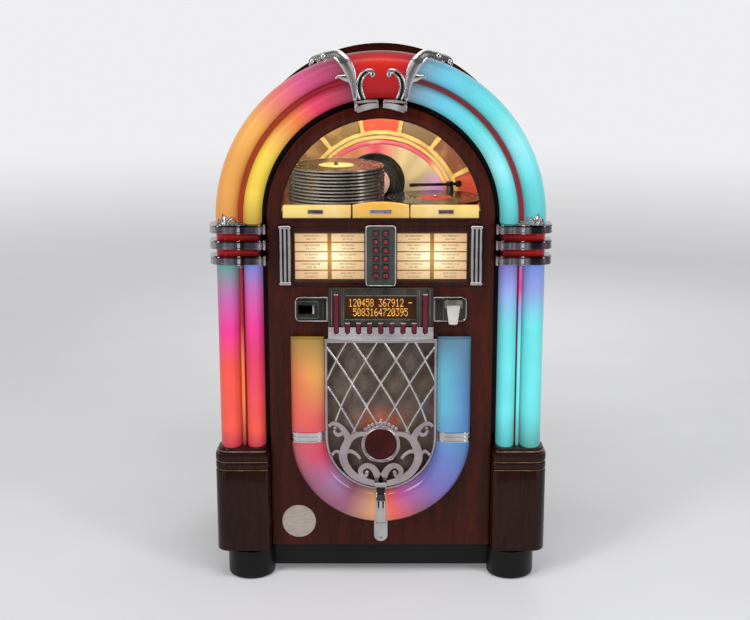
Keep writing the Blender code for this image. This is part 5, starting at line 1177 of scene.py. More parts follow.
# Ringed caps: three chrome-plated rings round the top of each column, with red bands lit
# from inside between them, a leaf casting on the top ring and a ball under the lowest.
RING_HEIGHT = 23 * MM
RING_PITCH = 43.6 * MM
RING_LIP = 2.2 * MM
BAND_INSET = 18 * MM
PLAN_CORNER = 34 * MM
PLAN_BEVEL = 14 * MM
chrome = Finish("bright chrome", rough=0.1, metal=1.0)
cloud = chrome.noise(16, detail=5.0)
chrome.tone(cloud, "a9a6a9", "cfccce")
chrome.to("Roughness", chrome.spread(chrome.noise(70), 0.3, 0.75, 0.06, 0.16))
chrome.bump(chrome.noise(18, detail=1.0), 0.3 * MM, 0.12)
# The rings' chrome carries painted reflections: dark and bright upright stripes along a stretched noise.
ringed = Finish("chrome with painted reflections", rough=0.12, metal=1.0)
painted_reflection_streaks = ringed.noise(17, (1, 1, 0.02), detail=2.5)
painted_reflection_stops = ((0.36, "262428"), (0.44, "5e5b62"), (0.5, "8a878e"), (0.56, "57545b"), (0.63, "b9b5ba"))
ringed.to("Base Color", ringed.ramp(painted_reflection_streaks, painted_reflection_stops))
ringed.to("Roughness", ringed.spread(ringed.noise(70), 0.3, 0.75, 0.08, 0.18))
cast = Finish("cast chrome", rough=0.2, metal=1.0)
cast.tone(cast.noise(16, detail=5.0), "b3b0b0", "d8d5d4")
cast.wear(cast.noise(30, detail=2.0), 0.17, 0.25)
cast.bump(cast.noise(14, detail=1.0), 0.2 * MM, 0.1)

low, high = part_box("column_cap_left")
cap_inner, cap_outer = -high.x, -low.x
cap_front, cap_back = low.y, high.y


def cap_plan(inset, side):
    """A ring's plan: a chamfered inner corner and a round outer one, open to the board."""
    front = cap_front + inset
    inner, outer = cap_inner + inset, cap_outer - inset
    points = [(inner, cap_back), (inner, front + PLAN_BEVEL)]
    points += [(inner + PLAN_BEVEL * 0.3, front + PLAN_BEVEL * 0.3), (inner + PLAN_BEVEL, front)]
    points += circle((outer - PLAN_CORNER, front + PLAN_CORNER), PLAN_CORNER, -90, 0, 20)
    points.append((outer, cap_back))
    return [(side * x, y) for x, y in points]


def tower(bm, levels, side):
    """A solid whose plan is set in by a different amount at each level."""
    skin(bm, [[(x, y, z) for x, y in cap_plan(inset, side)] for z, inset in levels])


satin = Finish("satin chrome", rough=0.3, metal=1.0)
satin.tone(satin.noise(12, detail=3.0), "a3979a", "bdb1b2")
satin.wear(satin.noise(30, detail=2.0), 0.26, 0.34)
satin.bump(satin.noise(25, detail=1.0), 0.2 * MM, 0.1)
scarlet = Finish("lit red band", rough=0.2, coat=0.15, shine=0.2)
share = scarlet.spread(scarlet.maths("ABSOLUTE", scarlet.axis("X")), cap_inner, cap_outer)
colour = scarlet.ramp(share, ((0.0, "3a0a10"), (0.15, "6e0c18"), (0.45, "8a160f"), (0.7, "a01614"),
                              (0.88, "b00f28"), (1.0, "4a1020")))
scarlet.lit(colour, scarlet.spread(scarlet.noise(25), 0.3, 0.7, 0.42, 0.66), 0.7, "100000")
for side, word in SIDES:
    for i in range(3):
        top = RING_TOP - i * RING_PITCH
        foot = top - RING_HEIGHT
        levels = [(foot, RING_LIP), (foot + 0.5 * MM, 0.8 * MM), (foot + RING_LIP, 0)]
        levels += [(foot + 4.5 * MM, 0), (foot + 5.5 * MM, 1 * MM)]
        levels += [(top - 5.5 * MM, 1 * MM), (top - 4.5 * MM, 0)]
        levels += [(top - RING_LIP, 0), (top - 0.5 * MM, 0.8 * MM), (top, RING_LIP)]
        bm = bmesh.new()
        tower(bm, levels, side)
        ends = sorted((side * (cap_inner - 1 * MM), side * (cap_inner + 5 * MM)))
        hang(f"cap_ring_{word}_{i}", bm, ringed, f"column_cap_{word}")
        bm = bmesh.new()
        for near, far in (ends, [v + side * 13 * MM for v in ends]):
            block(bm, (near, cap_front, foot - 1.5 * MM),
                  (far, cap_front + 24 * MM, top + 1.5 * MM), 1.2 * MM)
        hang(f"cap_blocks_{word}_{i}", bm, satin, f"column_cap_{word}")
        if i < 2:
            gap_low = foot - (RING_PITCH - RING_HEIGHT)
            bm = bmesh.new()
            tower(bm, [(gap_low, BAND_INSET), (gap_low + 3 * MM, BAND_INSET - 1.5 * MM),
                       (foot - 3 * MM, BAND_INSET - 1.5 * MM), (foot, BAND_INSET)], side)
            hang(f"cap_band_{word}_{i}", bm, scarlet, f"column_cap_{word}")


def smoothed(points, steps):
    """A smooth line through given points of any length, as a Catmull-Rom curve."""
    out = []
    padded = [points[0]] + list(points) + [points[-1]]
    for i in range(1, len(padded) - 2):
        a, b, c, d = padded[i - 1 : i + 3]
        for step in range(steps):
            t = step / steps
            out.append(tuple(
                0.5 * (2 * b[k] + (c[k] - a[k]) * t + (2 * a[k] - 5 * b[k] + 4 * c[k] - d[k]) * t**2
                       + (3 * b[k] - a[k] - 3 * c[k] + d[k]) * t**3) for k in range(len(b))))
    out.append(tuple(points[-1]))
    return out


DOMED = ((-1, 0), (-1, 0.35), (-0.9, 0.62), (-0.7, 0.82), (-0.35, 0.96), (0, 1), (0.35, 0.96), (0.7, 0.82),
         (0.9, 0.62), (1, 0.35), (1, 0))
FLUTED = ((-1, 0), (-1, 0.7), (-0.93, 0.88), (-0.82, 0.94), (-0.7, 0.86), (-0.58, 0.62), (-0.3, 0.7),
          (0, 0.98), (0.3, 0.7), (0.58, 0.62), (0.7, 0.86), (0.82, 0.94), (0.93, 0.88), (1, 0.7), (1, 0))
STEPPED = ((-1, 0), (-1, 0.75), (-0.92, 0.96), (-0.78, 1), (-0.66, 0.8), (-0.55, 0.72), (0, 0.8),
           (0.55, 0.86), (0.85, 0.78), (1, 0.5), (1, 0))
CHANNEL = ((-1, 0), (-1, 0.7), (-0.9, 0.92), (-0.7, 1), (-0.5, 0.9), (-0.36, 0.55), (0.3, 0.55), (0.42, 0.9),
           (0.62, 1), (0.88, 0.92), (1, 0.7), (1, 0))
FLAT = ((-1, 0), (-1, 0.85), (-0.93, 1), (0.93, 1), (1, 0.85), (1, 0))


def cast_stroke(bm, points, tall, back, section, side, steps=8):
    """A cast ornament's stroke through (x, z, width) points: a raised section on a back
    surface whose y is back(x, z), with its ends drawn in."""
    line = smoothed(points, steps)
    rings = []
    for i, (x, z, width) in enumerate(line):
        before, after = line[max(i - 1, 0)], line[min(i + 1, len(line) - 1)]
        ahead = Vector((after[0] - before[0], after[1] - before[1])).normalized()
        across = Vector((-ahead.y, ahead.x)) * width / 2
        ring = []
        for a, rise in section:
            px, pz = x + across.x * a, z + across.y * a
            ring.append((side * px, back(px, pz) - rise * tall, pz))
        rings.append(ring)
    skin(bm, rings)


def ball(bm, spot, radius, squash, sides=24):
    """A round boss, flattened front to back by squash."""
    made = bmesh.ops.create_uvsphere(bm, u_segments=sides, v_segments=sides // 2, radius=radius)["verts"]
    for vert in made:
        vert.co = Vector((vert.co.x, vert.co.y * squash, vert.co.z)) + Vector(spot)


# Half of the leaf casting on the top ring, as shares of its height: each leaf runs
# (across, up, width) from the casting's root.
LEAF_HEIGHT = 31 * MM
LEAF_SHARES = (
    ((0.05, 0, 0.62), (0.02, 0.3, 0.66), (0.0, 0.6, 0.58), (-0.07, 0.84, 0.3), (-0.12, 1.0, 0.06)),
    ((-0.3, 0, 0.22), (-0.44, 0.3, 0.24), (-0.42, 0.6, 0.06)),
    ((0.3, 0.1, 0.3), (0.52, 0.48, 0.32), (0.78, 0.62, 0.28), (1.02, 0.44, 0.22), (1.08, 0.2, 0.1)),
    ((0.5, 0.05, 0.26), (0.85, 0.14, 0.28), (1.2, 0.22, 0.22), (1.45, 0.32, 0.14), (1.56, 0.24, 0.05)),
    ((1.2, 0.04, 0.18), (1.6, 0.1, 0.2), (1.9, 0.12, 0.14), (2.15, 0.05, 0.06)),
)
# The finial under the lowest ring, as (radius, height) in millimetres.
FINIAL = ((0, -17), (4.6, -14), (4.6, -9), (2.2, -6), (5.5, -3), (5.5, 1), (0, 1))
LEAF_X = 430 * MM
LEAF_TALL = 7 * MM


def leaning(seat):
    """The surface that a leaf lies on, which leans back towards its tip."""
    return lambda x, z: seat + 3 * MM * (z - RING_TOP) / LEAF_HEIGHT


for side, word in SIDES:
    bm = bmesh.new()
    for number, leaf in enumerate(LEAF_SHARES):
        sized = [(LEAF_X - a * LEAF_HEIGHT, RING_TOP + b * LEAF_HEIGHT, w * LEAF_HEIGHT) for a, b, w in leaf]
        seat = cap_front + 11 * MM - number * 0.8 * MM
        cast_stroke(bm, sized, LEAF_TALL, leaning(seat), FLUTED, side, 6)
    ball(bm, (side * LEAF_X, cap_front + 5 * MM, RING_TOP + 4 * MM), 6 * MM, 0.8)
    ends = sorted((side * (LEAF_X - 64 * MM), side * (LEAF_X + 15 * MM)))
    block(bm, (ends[0], cap_front + 4 * MM, RING_TOP - 0.5 * MM),
          (ends[1], cap_front + 12 * MM, RING_TOP + 3 * MM), 1.2 * MM)
    hang(f"cap_leaf_{word}", bm, cast, f"column_cap_{word}", sharp=50)
    bm = bmesh.new()
    foot = RING_TOP - 2 * RING_PITCH - RING_HEIGHT
    rod_x = side * (STRIP_LOBE[0] + STRIP_LOBE[1]) / 2
    for i in range(3):
        level = RING_TOP - i * RING_PITCH
        block(bm, (rod_x - 4.3 * MM, cap_front, level - RING_HEIGHT - 1.4 * MM),
              (rod_x + 4.3 * MM, cap_front + 9 * MM, level + 1.4 * MM), 1.4 * MM)
    shape = profile(FINIAL, foot)
    turn(bm, eased(shape, {1: 2.5 * MM, 2: 2.5 * MM, 4: 1.5 * MM}), 32,
         (rod_x, strip_front + ROD_RADIUS - 6 * MM, 0))
    hang(f"cap_finial_{word}", bm, cast, f"column_cap_{word}")


# Column bases: blocks of dark mahogany, rounded on their outer corner, with three bright
# inlaid lines round their necks.
dark_wood = veneer("dark mahogany", ("170806", "240e0a", "30140d", "3e1c12"), None, 0.2, 0.3, 0.1)
brass_line = Finish("bright inlay", rough=0.2, metal=1.0)
brass_line.tone(50, "8d6c55", "c9a689")
brass_line.wear(200, 0.14, 0.3)
GROOVE = 4 * MM
NECK = 7 * MM
BASE_LEVELS = ((91, 3), (92.5, 1), (96, 0), (332, 0), (333.5, 0.6), (335.5, GROOVE / MM),
               (338.5, GROOVE / MM), (340.5, 0.6), (342, 0), (356, 0), (357.5, 0.6), (359.5, GROOVE / MM),
               (362.5, GROOVE / MM), (364.5, 0.6), (366, 0), (381, 0), (384, 1), (387, NECK / MM),
               (396, NECK / MM), (398, NECK / MM + 1), (400, NECK / MM + 4))
INLAYS = ((337, 1.4), (361, 1.4), (391.5, 5.6))
for side, word in SIDES:
    bm = bmesh.new()
    tower(bm, [(z * MM, inset * MM) for z, inset in BASE_LEVELS], side)
    hang(f"base_block_{word}", bm, dark_wood, f"column_base_{word}", sharp=25)
    bm = bmesh.new()
    for level, inset in INLAYS:
        tower(bm, [((level - 1.1) * MM, (inset + 0.6) * MM), ((level - 0.6) * MM, inset * MM),
                   ((level + 0.6) * MM, inset * MM), ((level + 1.1) * MM, (inset + 0.6) * MM)], side)
    hang(f"base_inlay_{word}", bm, brass_line, f"column_base_{word}", sharp=25)


# Crown scrolls: two mirrored die-castings, polished and plated, whose stepped feet meet
# over the window and whose straps run up over the crown and curl outwards.
# Each stroke runs through (across, height, width), in millimetres, on the left half.
STRAP = ((-66, 1353, 10), (-67.5, 1372, 11.5), (-69.6, 1391, 11.5), (-73.3, 1421, 17), (-78, 1444, 26),
         (-84.5, 1465, 32), (-97.5, 1487, 32), (-118, 1506, 27), (-137.5, 1506.5, 21), (-156, 1501, 19),
         (-175, 1496, 16), (-187, 1489, 12), (-190, 1479, 5))
STRAP_LOBES = (((-176, 1494, 12), (-188, 1487, 11), (-189, 1474, 3)),
               ((-158, 1499, 12), (-167, 1491, 9), (-168, 1482, 3)),
               ((-140, 1504, 12), (-148, 1494, 10), (-149, 1486, 4)))
INNER_SCROLL = ((-47, 1383, 19), (-55, 1402, 20), (-58.5, 1421, 19), (-56, 1438, 18), (-48.5, 1452, 17),
                (-38, 1460.5, 15), (-27, 1463.5, 12), (-18, 1460.5, 8))
OUTER_LEAF = ((-84, 1443, 24), (-97, 1445, 19), (-107, 1447, 12), (-115, 1448, 8), (-121.5, 1443, 4))
FOOT_LOW = ((-6, 1368, 13), (-25, 1367, 16), (-45, 1362.5, 18), (-66, 1355, 16))
FOOT_HIGH = ((-8, 1381.5, 9.5), (-26, 1381.5, 9.5), (-46, 1380, 10), (-65, 1376, 9))
WEB = ((-58, 1384, 12), (-63, 1396, 10), (-66, 1410, 6), (-68, 1424, 4))
SCROLL_EYE = (-22, 1453.6)
BOSSES = ((-118, 1446, 3), (-9, 1378, 3), (-154.6, 1501, 8), (-185, 1487, 6.5), (*SCROLL_EYE, 7.7))
SCROLL_CLEAR = 1.2 * MM


def over_crown(x, z):
    """The y just in front of the door where a casting lies: the panel, then the lens's
    round face, and past the lens's outer edge a little behind its front."""
    radius = math.hypot(x, z - ARCH)
    seat = panel_front - 0.3 * MM
    front = crown_front - SCROLL_CLEAR
    climb = min(max((radius - 318 * MM) / (22 * MM), 0), 1)
    fall = min(max((radius - 440 * MM) / (45 * MM), 0), 1)
    climb, fall = climb * climb * (3 - 2 * climb), fall * fall * (3 - 2 * fall)
    return seat + (front - seat) * climb + fall * 14 * MM


# A dark metal that paints shade into the castings' hollows, behind the trim ribs and in the clip.
shade_dark_metal = Finish("dark metal for painted shade", rough=0.4, metal=0.9)
shade_dark_metal.tone(40, "1e1b1c", "3a3536")
for side, word in ((-1, "right"), (1, "left")):
    bm = bmesh.new()
    strokes = [(STRAP, STEPPED, 8.5), (INNER_SCROLL, CHANNEL, 9), (OUTER_LEAF, DOMED, 7), (FOOT_LOW, FLAT, 9),
               (FOOT_HIGH, FLAT, 10)] + [(lobe, DOMED, 6.5) for lobe in STRAP_LOBES]
    for stroke, section, tall in strokes:
        sized = [(a * MM, b * MM, w * MM) for a, b, w in stroke]
        cast_stroke(bm, sized, tall * MM, over_crown, section, side)
    for x, z, radius in BOSSES:
        spot = (x * MM, z * MM)
        ball(bm, (side * spot[0], over_crown(*spot) - 5 * MM, spot[1]), radius * MM, 0.6)
    hang(f"crown_scroll_{word}", bm, cast, "crown_scrolls", sharp=50)
    # Dark strokes along the hollows, a web and a dark eye: painted shade in the casting's channels.
    bm = bmesh.new()
    for stroke, tall in ((WEB, 3), ([(a, b, w * 0.34) for a, b, w in INNER_SCROLL[:-2]], 5.4)):
        cast_stroke(bm, [(a * MM, b * MM, w * MM) for a, b, w in stroke], tall * MM, over_crown, FLAT, side)
    eye = (SCROLL_EYE[0] * MM, SCROLL_EYE[1] * MM)
    ball(bm, (side * eye[0], over_crown(*eye) - 8 * MM, eye[1]), 3.4 * MM, 0.6)
    hang(f"scroll_hollow_{word}", bm, shade_dark_metal, "crown_scrolls", sharp=50)


# Title rack: a light box whose two windows show rows of printed cards, held by amber
# dividers, between ribbed chrome end trims. The cards carry plain numbers.
CARD_COLUMNS = ((-239.5 * MM, -148.4 * MM), (-137.8 * MM, -46.2 * MM), (46.2 * MM, 137.8 * MM),
                (148.4 * MM, 239.5 * MM))
CARD_ROWS = 5
CARD_GAP = 3.4 * MM
CARD_THICK = 1.2 * MM
# Where the rack's lamps sit behind each window: (across, up), and how far their light goes.
RACK_LAMP, RACK_REACH = (143 * MM, 950 * MM), (97 * MM, 70 * MM)
WINDOW_X = (46 * MM, 240 * MM)
POST_X, POST_HALF = 143.1 * MM, 4.6 * MM
FIGURE_HIGH, LINE_SHIFT = 6.2 * MM, 4.6 * MM
RIB_PITCH, RIB_RADIUS = 11.6 * MM, 4.2 * MM
low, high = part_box("title_light_box")
rack_front = low.y
cards_face = rack_front + 4.6 * MM
window_low, window_high = 882.5 * MM, 1015 * MM
row_pitch = (window_high - window_low) / CARD_ROWS
umber = Finish("umber plastic", rough=0.4, coat=0.2)
umber.tone(20, "2a140c", "3b1e12")
umber.bump(600, 0.05 * MM, 0.3)
holes = [oblong(-WINDOW_X[1], -WINDOW_X[0], window_low, window_high, 1 * MM)]
holes.append([(-x, z) for x, z in reversed(holes[0])])
bm = cut_board([oblong(low.x, high.x, low.z, high.z)] + holes, rack_front, rack_front + 4.5 * MM, 0.6 * MM)
hang("rack_frame", bm, umber, "title_light_box")
bm = bmesh.new()
block(bm, (low.x, cards_face + 1.4 * MM, low.z), (high.x, high.y, high.z), 1 * MM)
hang("rack_box", bm, umber, "title_light_box")


def rack_glow(finish, middle, edge, strength_mid, strength_edge):
    """Lamplight through the rack: brightest half way along each window."""
    side = finish.maths("SUBTRACT", finish.maths("ABSOLUTE", finish.axis("X")), RACK_LAMP[0])
    across = finish.spread(finish.maths("ABSOLUTE", side), 0, RACK_REACH[0])
    lift = finish.maths("SUBTRACT", finish.axis("Z"), RACK_LAMP[1])
    up = finish.spread(finish.maths("ABSOLUTE", lift), 0, RACK_REACH[1])
    away = finish.reach(across, up)
    stops = ((0.0, middle[0]), (0.3, middle[1]), (0.65, edge[0]), (1.0, edge[1]))
    colour = finish.ramp(finish.spread(away, 0, 1.25), stops)
    finish.lit(colour, finish.spread(away, 0, 1.1, strength_mid, strength_edge), 0.75, "2a1a08")


card_stock = Finish("lit card", rough=0.55)
rack_glow(card_stock, ("fff8e0", "fdeabc"), ("f0cc9a", "e6b988"), 0.94, 0.68)
card_stock.bump(700, 0.03 * MM, 0.2)
amber_bar = Finish("amber divider", rough=0.3, coat=0.4)
rack_glow(amber_bar, ("d9a528", "c8922e"), ("a9712c", "8f5a25"), 0.75, 0.4)
amber_bar.bump(300, 0.03 * MM, 0.2)
bm = bmesh.new()
for left, right in CARD_COLUMNS:
    for row in range(CARD_ROWS):
        bottom = window_low + row * row_pitch + CARD_GAP / 2
        block(bm, (left, cards_face, bottom), (right, cards_face + CARD_THICK, bottom + row_pitch - CARD_GAP),
              0.4 * MM, 1)
hang("title_cards", bm, card_stock, "title_light_box")
bm = bmesh.new()
for side, word in SIDES:
    edges = sorted((side * WINDOW_X[0], side * WINDOW_X[1]))
    for row in range(1, CARD_ROWS):
        level = window_low + row * row_pitch
        block(bm, (edges[0], cards_face - 2 * MM, level - 1.1 * MM),
              (edges[1], cards_face + CARD_THICK, level + 1.1 * MM), 0.6 * MM, 2)
    middle = side * POST_X
    block(bm, (middle - POST_HALF, cards_face - 3 * MM, window_low),
          (middle + POST_HALF, cards_face + CARD_THICK, window_high), 1.4 * MM, 3)
hang("card_dividers", bm, amber_bar, "title_light_box")


def print_text(name, lines, finish, body, node, face, thick=0.12 * MM):
    """Plain figures as thin raised print. Each line is (text, x of its middle, z, height)."""
    joined = bmesh.new()
    for text, x, z, tall in lines:
        words = bpy.data.curves.new("figures", "FONT")
        words.body = text
        words.size = tall
        words.align_x = words.align_y = "CENTER"
        words.extrude = thick / 2
        words.resolution_u = 3
        part = solid_from(words)
        upright = Matrix.Translation((x, face, z)) @ Matrix.Rotation(math.pi / 2, 4, "X")
        bmesh.ops.transform(part, matrix=upright, verts=part.verts)
        join(joined, part)
    return build(name, joined, finish, body, node)


ink = Finish("brown ink", rough=0.7)
ink.tone(200, "24140a", "45290f")
draw = random.Random(7)
lines = []
for left, right in CARD_COLUMNS:
    middle = (left + right) / 2
    for row in range(CARD_ROWS):
        level = window_low + (row + 0.5) * row_pitch
        for shift, least, most in ((LINE_SHIFT, 11, 15), (-LINE_SHIFT, 7, 12)):
            figures = "".join(draw.choice("0123456789") for _ in range(draw.randint(least, most)))
            cut = draw.randint(3, 5)
            lines.append((figures[:cut] + " " + figures[cut:], middle, level + shift, FIGURE_HIGH))
print_text("card_figures", lines, ink, "front_door", "title_light_box",
           cards_face - 0.05 * MM)

for side, word in SIDES:
    low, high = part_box(f"title_trim_{word}")
    middle = (low.x + high.x) / 2
    # The trim's dark back plate paints the shade between the ribs.
    bm = cut_board([oblong(low.x, high.x, low.z, high.z, 9 * MM, 8)], low.y + 7 * MM, high.y, 3 * MM)
    hang(f"rack_trim_back_{word}", bm, shade_dark_metal, f"title_trim_{word}")
    bm = bmesh.new()
    for rib in (-1, 0, 1):
        x, y = middle + rib * RIB_PITCH, low.y + 6.6 * MM
        join(bm, tube([(x, y, low.z + 9 * MM), (x, y, high.z - 9 * MM)], RIB_RADIUS, 6))
    for level in (low.z + 7 * MM, high.z - 7 * MM):
        block(bm, (low.x + 1.5 * MM, low.y + 1.5 * MM, level - 4.5 * MM),
              (high.x - 1.5 * MM, low.y + 10 * MM, level + 4.5 * MM), 3.5 * MM, 4)
    hang(f"rack_trim_{word}", bm, chrome, f"title_trim_{word}", sharp=50)


# Keypad: a dark plate in a chrome surround, with twelve smoked keys whose numbers glow
# red. Each key slides in its own hole on a spring.
SURROUND = 4.5 * MM
KEY_HALF, KEY_CLEAR = 8.25 * MM, 0.6 * MM
low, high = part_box("keypad_housing")
pad_front, pad_back = low.y, high.y
outline = oblong(low.x, high.x, low.z, high.z, 9 * MM, 8)
inside = oblong(low.x + SURROUND, high.x - SURROUND, low.z + SURROUND, high.z - SURROUND, 6 * MM, 8)
bm = cut_board([outline, inside], pad_front, pad_back, 1.9 * MM, 5)
hang("pad_surround", bm, chrome, "keypad_housing")
slate = Finish("slate plastic", rough=0.38, coat=0.2)
slate.tone(30, "2b302c", "3d433e")
slate.wear(400, 0.3, 0.46)
slate.bump(900, 0.04 * MM, 0.3)
key_boxes = {number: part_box(f"key_{number:02d}") for number in range(1, 13)}
holes = []
for first, last in key_boxes.values():
    x, z = (first.x + last.x) / 2, (first.z + last.z) / 2
    reach = KEY_HALF + KEY_CLEAR
    holes.append(oblong(x - reach, x + reach, z - reach, z + reach, 1.6 * MM, 3))
bm = cut_board([inside] + holes, pad_front + 1.4 * MM, pad_front + 5.4 * MM, 0.4 * MM)
hang("pad_plate", bm, slate, "keypad_housing")
smoked = Finish("smoked key", rough=0.25, coat=0.4)
smoked.tone(80, "2e0a12", "44101c")
smoked.wear(300, 0.2, 0.32)
red_print = Finish("glowing red figures", rough=0.4)
red_glow = red_print.ramp(red_print.noise(90), ((0.3, "981a30"), (0.7, "c8283e")))
red_print.lit(red_glow, 0.4)
for number, (first, last) in key_boxes.items():
    x, z = (first.x + last.x) / 2, (first.z + last.z) / 2
    face = first.y + 0.4 * MM
    bm = bmesh.new()
    levels = [(last.y - 2 * MM, KEY_HALF), (face + 1.6 * MM, KEY_HALF)]
    levels += [(face + 0.5 * MM, KEY_HALF - 0.3 * MM), (face, KEY_HALF - 1.4 * MM)]
    levels.append((face + 0.5 * MM, KEY_HALF - 3.2 * MM))
    skin(bm, [[(a, y, b) for a, b in oblong(x - h, x + h, z - h, z + h, 1.8 * MM, 4)] for y, h in levels])
    body = f"key_{number:02d}"
    build(f"keycap_{number:02d}", bm, smoked, body, body)
    figure = (str(number), x, z, (15 if number < 10 else 12.5) * MM)
    print_text(f"figure_{number:02d}", [figure], red_print, body, body, face + 0.35 * MM,
               0.3 * MM)


# Display: a gunmetal housing with upright ribs beside a sunk amber screen, red plastic
# bars that run down into a chrome comb, and a chrome rail under the comb.
low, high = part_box("display_housing")
show_front = -335 * MM
comb_front, comb_high, comb_low = low.y, 757 * MM, 722 * MM
show_half, show_high = high.x, high.z
screen = (-98 * MM, 98 * MM, 781 * MM, 841 * MM)
UPRIGHT_RIBS = (-137, -108, -103, 103, 108, 137)
RAIL_HALF, RAIL_SAG = 122 * MM, 5 * MM
LONG_BAR_X = 124 * MM
BAR_HALF = 6.5 * MM
BAR_PITCH = 31 * MM
BAR_FOOT, SHORT_BAR_TOP, LONG_BAR_TOP = 738 * MM, 768 * MM, 850 * MM
gunmetal = Finish("gunmetal", rough=0.3, metal=0.85)
wear = gunmetal.noise(22, (1, 1, 0.25), detail=5.0)
gunmetal.to("Base Color", gunmetal.ramp(wear, ((0.3, "35332f"), (0.55, "4c4640"), (0.75, "665c54"))))
gunmetal.wear(240, 0.22, 0.4)
gunmetal.bump(500, 0.04 * MM, 0.3)
bars = [(i * BAR_PITCH, SHORT_BAR_TOP) for i in (-3, -2, -1, 0, 1, 2, 3)]
bars += [(-LONG_BAR_X, LONG_BAR_TOP), (LONG_BAR_X, LONG_BAR_TOP)]
gap = BAR_HALF + 0.4 * MM
slits = [oblong(x - gap, x + gap, comb_high + 0.5 * MM, top + 0.4 * MM, 1 * MM, 2) for x, top in bars]
face = oblong(-show_half, show_half, comb_high - 1 * MM, show_high, 4 * MM, 5)
bm = cut_board([face, oblong(*screen, 1.5 * MM, 3)] + slits, show_front, show_front + 9 * MM, 1.5 * MM)
block(bm, (-show_half, show_front + 8.8 * MM, comb_low), (show_half, high.y, show_high), 2 * MM)
hang("display_case", bm, gunmetal, "display_housing")
bm = bmesh.new()
for x in UPRIGHT_RIBS:
    block(bm, ((x - 1.1) * MM, show_front - 2.4 * MM, comb_high),
          ((x + 1.1) * MM, show_front + 1 * MM, show_high - 2 * MM), 0.9 * MM)
for z in (screen[2] - 4 * MM, screen[3] + 5 * MM):
    block(bm, (screen[0] - 2 * MM, show_front - 1.8 * MM, z - 1.1 * MM),
          (screen[1] + 2 * MM, show_front + 1 * MM, z + 1.1 * MM), 0.9 * MM)
ribbing = Finish("worn plated rib", rough=0.3, metal=0.9)
ribbing.tone(ribbing.noise(40, (1, 1, 0.4)), "5f5a54", "a39a90")
hang("display_ribs", bm, ribbing, "display_housing")

tooth = BAR_HALF + 0.5 * MM
outline = [(-show_half, comb_low), (show_half, comb_low), (show_half, comb_high)]
for x, top in sorted(bars, reverse=True):
    outline += [(x + tooth, comb_high)] + circle((x, BAR_FOOT + BAR_HALF), tooth, 0, -180, 12)
    outline += [(x - tooth, comb_high)]
outline.append((-show_half, comb_high))
bm = cut_board([outline], comb_front, show_front + 9 * MM, 1.4 * MM)
wire = tooth + 1.6 * MM
for x, top in bars:
    path = [(x - wire, comb_high - 1 * MM)] + circle((x, BAR_FOOT + BAR_HALF), wire, -180, 0, 12)
    path += [(x + wire, comb_high - 1 * MM)]
    join(bm, tube([(a, comb_front + 0.6 * MM, b) for a, b in path], 1.3 * MM, 3))
hang("display_comb", bm, chrome, "display_housing", sharp=40)
sweep = []
for i in range(33):
    share = i / 16 - 1
    sweep.append((share * RAIL_HALF, comb_low - 4 * MM - RAIL_SAG * (1 - abs(share) ** 3)))
outline = [(-RAIL_HALF, comb_low + 1 * MM)] + sweep + [(RAIL_HALF, comb_low + 1 * MM)]
bm = cut_board([outline], show_front + 1 * MM, show_front + 19 * MM, 3 * MM, 5)
hang("display_rail", bm, chrome, "display_housing")

claret = Finish("claret plastic", rough=0.2, coat=0.15, shine=0.25)
claret.tone(40, "4c0c20", "68142c")
# The bars carry a faint painted glow.
claret_glow = claret.ramp(claret.noise(25), ((0.3, "5c1027"), (0.7, "7e1834")))
claret.to("Emission Color", claret_glow).to("Emission Strength", 0.14)
claret.wear(100, 0.15, 0.28)
bar_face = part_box("display_bars")[0].y
bm = bmesh.new()
for x, top in bars:
    outline = circle((x, BAR_FOOT + BAR_HALF), BAR_HALF, 180, 360, 14)
    outline += [(x + BAR_HALF, top), (x - BAR_HALF, top)]
    join(bm, cut_board([outline], bar_face, show_front + 8.5 * MM, 1.8 * MM, 4))
hang("red_bars", bm, claret, "display_bars")
bm = bmesh.new()
for x, top in bars:
    half = BAR_HALF + 0.6 * MM
    block(bm, (x - half, bar_face - 0.6 * MM, top - 2.4 * MM),
          (x + half, show_front + 1 * MM, top + 1.4 * MM), 1 * MM)
hang("bar_caps", bm, chrome, "display_bars")

umber_glass = Finish("amber screen", rough=0.2, coat=0.08, shine=0.1)
haze = umber_glass.ramp(umber_glass.noise(14), ((0.3, "251106"), (0.7, "3a1c07")))
umber_glass.lit(haze, 0.7)
umber_glass.bump(600, 0.03 * MM, 0.15)
pane = oblong(screen[0] - 2 * MM, screen[1] + 2 * MM, screen[2] - 2 * MM, screen[3] + 2 * MM)
bm = cut_board([pane], show_front + 4 * MM, show_front + 8 * MM, 0.5 * MM)
hang("screen_glass", bm, umber_glass, "display_screen")
# Seven rows of dots for each figure, top first, each row as five lamps written in binary.
DOTS = {
    "0": (14, 17, 19, 21, 25, 17, 14), "1": (4, 12, 4, 4, 4, 4, 14), "2": (14, 17, 1, 2, 4, 8, 31),
    "3": (31, 2, 4, 2, 1, 17, 14), "4": (2, 6, 10, 18, 31, 2, 2), "5": (31, 16, 30, 1, 1, 17, 14),
    "6": (6, 8, 16, 30, 17, 17, 14), "7": (31, 1, 2, 4, 8, 8, 8), "8": (14, 17, 17, 14, 17, 17, 14),
    "9": (14, 17, 17, 15, 1, 2, 12), "-": (0, 0, 0, 31, 0, 0, 0), " ": (0,) * 7,
}
DOT_PITCH_X, DOT_PITCH_Z = 1.98 * MM, 3.25 * MM
DOT_HALF_X, DOT_HALF_Z = 0.86 * MM, 1.3 * MM
LAMP_LINES = (("120458 367912 -", 836 * MM), ("5083164720395", 809 * MM))
lamp_front, lamp_back = show_front + 3.8 * MM, show_front + 4.2 * MM
amber_lamp = Finish("amber lamps", rough=0.4)
lamp_colour = amber_lamp.ramp(amber_lamp.noise(60), ((0.3, "e3953a"), (0.7, "ffc25e")))
amber_lamp.lit(lamp_colour, 1.25, 0.8)
bm = bmesh.new()
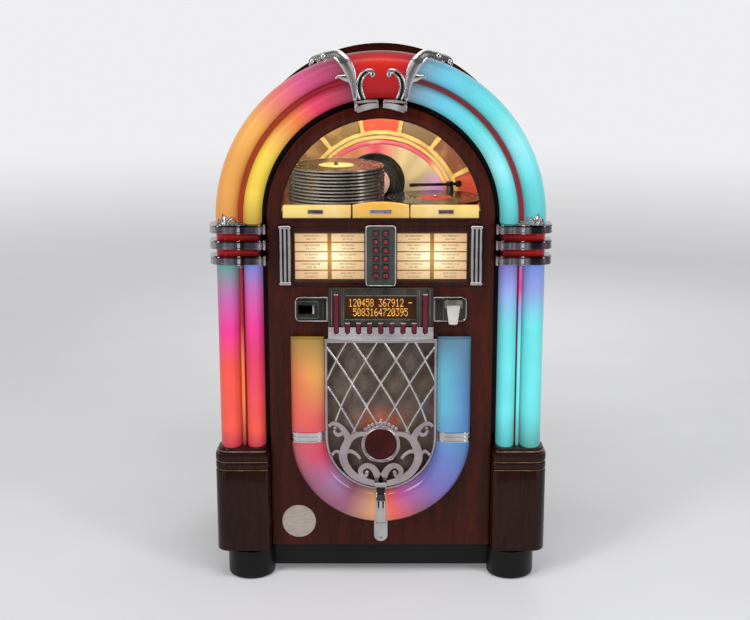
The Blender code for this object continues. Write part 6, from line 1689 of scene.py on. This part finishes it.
for text, top in LAMP_LINES:
    start = -len(text) * 6 * DOT_PITCH_X / 2 + DOT_PITCH_X / 2
    for place, figure in enumerate(text):
        for row, lamps in enumerate(DOTS[figure]):
            for column in range(5):
                if lamps >> (4 - column) & 1:
                    x = start + (place * 6 + column) * DOT_PITCH_X
                    z = top - (row + 0.5) * DOT_PITCH_Z
                    block(bm, (x - DOT_HALF_X, lamp_front, z - DOT_HALF_Z),
                          (x + DOT_HALF_X, lamp_back, z + DOT_HALF_Z), 0.15 * MM, 1)
hang("screen_dots", bm, amber_lamp, "display_screen")


# Coin plates: chrome-edged pressings either side of the display. The left one leads
# coins into a slot; the right one has a hood over a hinged white return flap.
low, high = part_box("coin_entry_plate")
plate_front, plate_back = low.y, high.y
slot_left, slot_right, slot_low, slot_high = SLOT
PLATE_SPAN = (147.3 * MM, 241 * MM)
PLATE_CORNER = 15 * MM
PLATE_EDGE = 3.2 * MM
FIRST_RIB, RIB_STEP = 155.5 * MM, 4 * MM  # upright ribs on the floor of the return
# The recess steps down to the slot: (reach across, reach up and down, rise of each step).
RECESS = ((16, 11, 9), (11, 7.5, 6), (6, 4, 3))
pitch_green = Finish("dark green enamel", rough=0.28, coat=0.15, shine=0.25)
pitch_green.tone(30, "10160f", "233024")
pitch_green.wear(200, 0.2, 0.36)


def plate_shape(side, inset):
    """A plate's outline, with round corners on its outer side."""
    inner, outer = PLATE_SPAN[0] + inset, PLATE_SPAN[1] - inset
    radius = PLATE_CORNER - inset
    bottom, top = low.z + inset, high.z - inset
    line = [(inner, bottom)] + circle((outer - radius, bottom + radius), radius, 270, 360, 10)
    line += circle((outer - radius, top - radius), radius, 0, 90, 10) + [(inner, top)]
    return [(side * x, z) for x, z in line][::side]


def step_shape(out_x, out_z, trim):
    """One step of the recess round the coin slot, drawn in by the trim."""
    across, up = (out_x - trim) * MM, (out_z - trim) * MM
    left = slot_left - (min(out_x, 5) - trim) * MM
    return oblong(left, slot_right + across, slot_low - up, slot_high + up, 3 * MM, 4)


for side, word in ((-1, "entry"), (1, "return")):
    node = f"coin_{word}_plate"
    edge = [plate_shape(side, 0), plate_shape(side, PLATE_EDGE)]
    bm = cut_board(edge, plate_front, plate_back, 1.4 * MM, 4)
    x = side * 151 * MM
    block(bm, (x - 1.5 * MM, plate_front - 0.8 * MM, low.z + 2 * MM),
          (x + 1.5 * MM, plate_back, high.z - 2 * MM), 1.2 * MM)
    hang(f"{node}_edge", bm, chrome, node)
hole = oblong(*SLOT)
bm = cut_board([plate_shape(-1, PLATE_EDGE - 0.3 * MM), hole], plate_front + 3.5 * MM, plate_back, 0.8 * MM)
for out_x, out_z, rise in RECESS:
    face = plate_front + 3.9 * MM - rise / 3 * MM
    join(bm, cut_board([step_shape(out_x, out_z, 0), hole], face, plate_front + 4.5 * MM, 0.7 * MM))
hang("entry_recess", bm, pitch_green, "coin_entry_plate")
bm = bmesh.new()
for out_x, out_z, rise in RECESS:
    line = [step_shape(out_x, out_z, trim) for trim in (0, 1.3)]
    join(bm, cut_board(line, plate_front + 3.2 * MM - rise / 3 * MM, plate_front + 4.2 * MM, 0.4 * MM))
hang("entry_lines", bm, ribbing, "coin_entry_plate")
bm = bmesh.new()
block(bm, (slot_right - 1 * MM, plate_front - 1 * MM, slot_low + 1 * MM),
      (slot_right + 5 * MM, plate_back, slot_high - 1 * MM), 1.5 * MM)
hang("entry_cheek", bm, chrome, "coin_entry_plate")
bm = bmesh.new()
block(bm, (-165 * MM, plate_front + 1 * MM, low.z + 4 * MM), (-158 * MM, plate_back, high.z - 4 * MM),
      1.5 * MM)
hang("entry_rib", bm, gunmetal, "coin_entry_plate")

bm = cut_board([plate_shape(1, PLATE_EDGE - 0.3 * MM)], plate_front + 3.5 * MM, plate_back, 0.8 * MM)
for i in range(5):
    x = FIRST_RIB + i * RIB_STEP
    block(bm, (x - 1.1 * MM, plate_front + 1.6 * MM, low.z + 5 * MM),
          (x + 1.1 * MM, plate_front + 5 * MM, high.z - 5 * MM), 0.8 * MM)
hang("return_floor", bm, gunmetal, "coin_return_plate")
hood_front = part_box("coin_return_plate")[0].y
flap_low, flap_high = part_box("coin_return_flap")
HOOD = (816 * MM, 829 * MM)
EAR = 6 * MM  # each side of the hood reaches past the flap
hood = oblong(flap_low.x - EAR, flap_high.x + EAR, HOOD[0], HOOD[1], 4 * MM, 5)
bm = cut_board([hood], hood_front, plate_front + 4 * MM, 1.5 * MM)
for x in (flap_low.x - EAR, flap_high.x + 0.8 * MM):
    block(bm, (x, hood_front, HOOD[0] - 10 * MM), (x + EAR - 0.8 * MM, plate_front + 4 * MM,
                                                   HOOD[0] + 4 * MM),
          1.8 * MM)
block(bm, (174.5 * MM, plate_front - 0.4 * MM, low.z + 3 * MM), (176.5 * MM, plate_back, high.z - 3 * MM),
      0.9 * MM)
hang("return_hood", bm, ribbing, "coin_return_plate")
ivory = Finish("ivory plastic", rough=0.3, coat=0.4)
ivory.tone(ivory.noise(24, detail=5.0), "c9c4bd", "dedad4")
ivory.wear(150, 0.25, 0.38)
PIN_Y, PIN_Z = -317.3 * MM, 812 * MM
LID_FOOT, LID_CORNER = (190 * MM, 216 * MM), 6 * MM
lid_top, level = (flap_low.x + 0.3 * MM, flap_high.x - 0.3 * MM), flap_low.z + LID_CORNER
outline = [(lid_top[0], PIN_Z), (LID_FOOT[0], level + 1 * MM)]
outline += circle((LID_FOOT[0] + LID_CORNER, level), LID_CORNER, 190, 270, 6)
outline += circle((LID_FOOT[1] - LID_CORNER, level), LID_CORNER, 270, 350, 6)
outline += [(LID_FOOT[1], level + 1 * MM), (lid_top[1], PIN_Z)]
bm = cut_board([outline], PIN_Y - 1.5 * MM, PIN_Y + 1.5 * MM, 1.2 * MM, 4)
peg(bm, 2.4 * MM, *lid_top, (0.5 * MM, 0.5 * MM), 32, (0, PIN_Y, PIN_Z), "X")
build("return_lid", bm, ivory, "return_flap", "coin_return_flap")
keep("coin_mechanism", dark_metal)


# Grille lens: one moulded milky U round the grille, lit warm down its left side and blue
# down its right. Ribbed chrome clips hold its sides and a long one its foot.
low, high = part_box("grille_lens")
U_SPAN = (160.3 * MM, 254.5 * MM)
U_MIDDLE = (U_SPAN[0] + U_SPAN[1]) / 2
U_STEPS, U_POWER = 36, 0.62  # the round of its section
u_back, u_depth, u_top = high.y, 40 * MM, high.z
# How the lamps change down each leg and round to the middle: (mm from the bend, colour).
U_GLOW = {
    "left_outer": ((-294, "ochre"), (-180, "orange"), (-60, "coral"), (110, "dusk"), (225, "dusk"),
                   (300, "sand")),
    "left_inner": ((-294, "ochre"), (-190, "apricot"), (-60, "coral"), (54, "rose"), (155, "mauve"),
                   (225, "dusk"), (300, "sand")),
    "right_outer": ((-294, "slate"), (-134, "azure"), (20, "azure"), (150, "violet"), (225, "dusk"),
                    (290, "coral"), (325, "sand")),
    "right_inner": ((-294, "slate"), (-190, "sky"), (-90, "sky"), (54, "blue"), (160, "violet"),
                    (250, "orchid"), (300, "coral"), (325, "sand")),
}
milky = Finish("grille lens", coat=0.4, shine=0.3)
path, out = bent_place(milky, GRILLE_CENTRE, U_MIDDLE, -1)
across = milky.spread(out, U_SPAN[0] + 12 * MM, U_SPAN[1] - 12 * MM)
lanes = {lane: lamp_colours(milky, path, stops, MM) for lane, stops in U_GLOW.items()}
halves = [milky.mix(across, lanes[f"{word}_inner"], lanes[f"{word}_outer"]) for word in ("left", "right")]
colour = milky.mix(milky.spread(milky.axis("X"), -3 * MM, 3 * MM), *halves)
glowing(milky, colour, out, U_SPAN, 0.74, 0.38, 0.22, 0.2)
legs = [(0, GRILLE_CENTRE + (u_top - GRILLE_CENTRE) * i / 10, -1, 0) for i in range(10, 0, -1)]
turns = [math.radians(180 + 2 * i) for i in range(91)]
bend = [(0, GRILLE_CENTRE, math.cos(a), math.sin(a)) for a in turns]
stations = legs + bend + [(x, z, -a, b) for x, z, a, b in reversed(legs)]
bm = bmesh.new()
carry(bm, shell_profile(U_SPAN, u_depth, u_back, LENS_WALL, U_STEPS, U_POWER), stations)
# Thin plates close the tops of the legs.
inside = (U_SPAN[0] + 0.4 * MM, U_SPAN[1] - 0.4 * MM)
lid = shell_profile(inside, u_depth - 0.4 * MM, u_back, LENS_WALL, U_STEPS, U_POWER)[:U_STEPS + 1]
for side, word in SIDES:
    skin(bm, [[(side * r, y, z) for r, y in lid] for z in (u_top - 3 * MM, u_top - 0.1 * MM)])
hang("lit_u", bm, milky, "grille_lens", sharp=40)


def sideways(bm):
    """Turns a board cut as (y, z) outlines so that its thickness runs across the front."""
    for vert in bm.verts:
        vert.co = Vector((vert.co.y, vert.co.x, vert.co.z))
    return bm


def strap(reach, thick):
    """The outline of a strap over the foot of the lens, as (y, z)."""
    span = (U_SPAN[0] - reach, U_SPAN[1] + reach)
    section = shell_profile(span, u_depth + reach, u_back, thick, U_STEPS, U_POWER)
    return [(y, GRILLE_CENTRE - r) for r, y in section]


# A side clip's band and the three ribs on it: (level, height, reach over the lens).
SIDE_CLIP = ((419, 29, 2.6), (419.5, 4, 4.2), (443.5, 4, 4.2), (431.5, 4, 4))
CLIP_HALF = 13.5 * MM
TAB_HALF, TAB_TOP, TAB_CENTRE = 20 * MM, 178 * MM, 124 * MM
HOOK_BACK = -317 * MM
bm = bmesh.new()
for side, word in SIDES:
    for z, tall, reach in SIDE_CLIP:
        span = (U_SPAN[0] - 0.2 * MM, U_SPAN[1] + reach * MM)
        section = shell_profile(span, u_depth + reach * MM, u_back, 1.6 * MM, 30, 0.6)
        carry(bm, section, [(0, z * MM, side, 0), (0, z * MM + tall * MM, side, 0)])
hang("side_clips", bm, chrome, "grille_clip", sharp=40)
bm = sideways(cut_board([strap(6 * MM, 4 * MM)], -CLIP_HALF, CLIP_HALF, 1.6 * MM, 4))
tab = [(-TAB_HALF, TAB_TOP)] + circle((0, TAB_CENTRE), TAB_HALF, 180, 360, 24) + [(TAB_HALF, TAB_TOP)]
join(bm, cut_board([tab], u_back - 6 * MM, u_back, 2 * MM, 5))
for level, wide in ((176.5 * MM, 19 * MM), (170 * MM, 17 * MM)):
    block(bm, (-wide, u_back - 8.5 * MM, level - 2 * MM),
          (wide, u_back - 4 * MM, level + 2 * MM), 1.8 * MM, 4)
peg(bm, 4 * MM, u_back - 8 * MM, u_back - 5.5 * MM, (1.5 * MM,), 24, (0, 0, 114 * MM), "Y")
hook = u_back - u_depth - 4 * MM
block(bm, (-17.5 * MM, hook, 289 * MM), (17.5 * MM, HOOK_BACK, 298 * MM), 3 * MM, 4)
block(bm, (-15 * MM, hook + 1.5 * MM, 284 * MM), (15 * MM, HOOK_BACK, 290 * MM), 2 * MM, 4)
hang("foot_clip", bm, chrome, "grille_clip", sharp=40)
# Dark blocks under the hook and in the slots: painted shade.
bm = bmesh.new()
block(bm, (-11 * MM, hook + 3 * MM, 264 * MM), (11 * MM, -322 * MM, 285 * MM), 3 * MM, 4)
for x in (-6.5, 6.5):
    block(bm, ((x - 2.8) * MM, hook - 2.4 * MM, 221 * MM), ((x + 2.8) * MM, hook + 4 * MM, 243 * MM),
          1.6 * MM, 3)
hang("clip_shade", bm, shade_dark_metal, "grille_clip", sharp=40)


# Grille: a plated casting. Bright bars cross in a lattice over brown cloth, and below
# them satin scrollwork holds a beaded ring round a plain maroon disc.
low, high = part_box("grille")
bar_front = -313 * MM
LATTICE = (88 * MM, 137 * MM)
LATTICE_PEAK, LATTICE_TOP, LATTICE_LOW = 722 * MM, 704 * MM, 433 * MM
RIM = (151.5 * MM, 159.6 * MM)
BARS = range(-5, 6)
DISC_CENTRE = 405 * MM
DISC_RING = 57 * MM
BEADS, BEAD_RING = 56, 52 * MM
disc_axis = (0, 0, DISC_CENTRE)
bm = bmesh.new()
# The diamonds draw in towards the bottom, so each bar is a slightly bent line.
for lean in (-1, 1):
    for number in BARS:
        line = []
        for i in range(61):
            z = LATTICE_TOP + 6 * MM - (LATTICE_TOP + 6 * MM - LATTICE_LOW) * i / 60
            x = number * LATTICE[0] + lean * (LATTICE_PEAK - z) * LATTICE[0] / LATTICE[1]
            drawn = (LATTICE_PEAK - z) / (206 * MM) * (0.045 + 0.7 * min(abs(x), 0.16))
            x *= 1 - drawn
            if abs(x) < 110 * MM or abs(x) < RIM[0] + 2 * MM and z > 458 * MM:
                line.append((x, bar_front + (2.8 if lean > 0 else 3.6) * MM, z))
        if len(line) > 3:
            join(bm, tube(line, 4 * MM, 5))
hang("lattice_bars", bm, cast, "grille", sharp=60)
rim = [grille_shape(RIM[1], GRILLE_TOP - 0.4 * MM), grille_shape(RIM[0], LATTICE_TOP)]
bm = cut_board(rim, bar_front - 1 * MM, high.y, 2 * MM, 4)
hang("grille_rim", bm, satin, "grille")

# One side of the scrollwork round the disc, each stroke as (across, up, width) and each
# boss as (across, up, radius): shares of the disc's ring, but a boss's radius in mm.
SCROLLS = (
    ((-0.02, -2.05, 0.36), (-0.2, -1.55, 0.31), (-0.42, -1.22, 0.28), (-0.74, -1.12, 0.25),
     (-1.0, -1.31, 0.23), (-0.99, -1.58, 0.2), (-0.8, -1.68, 0.16), (-0.68, -1.56, 0.12)),
    ((-0.1, -2.12, 0.26), (-0.88, -1.9, 0.3), (-1.42, -1.58, 0.33), (-1.78, -1.08, 0.35), (-1.9, -0.6, 0.37),
     (-1.79, -0.12, 0.37), (-1.64, 0.24, 0.33), (-1.79, 0.66, 0.26), (-2.08, 1.0, 0.2), (-2.4, 1.12, 0.16),
     (-2.6, 0.95, 0.13)),
    ((-1.74, 0.02, 0.29), (-1.42, 0.38, 0.26), (-1.06, 0.54, 0.22), (-0.7, 0.56, 0.2)),
    ((-1.86, -0.42, 0.2), (-1.52, -0.36, 0.17), (-1.24, -0.5, 0.15), (-1.03, -0.76, 0.12)),
    ((-1.98, -0.54, 0.16), (-2.2, -0.36, 0.14), (-2.36, -0.44, 0.13), (-2.48, -0.6, 0.12)),
    ((-1.86, 0.62, 0.2), (-2.1, 0.5, 0.17), (-2.26, 0.56, 0.14), (-2.36, 0.74, 0.1)),
)
SCROLL_BOSSES = ((-0.7, -1.5, 7), (-2.3, 0.84, 5.5), (-2.47, -0.55, 5), (-1.06, -0.74, 4.5), (-1.7, 0.42, 5))
bm = bmesh.new()
for number, stroke in enumerate(SCROLLS):
    sized = [(a * DISC_RING, DISC_CENTRE + b * DISC_RING, w * 1.2 * DISC_RING) for a, b, w in stroke]
    for side in (-1, 1):
        cast_stroke(bm, sized, 8 * MM - number * 0.5 * MM, lambda x, z: bar_front + 2.5 * MM, FLAT, side)
for x, z, radius in SCROLL_BOSSES:
    for side in (-1, 1):
        ball(bm, (side * x * DISC_RING, bar_front - 1 * MM, DISC_CENTRE + z * DISC_RING), radius * MM, 0.8)
for i in range(-4, 5):
    tilt = math.radians(90 + i * 11)
    spot = (1.1 * DISC_RING * math.cos(tilt), DISC_CENTRE + 1.1 * DISC_RING * math.sin(tilt))
    ball(bm, (spot[0], bar_front - 1 * MM, spot[1]), (6.5 if i else 8.5) * MM, 0.7, 16)
ball(bm, (0, bar_front - 1 * MM, DISC_CENTRE + 1.27 * DISC_RING), 5 * MM, 0.8)
hang("scrollwork", bm, satin, "grille", sharp=50)

ring_face = bar_front - 5 * MM
bm = bmesh.new()
shape = ((46, 7), (46, 1), (48, -0.6), (50, 1.2), (53, 1.6), (55, 0.4), (57, 2), (58, 9))
turn(bm, profile(shape, ring_face), 120, disc_axis, "Y")
for i in range(BEADS):
    angle = math.radians(360 / BEADS * i)
    spot = (BEAD_RING * math.cos(angle), ring_face + 1.2 * MM, DISC_CENTRE + BEAD_RING * math.sin(angle))
    ball(bm, spot, 2.1 * MM, 0.8, 10)
hang("disc_ring", bm, satin, "grille", sharp=50)
maroon = Finish("maroon enamel", rough=0.3, coat=0.1, shine=0.1)
maroon.tone(30, "340a0d", "481215")
maroon.wear(120, 0.22, 0.36)
bm = bmesh.new()
turn(bm, profile(((0, 2), (30, 2.6), (46.5, 4), (46.5, 6), (0, 6)), ring_face), 96, disc_axis, "Y")
hang("maroon_disc", bm, maroon, "grille")


# Baffle: a black board with a round hole, brown grille cloth stretched over its front
# and the loudspeaker screwed to its back. A warm pool of light, as from a lamp behind the
# cloth, is painted on its middle.
low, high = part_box("speaker_baffle")
CONE_CENTRE, CONE_HOLE = 545 * MM, 112 * MM
cone_axis = (0, 0, CONE_CENTRE)
THREADS = 3600  # radians per metre of cloth
CLOTH_LAMP, CLOTH_REACH = 470 * MM, (115 * MM, 60 * MM)
hole = circle((0, CONE_CENTRE), CONE_HOLE, 0, 352.5, 47)
bm = cut_board([grille_shape(high.x, high.z), hole], low.y, high.y, 1 * MM)
hang("baffle_board", bm, black_paint, "speaker_baffle")
cloth = Finish("brown cloth", rough=0.85)
mottle = cloth.noise(11, detail=6.0, rough=0.6)
tone = cloth.ramp(mottle, ((0.3, "40352f"), (0.5, "66584f"), (0.7, "8a7a70")))
weft, warp = [cloth.maths("SINE", cloth.maths("MULTIPLY", cloth.axis(way), THREADS)) for way in "XZ"]
threads = cloth.maths("MULTIPLY", weft, warp)
cloth.to("Base Color", cloth.mix(cloth.spread(threads, -1, 1, 0.0, 0.35), tone, "1a1411"))
off_x = cloth.maths("DIVIDE", cloth.axis("X"), CLOTH_REACH[0])
off_z = cloth.maths("DIVIDE", cloth.maths("SUBTRACT", cloth.axis("Z"), CLOTH_LAMP), CLOTH_REACH[1])
away = cloth.reach(off_x, off_z)
cloth.to("Emission Color", cloth.ramp(away, ((0.0, "c8622a"), (0.4, "9a4630"), (0.8, "5a4036"),
                                             (1.0, "463932"))))
cloth.to("Emission Strength", cloth.spread(away, 0, 2.2, 0.6, 0.16))
cloth.bump(threads, 0.1 * MM, 0.5)
bm = cut_board([grille_shape(high.x - 1 * MM, high.z - 1 * MM)], low.y - 1.6 * MM, low.y - 0.3 * MM, 0.4 * MM)
hang("grille_cloth", bm, cloth, "speaker_baffle")

low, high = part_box("loudspeaker")
paper = Finish("black paper cone", rough=0.8)
paper.tone(60, "161514", "262422")
paper.bump(300, 0.2 * MM, 0.5)
# The cone with its dust cap, the basket and the magnet: (radius, distance from the board).
CONE = ((0, 58), (26, 52), (34, 60), (104, 6), (108, 2), (112, 1), (112, 3), (106, 9), (36, 63), (0, 62))
BASKET = ((111, 0), (130, 0), (130, 5), (118, 6), (64, 64), (62, 68), (38, 66), (60, 60), (112, 5))
bm = bmesh.new()
back = low.y
turn(bm, profile(CONE, back), 96, cone_axis, "Y")
hang("speaker_cone", bm, paper, "loudspeaker")
bm = bmesh.new()
turn(bm, eased(profile(BASKET, back), {1: 1 * MM, 2: 1.5 * MM, 4: 3 * MM}), 96, cone_axis, "Y")
hang("speaker_basket", bm, dark_metal, "loudspeaker")
bm = bmesh.new()
shape = profile(((0, 67.5), (61.5, 67.5)), back) + profile(((61.5, -6), (56, -6), (56, 0), (0, 0)), high.y)
turn(bm, eased(shape, {1: 2 * MM, 2: 2 * MM, 4: 2 * MM}), 96, cone_axis, "Y")
hang("speaker_magnet", bm, grey_paint, "loudspeaker")


# Badge: a plain disc of brushed metal in warm grey, with a raised rim. It is stuck low on
# the left of the front panel.
pale = Finish("pale badge", rough=0.4, metal=0.3)
pale.tone(pale.noise(40, (1, 1, 4)), "aba098", "c4b9b1")
pale.to("Roughness", pale.spread(pale.noise(200, (1, 1, 6)), 0.3, 0.7, 0.32, 0.48))
BADGE = (-238 * MM, 0, 165 * MM)
bm = bmesh.new()
shape = ((0, -1.9), (45, -1.9), (46, -2.4), (48, -2.4), (49, -1.4), (49, 0.2), (0, 0.2))
turn(bm, profile(shape, panel_front), 120, BADGE, "Y")
hang("blank_badge", bm, pale, "front_panel")


# Long hinge: two steel leaves down the left side, rolled into knuckles round one pin and
# screwed on through a row of countersunk holes.
steel = Finish("brushed steel", rough=0.3, metal=1.0)
steel.tone(steel.noise(20, (1, 1, 0.3)), "8e8c8a", "b5b3b0")
steel.to("Roughness", steel.spread(steel.noise(300, (1, 1, 0.1)), 0.3, 0.7, 0.22, 0.4))
PIN = (-458.5 * MM, -236.5 * MM)
KNUCKLES, KNUCKLE = 9, 5.5 * MM
LEAF_FACE, LEAF_BACK = -454.9 * MM, -452.4 * MM
LEAF_WIDE, SCREW_LINE = 34 * MM, 22 * MM
low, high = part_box("hinge_cabinet_leaf")
tall = (high.z - low.z) / KNUCKLES
for number, (word, body, way) in enumerate((("cabinet", "cabinet", 1), ("door", "front_door", -1))):
    edge = PIN[1] + way * LEAF_WIDE
    near = PIN[1] + way * 1 * MM
    bm = bmesh.new()
    block(bm, (LEAF_FACE, min(near, edge), low.z), (LEAF_BACK, max(near, edge), high.z), 0.8 * MM)
    for i in range(number, KNUCKLES, 2):
        z = low.z + i * tall
        peg(bm, KNUCKLE, z + 0.4 * MM, z + tall - 0.4 * MM, (0.8 * MM, 0.8 * MM), 32, (*PIN, 0))
        block(bm, (PIN[0], min(PIN[1], near), z + 0.6 * MM),
              (-452.6 * MM, max(PIN[1], near) + 1 * MM, z + tall - 0.6 * MM), 0.6 * MM)
    for i in range(KNUCKLES):
        z = low.z + (i + 0.5) * tall
        peg(bm, 4.6 * MM, 0, 1.2 * MM, (0.8 * MM,), 24, (-456 * MM, PIN[1] + way * SCREW_LINE, z), "X")
    build(f"hinge_leaf_{word}", bm, steel, body, f"hinge_{word}_leaf")
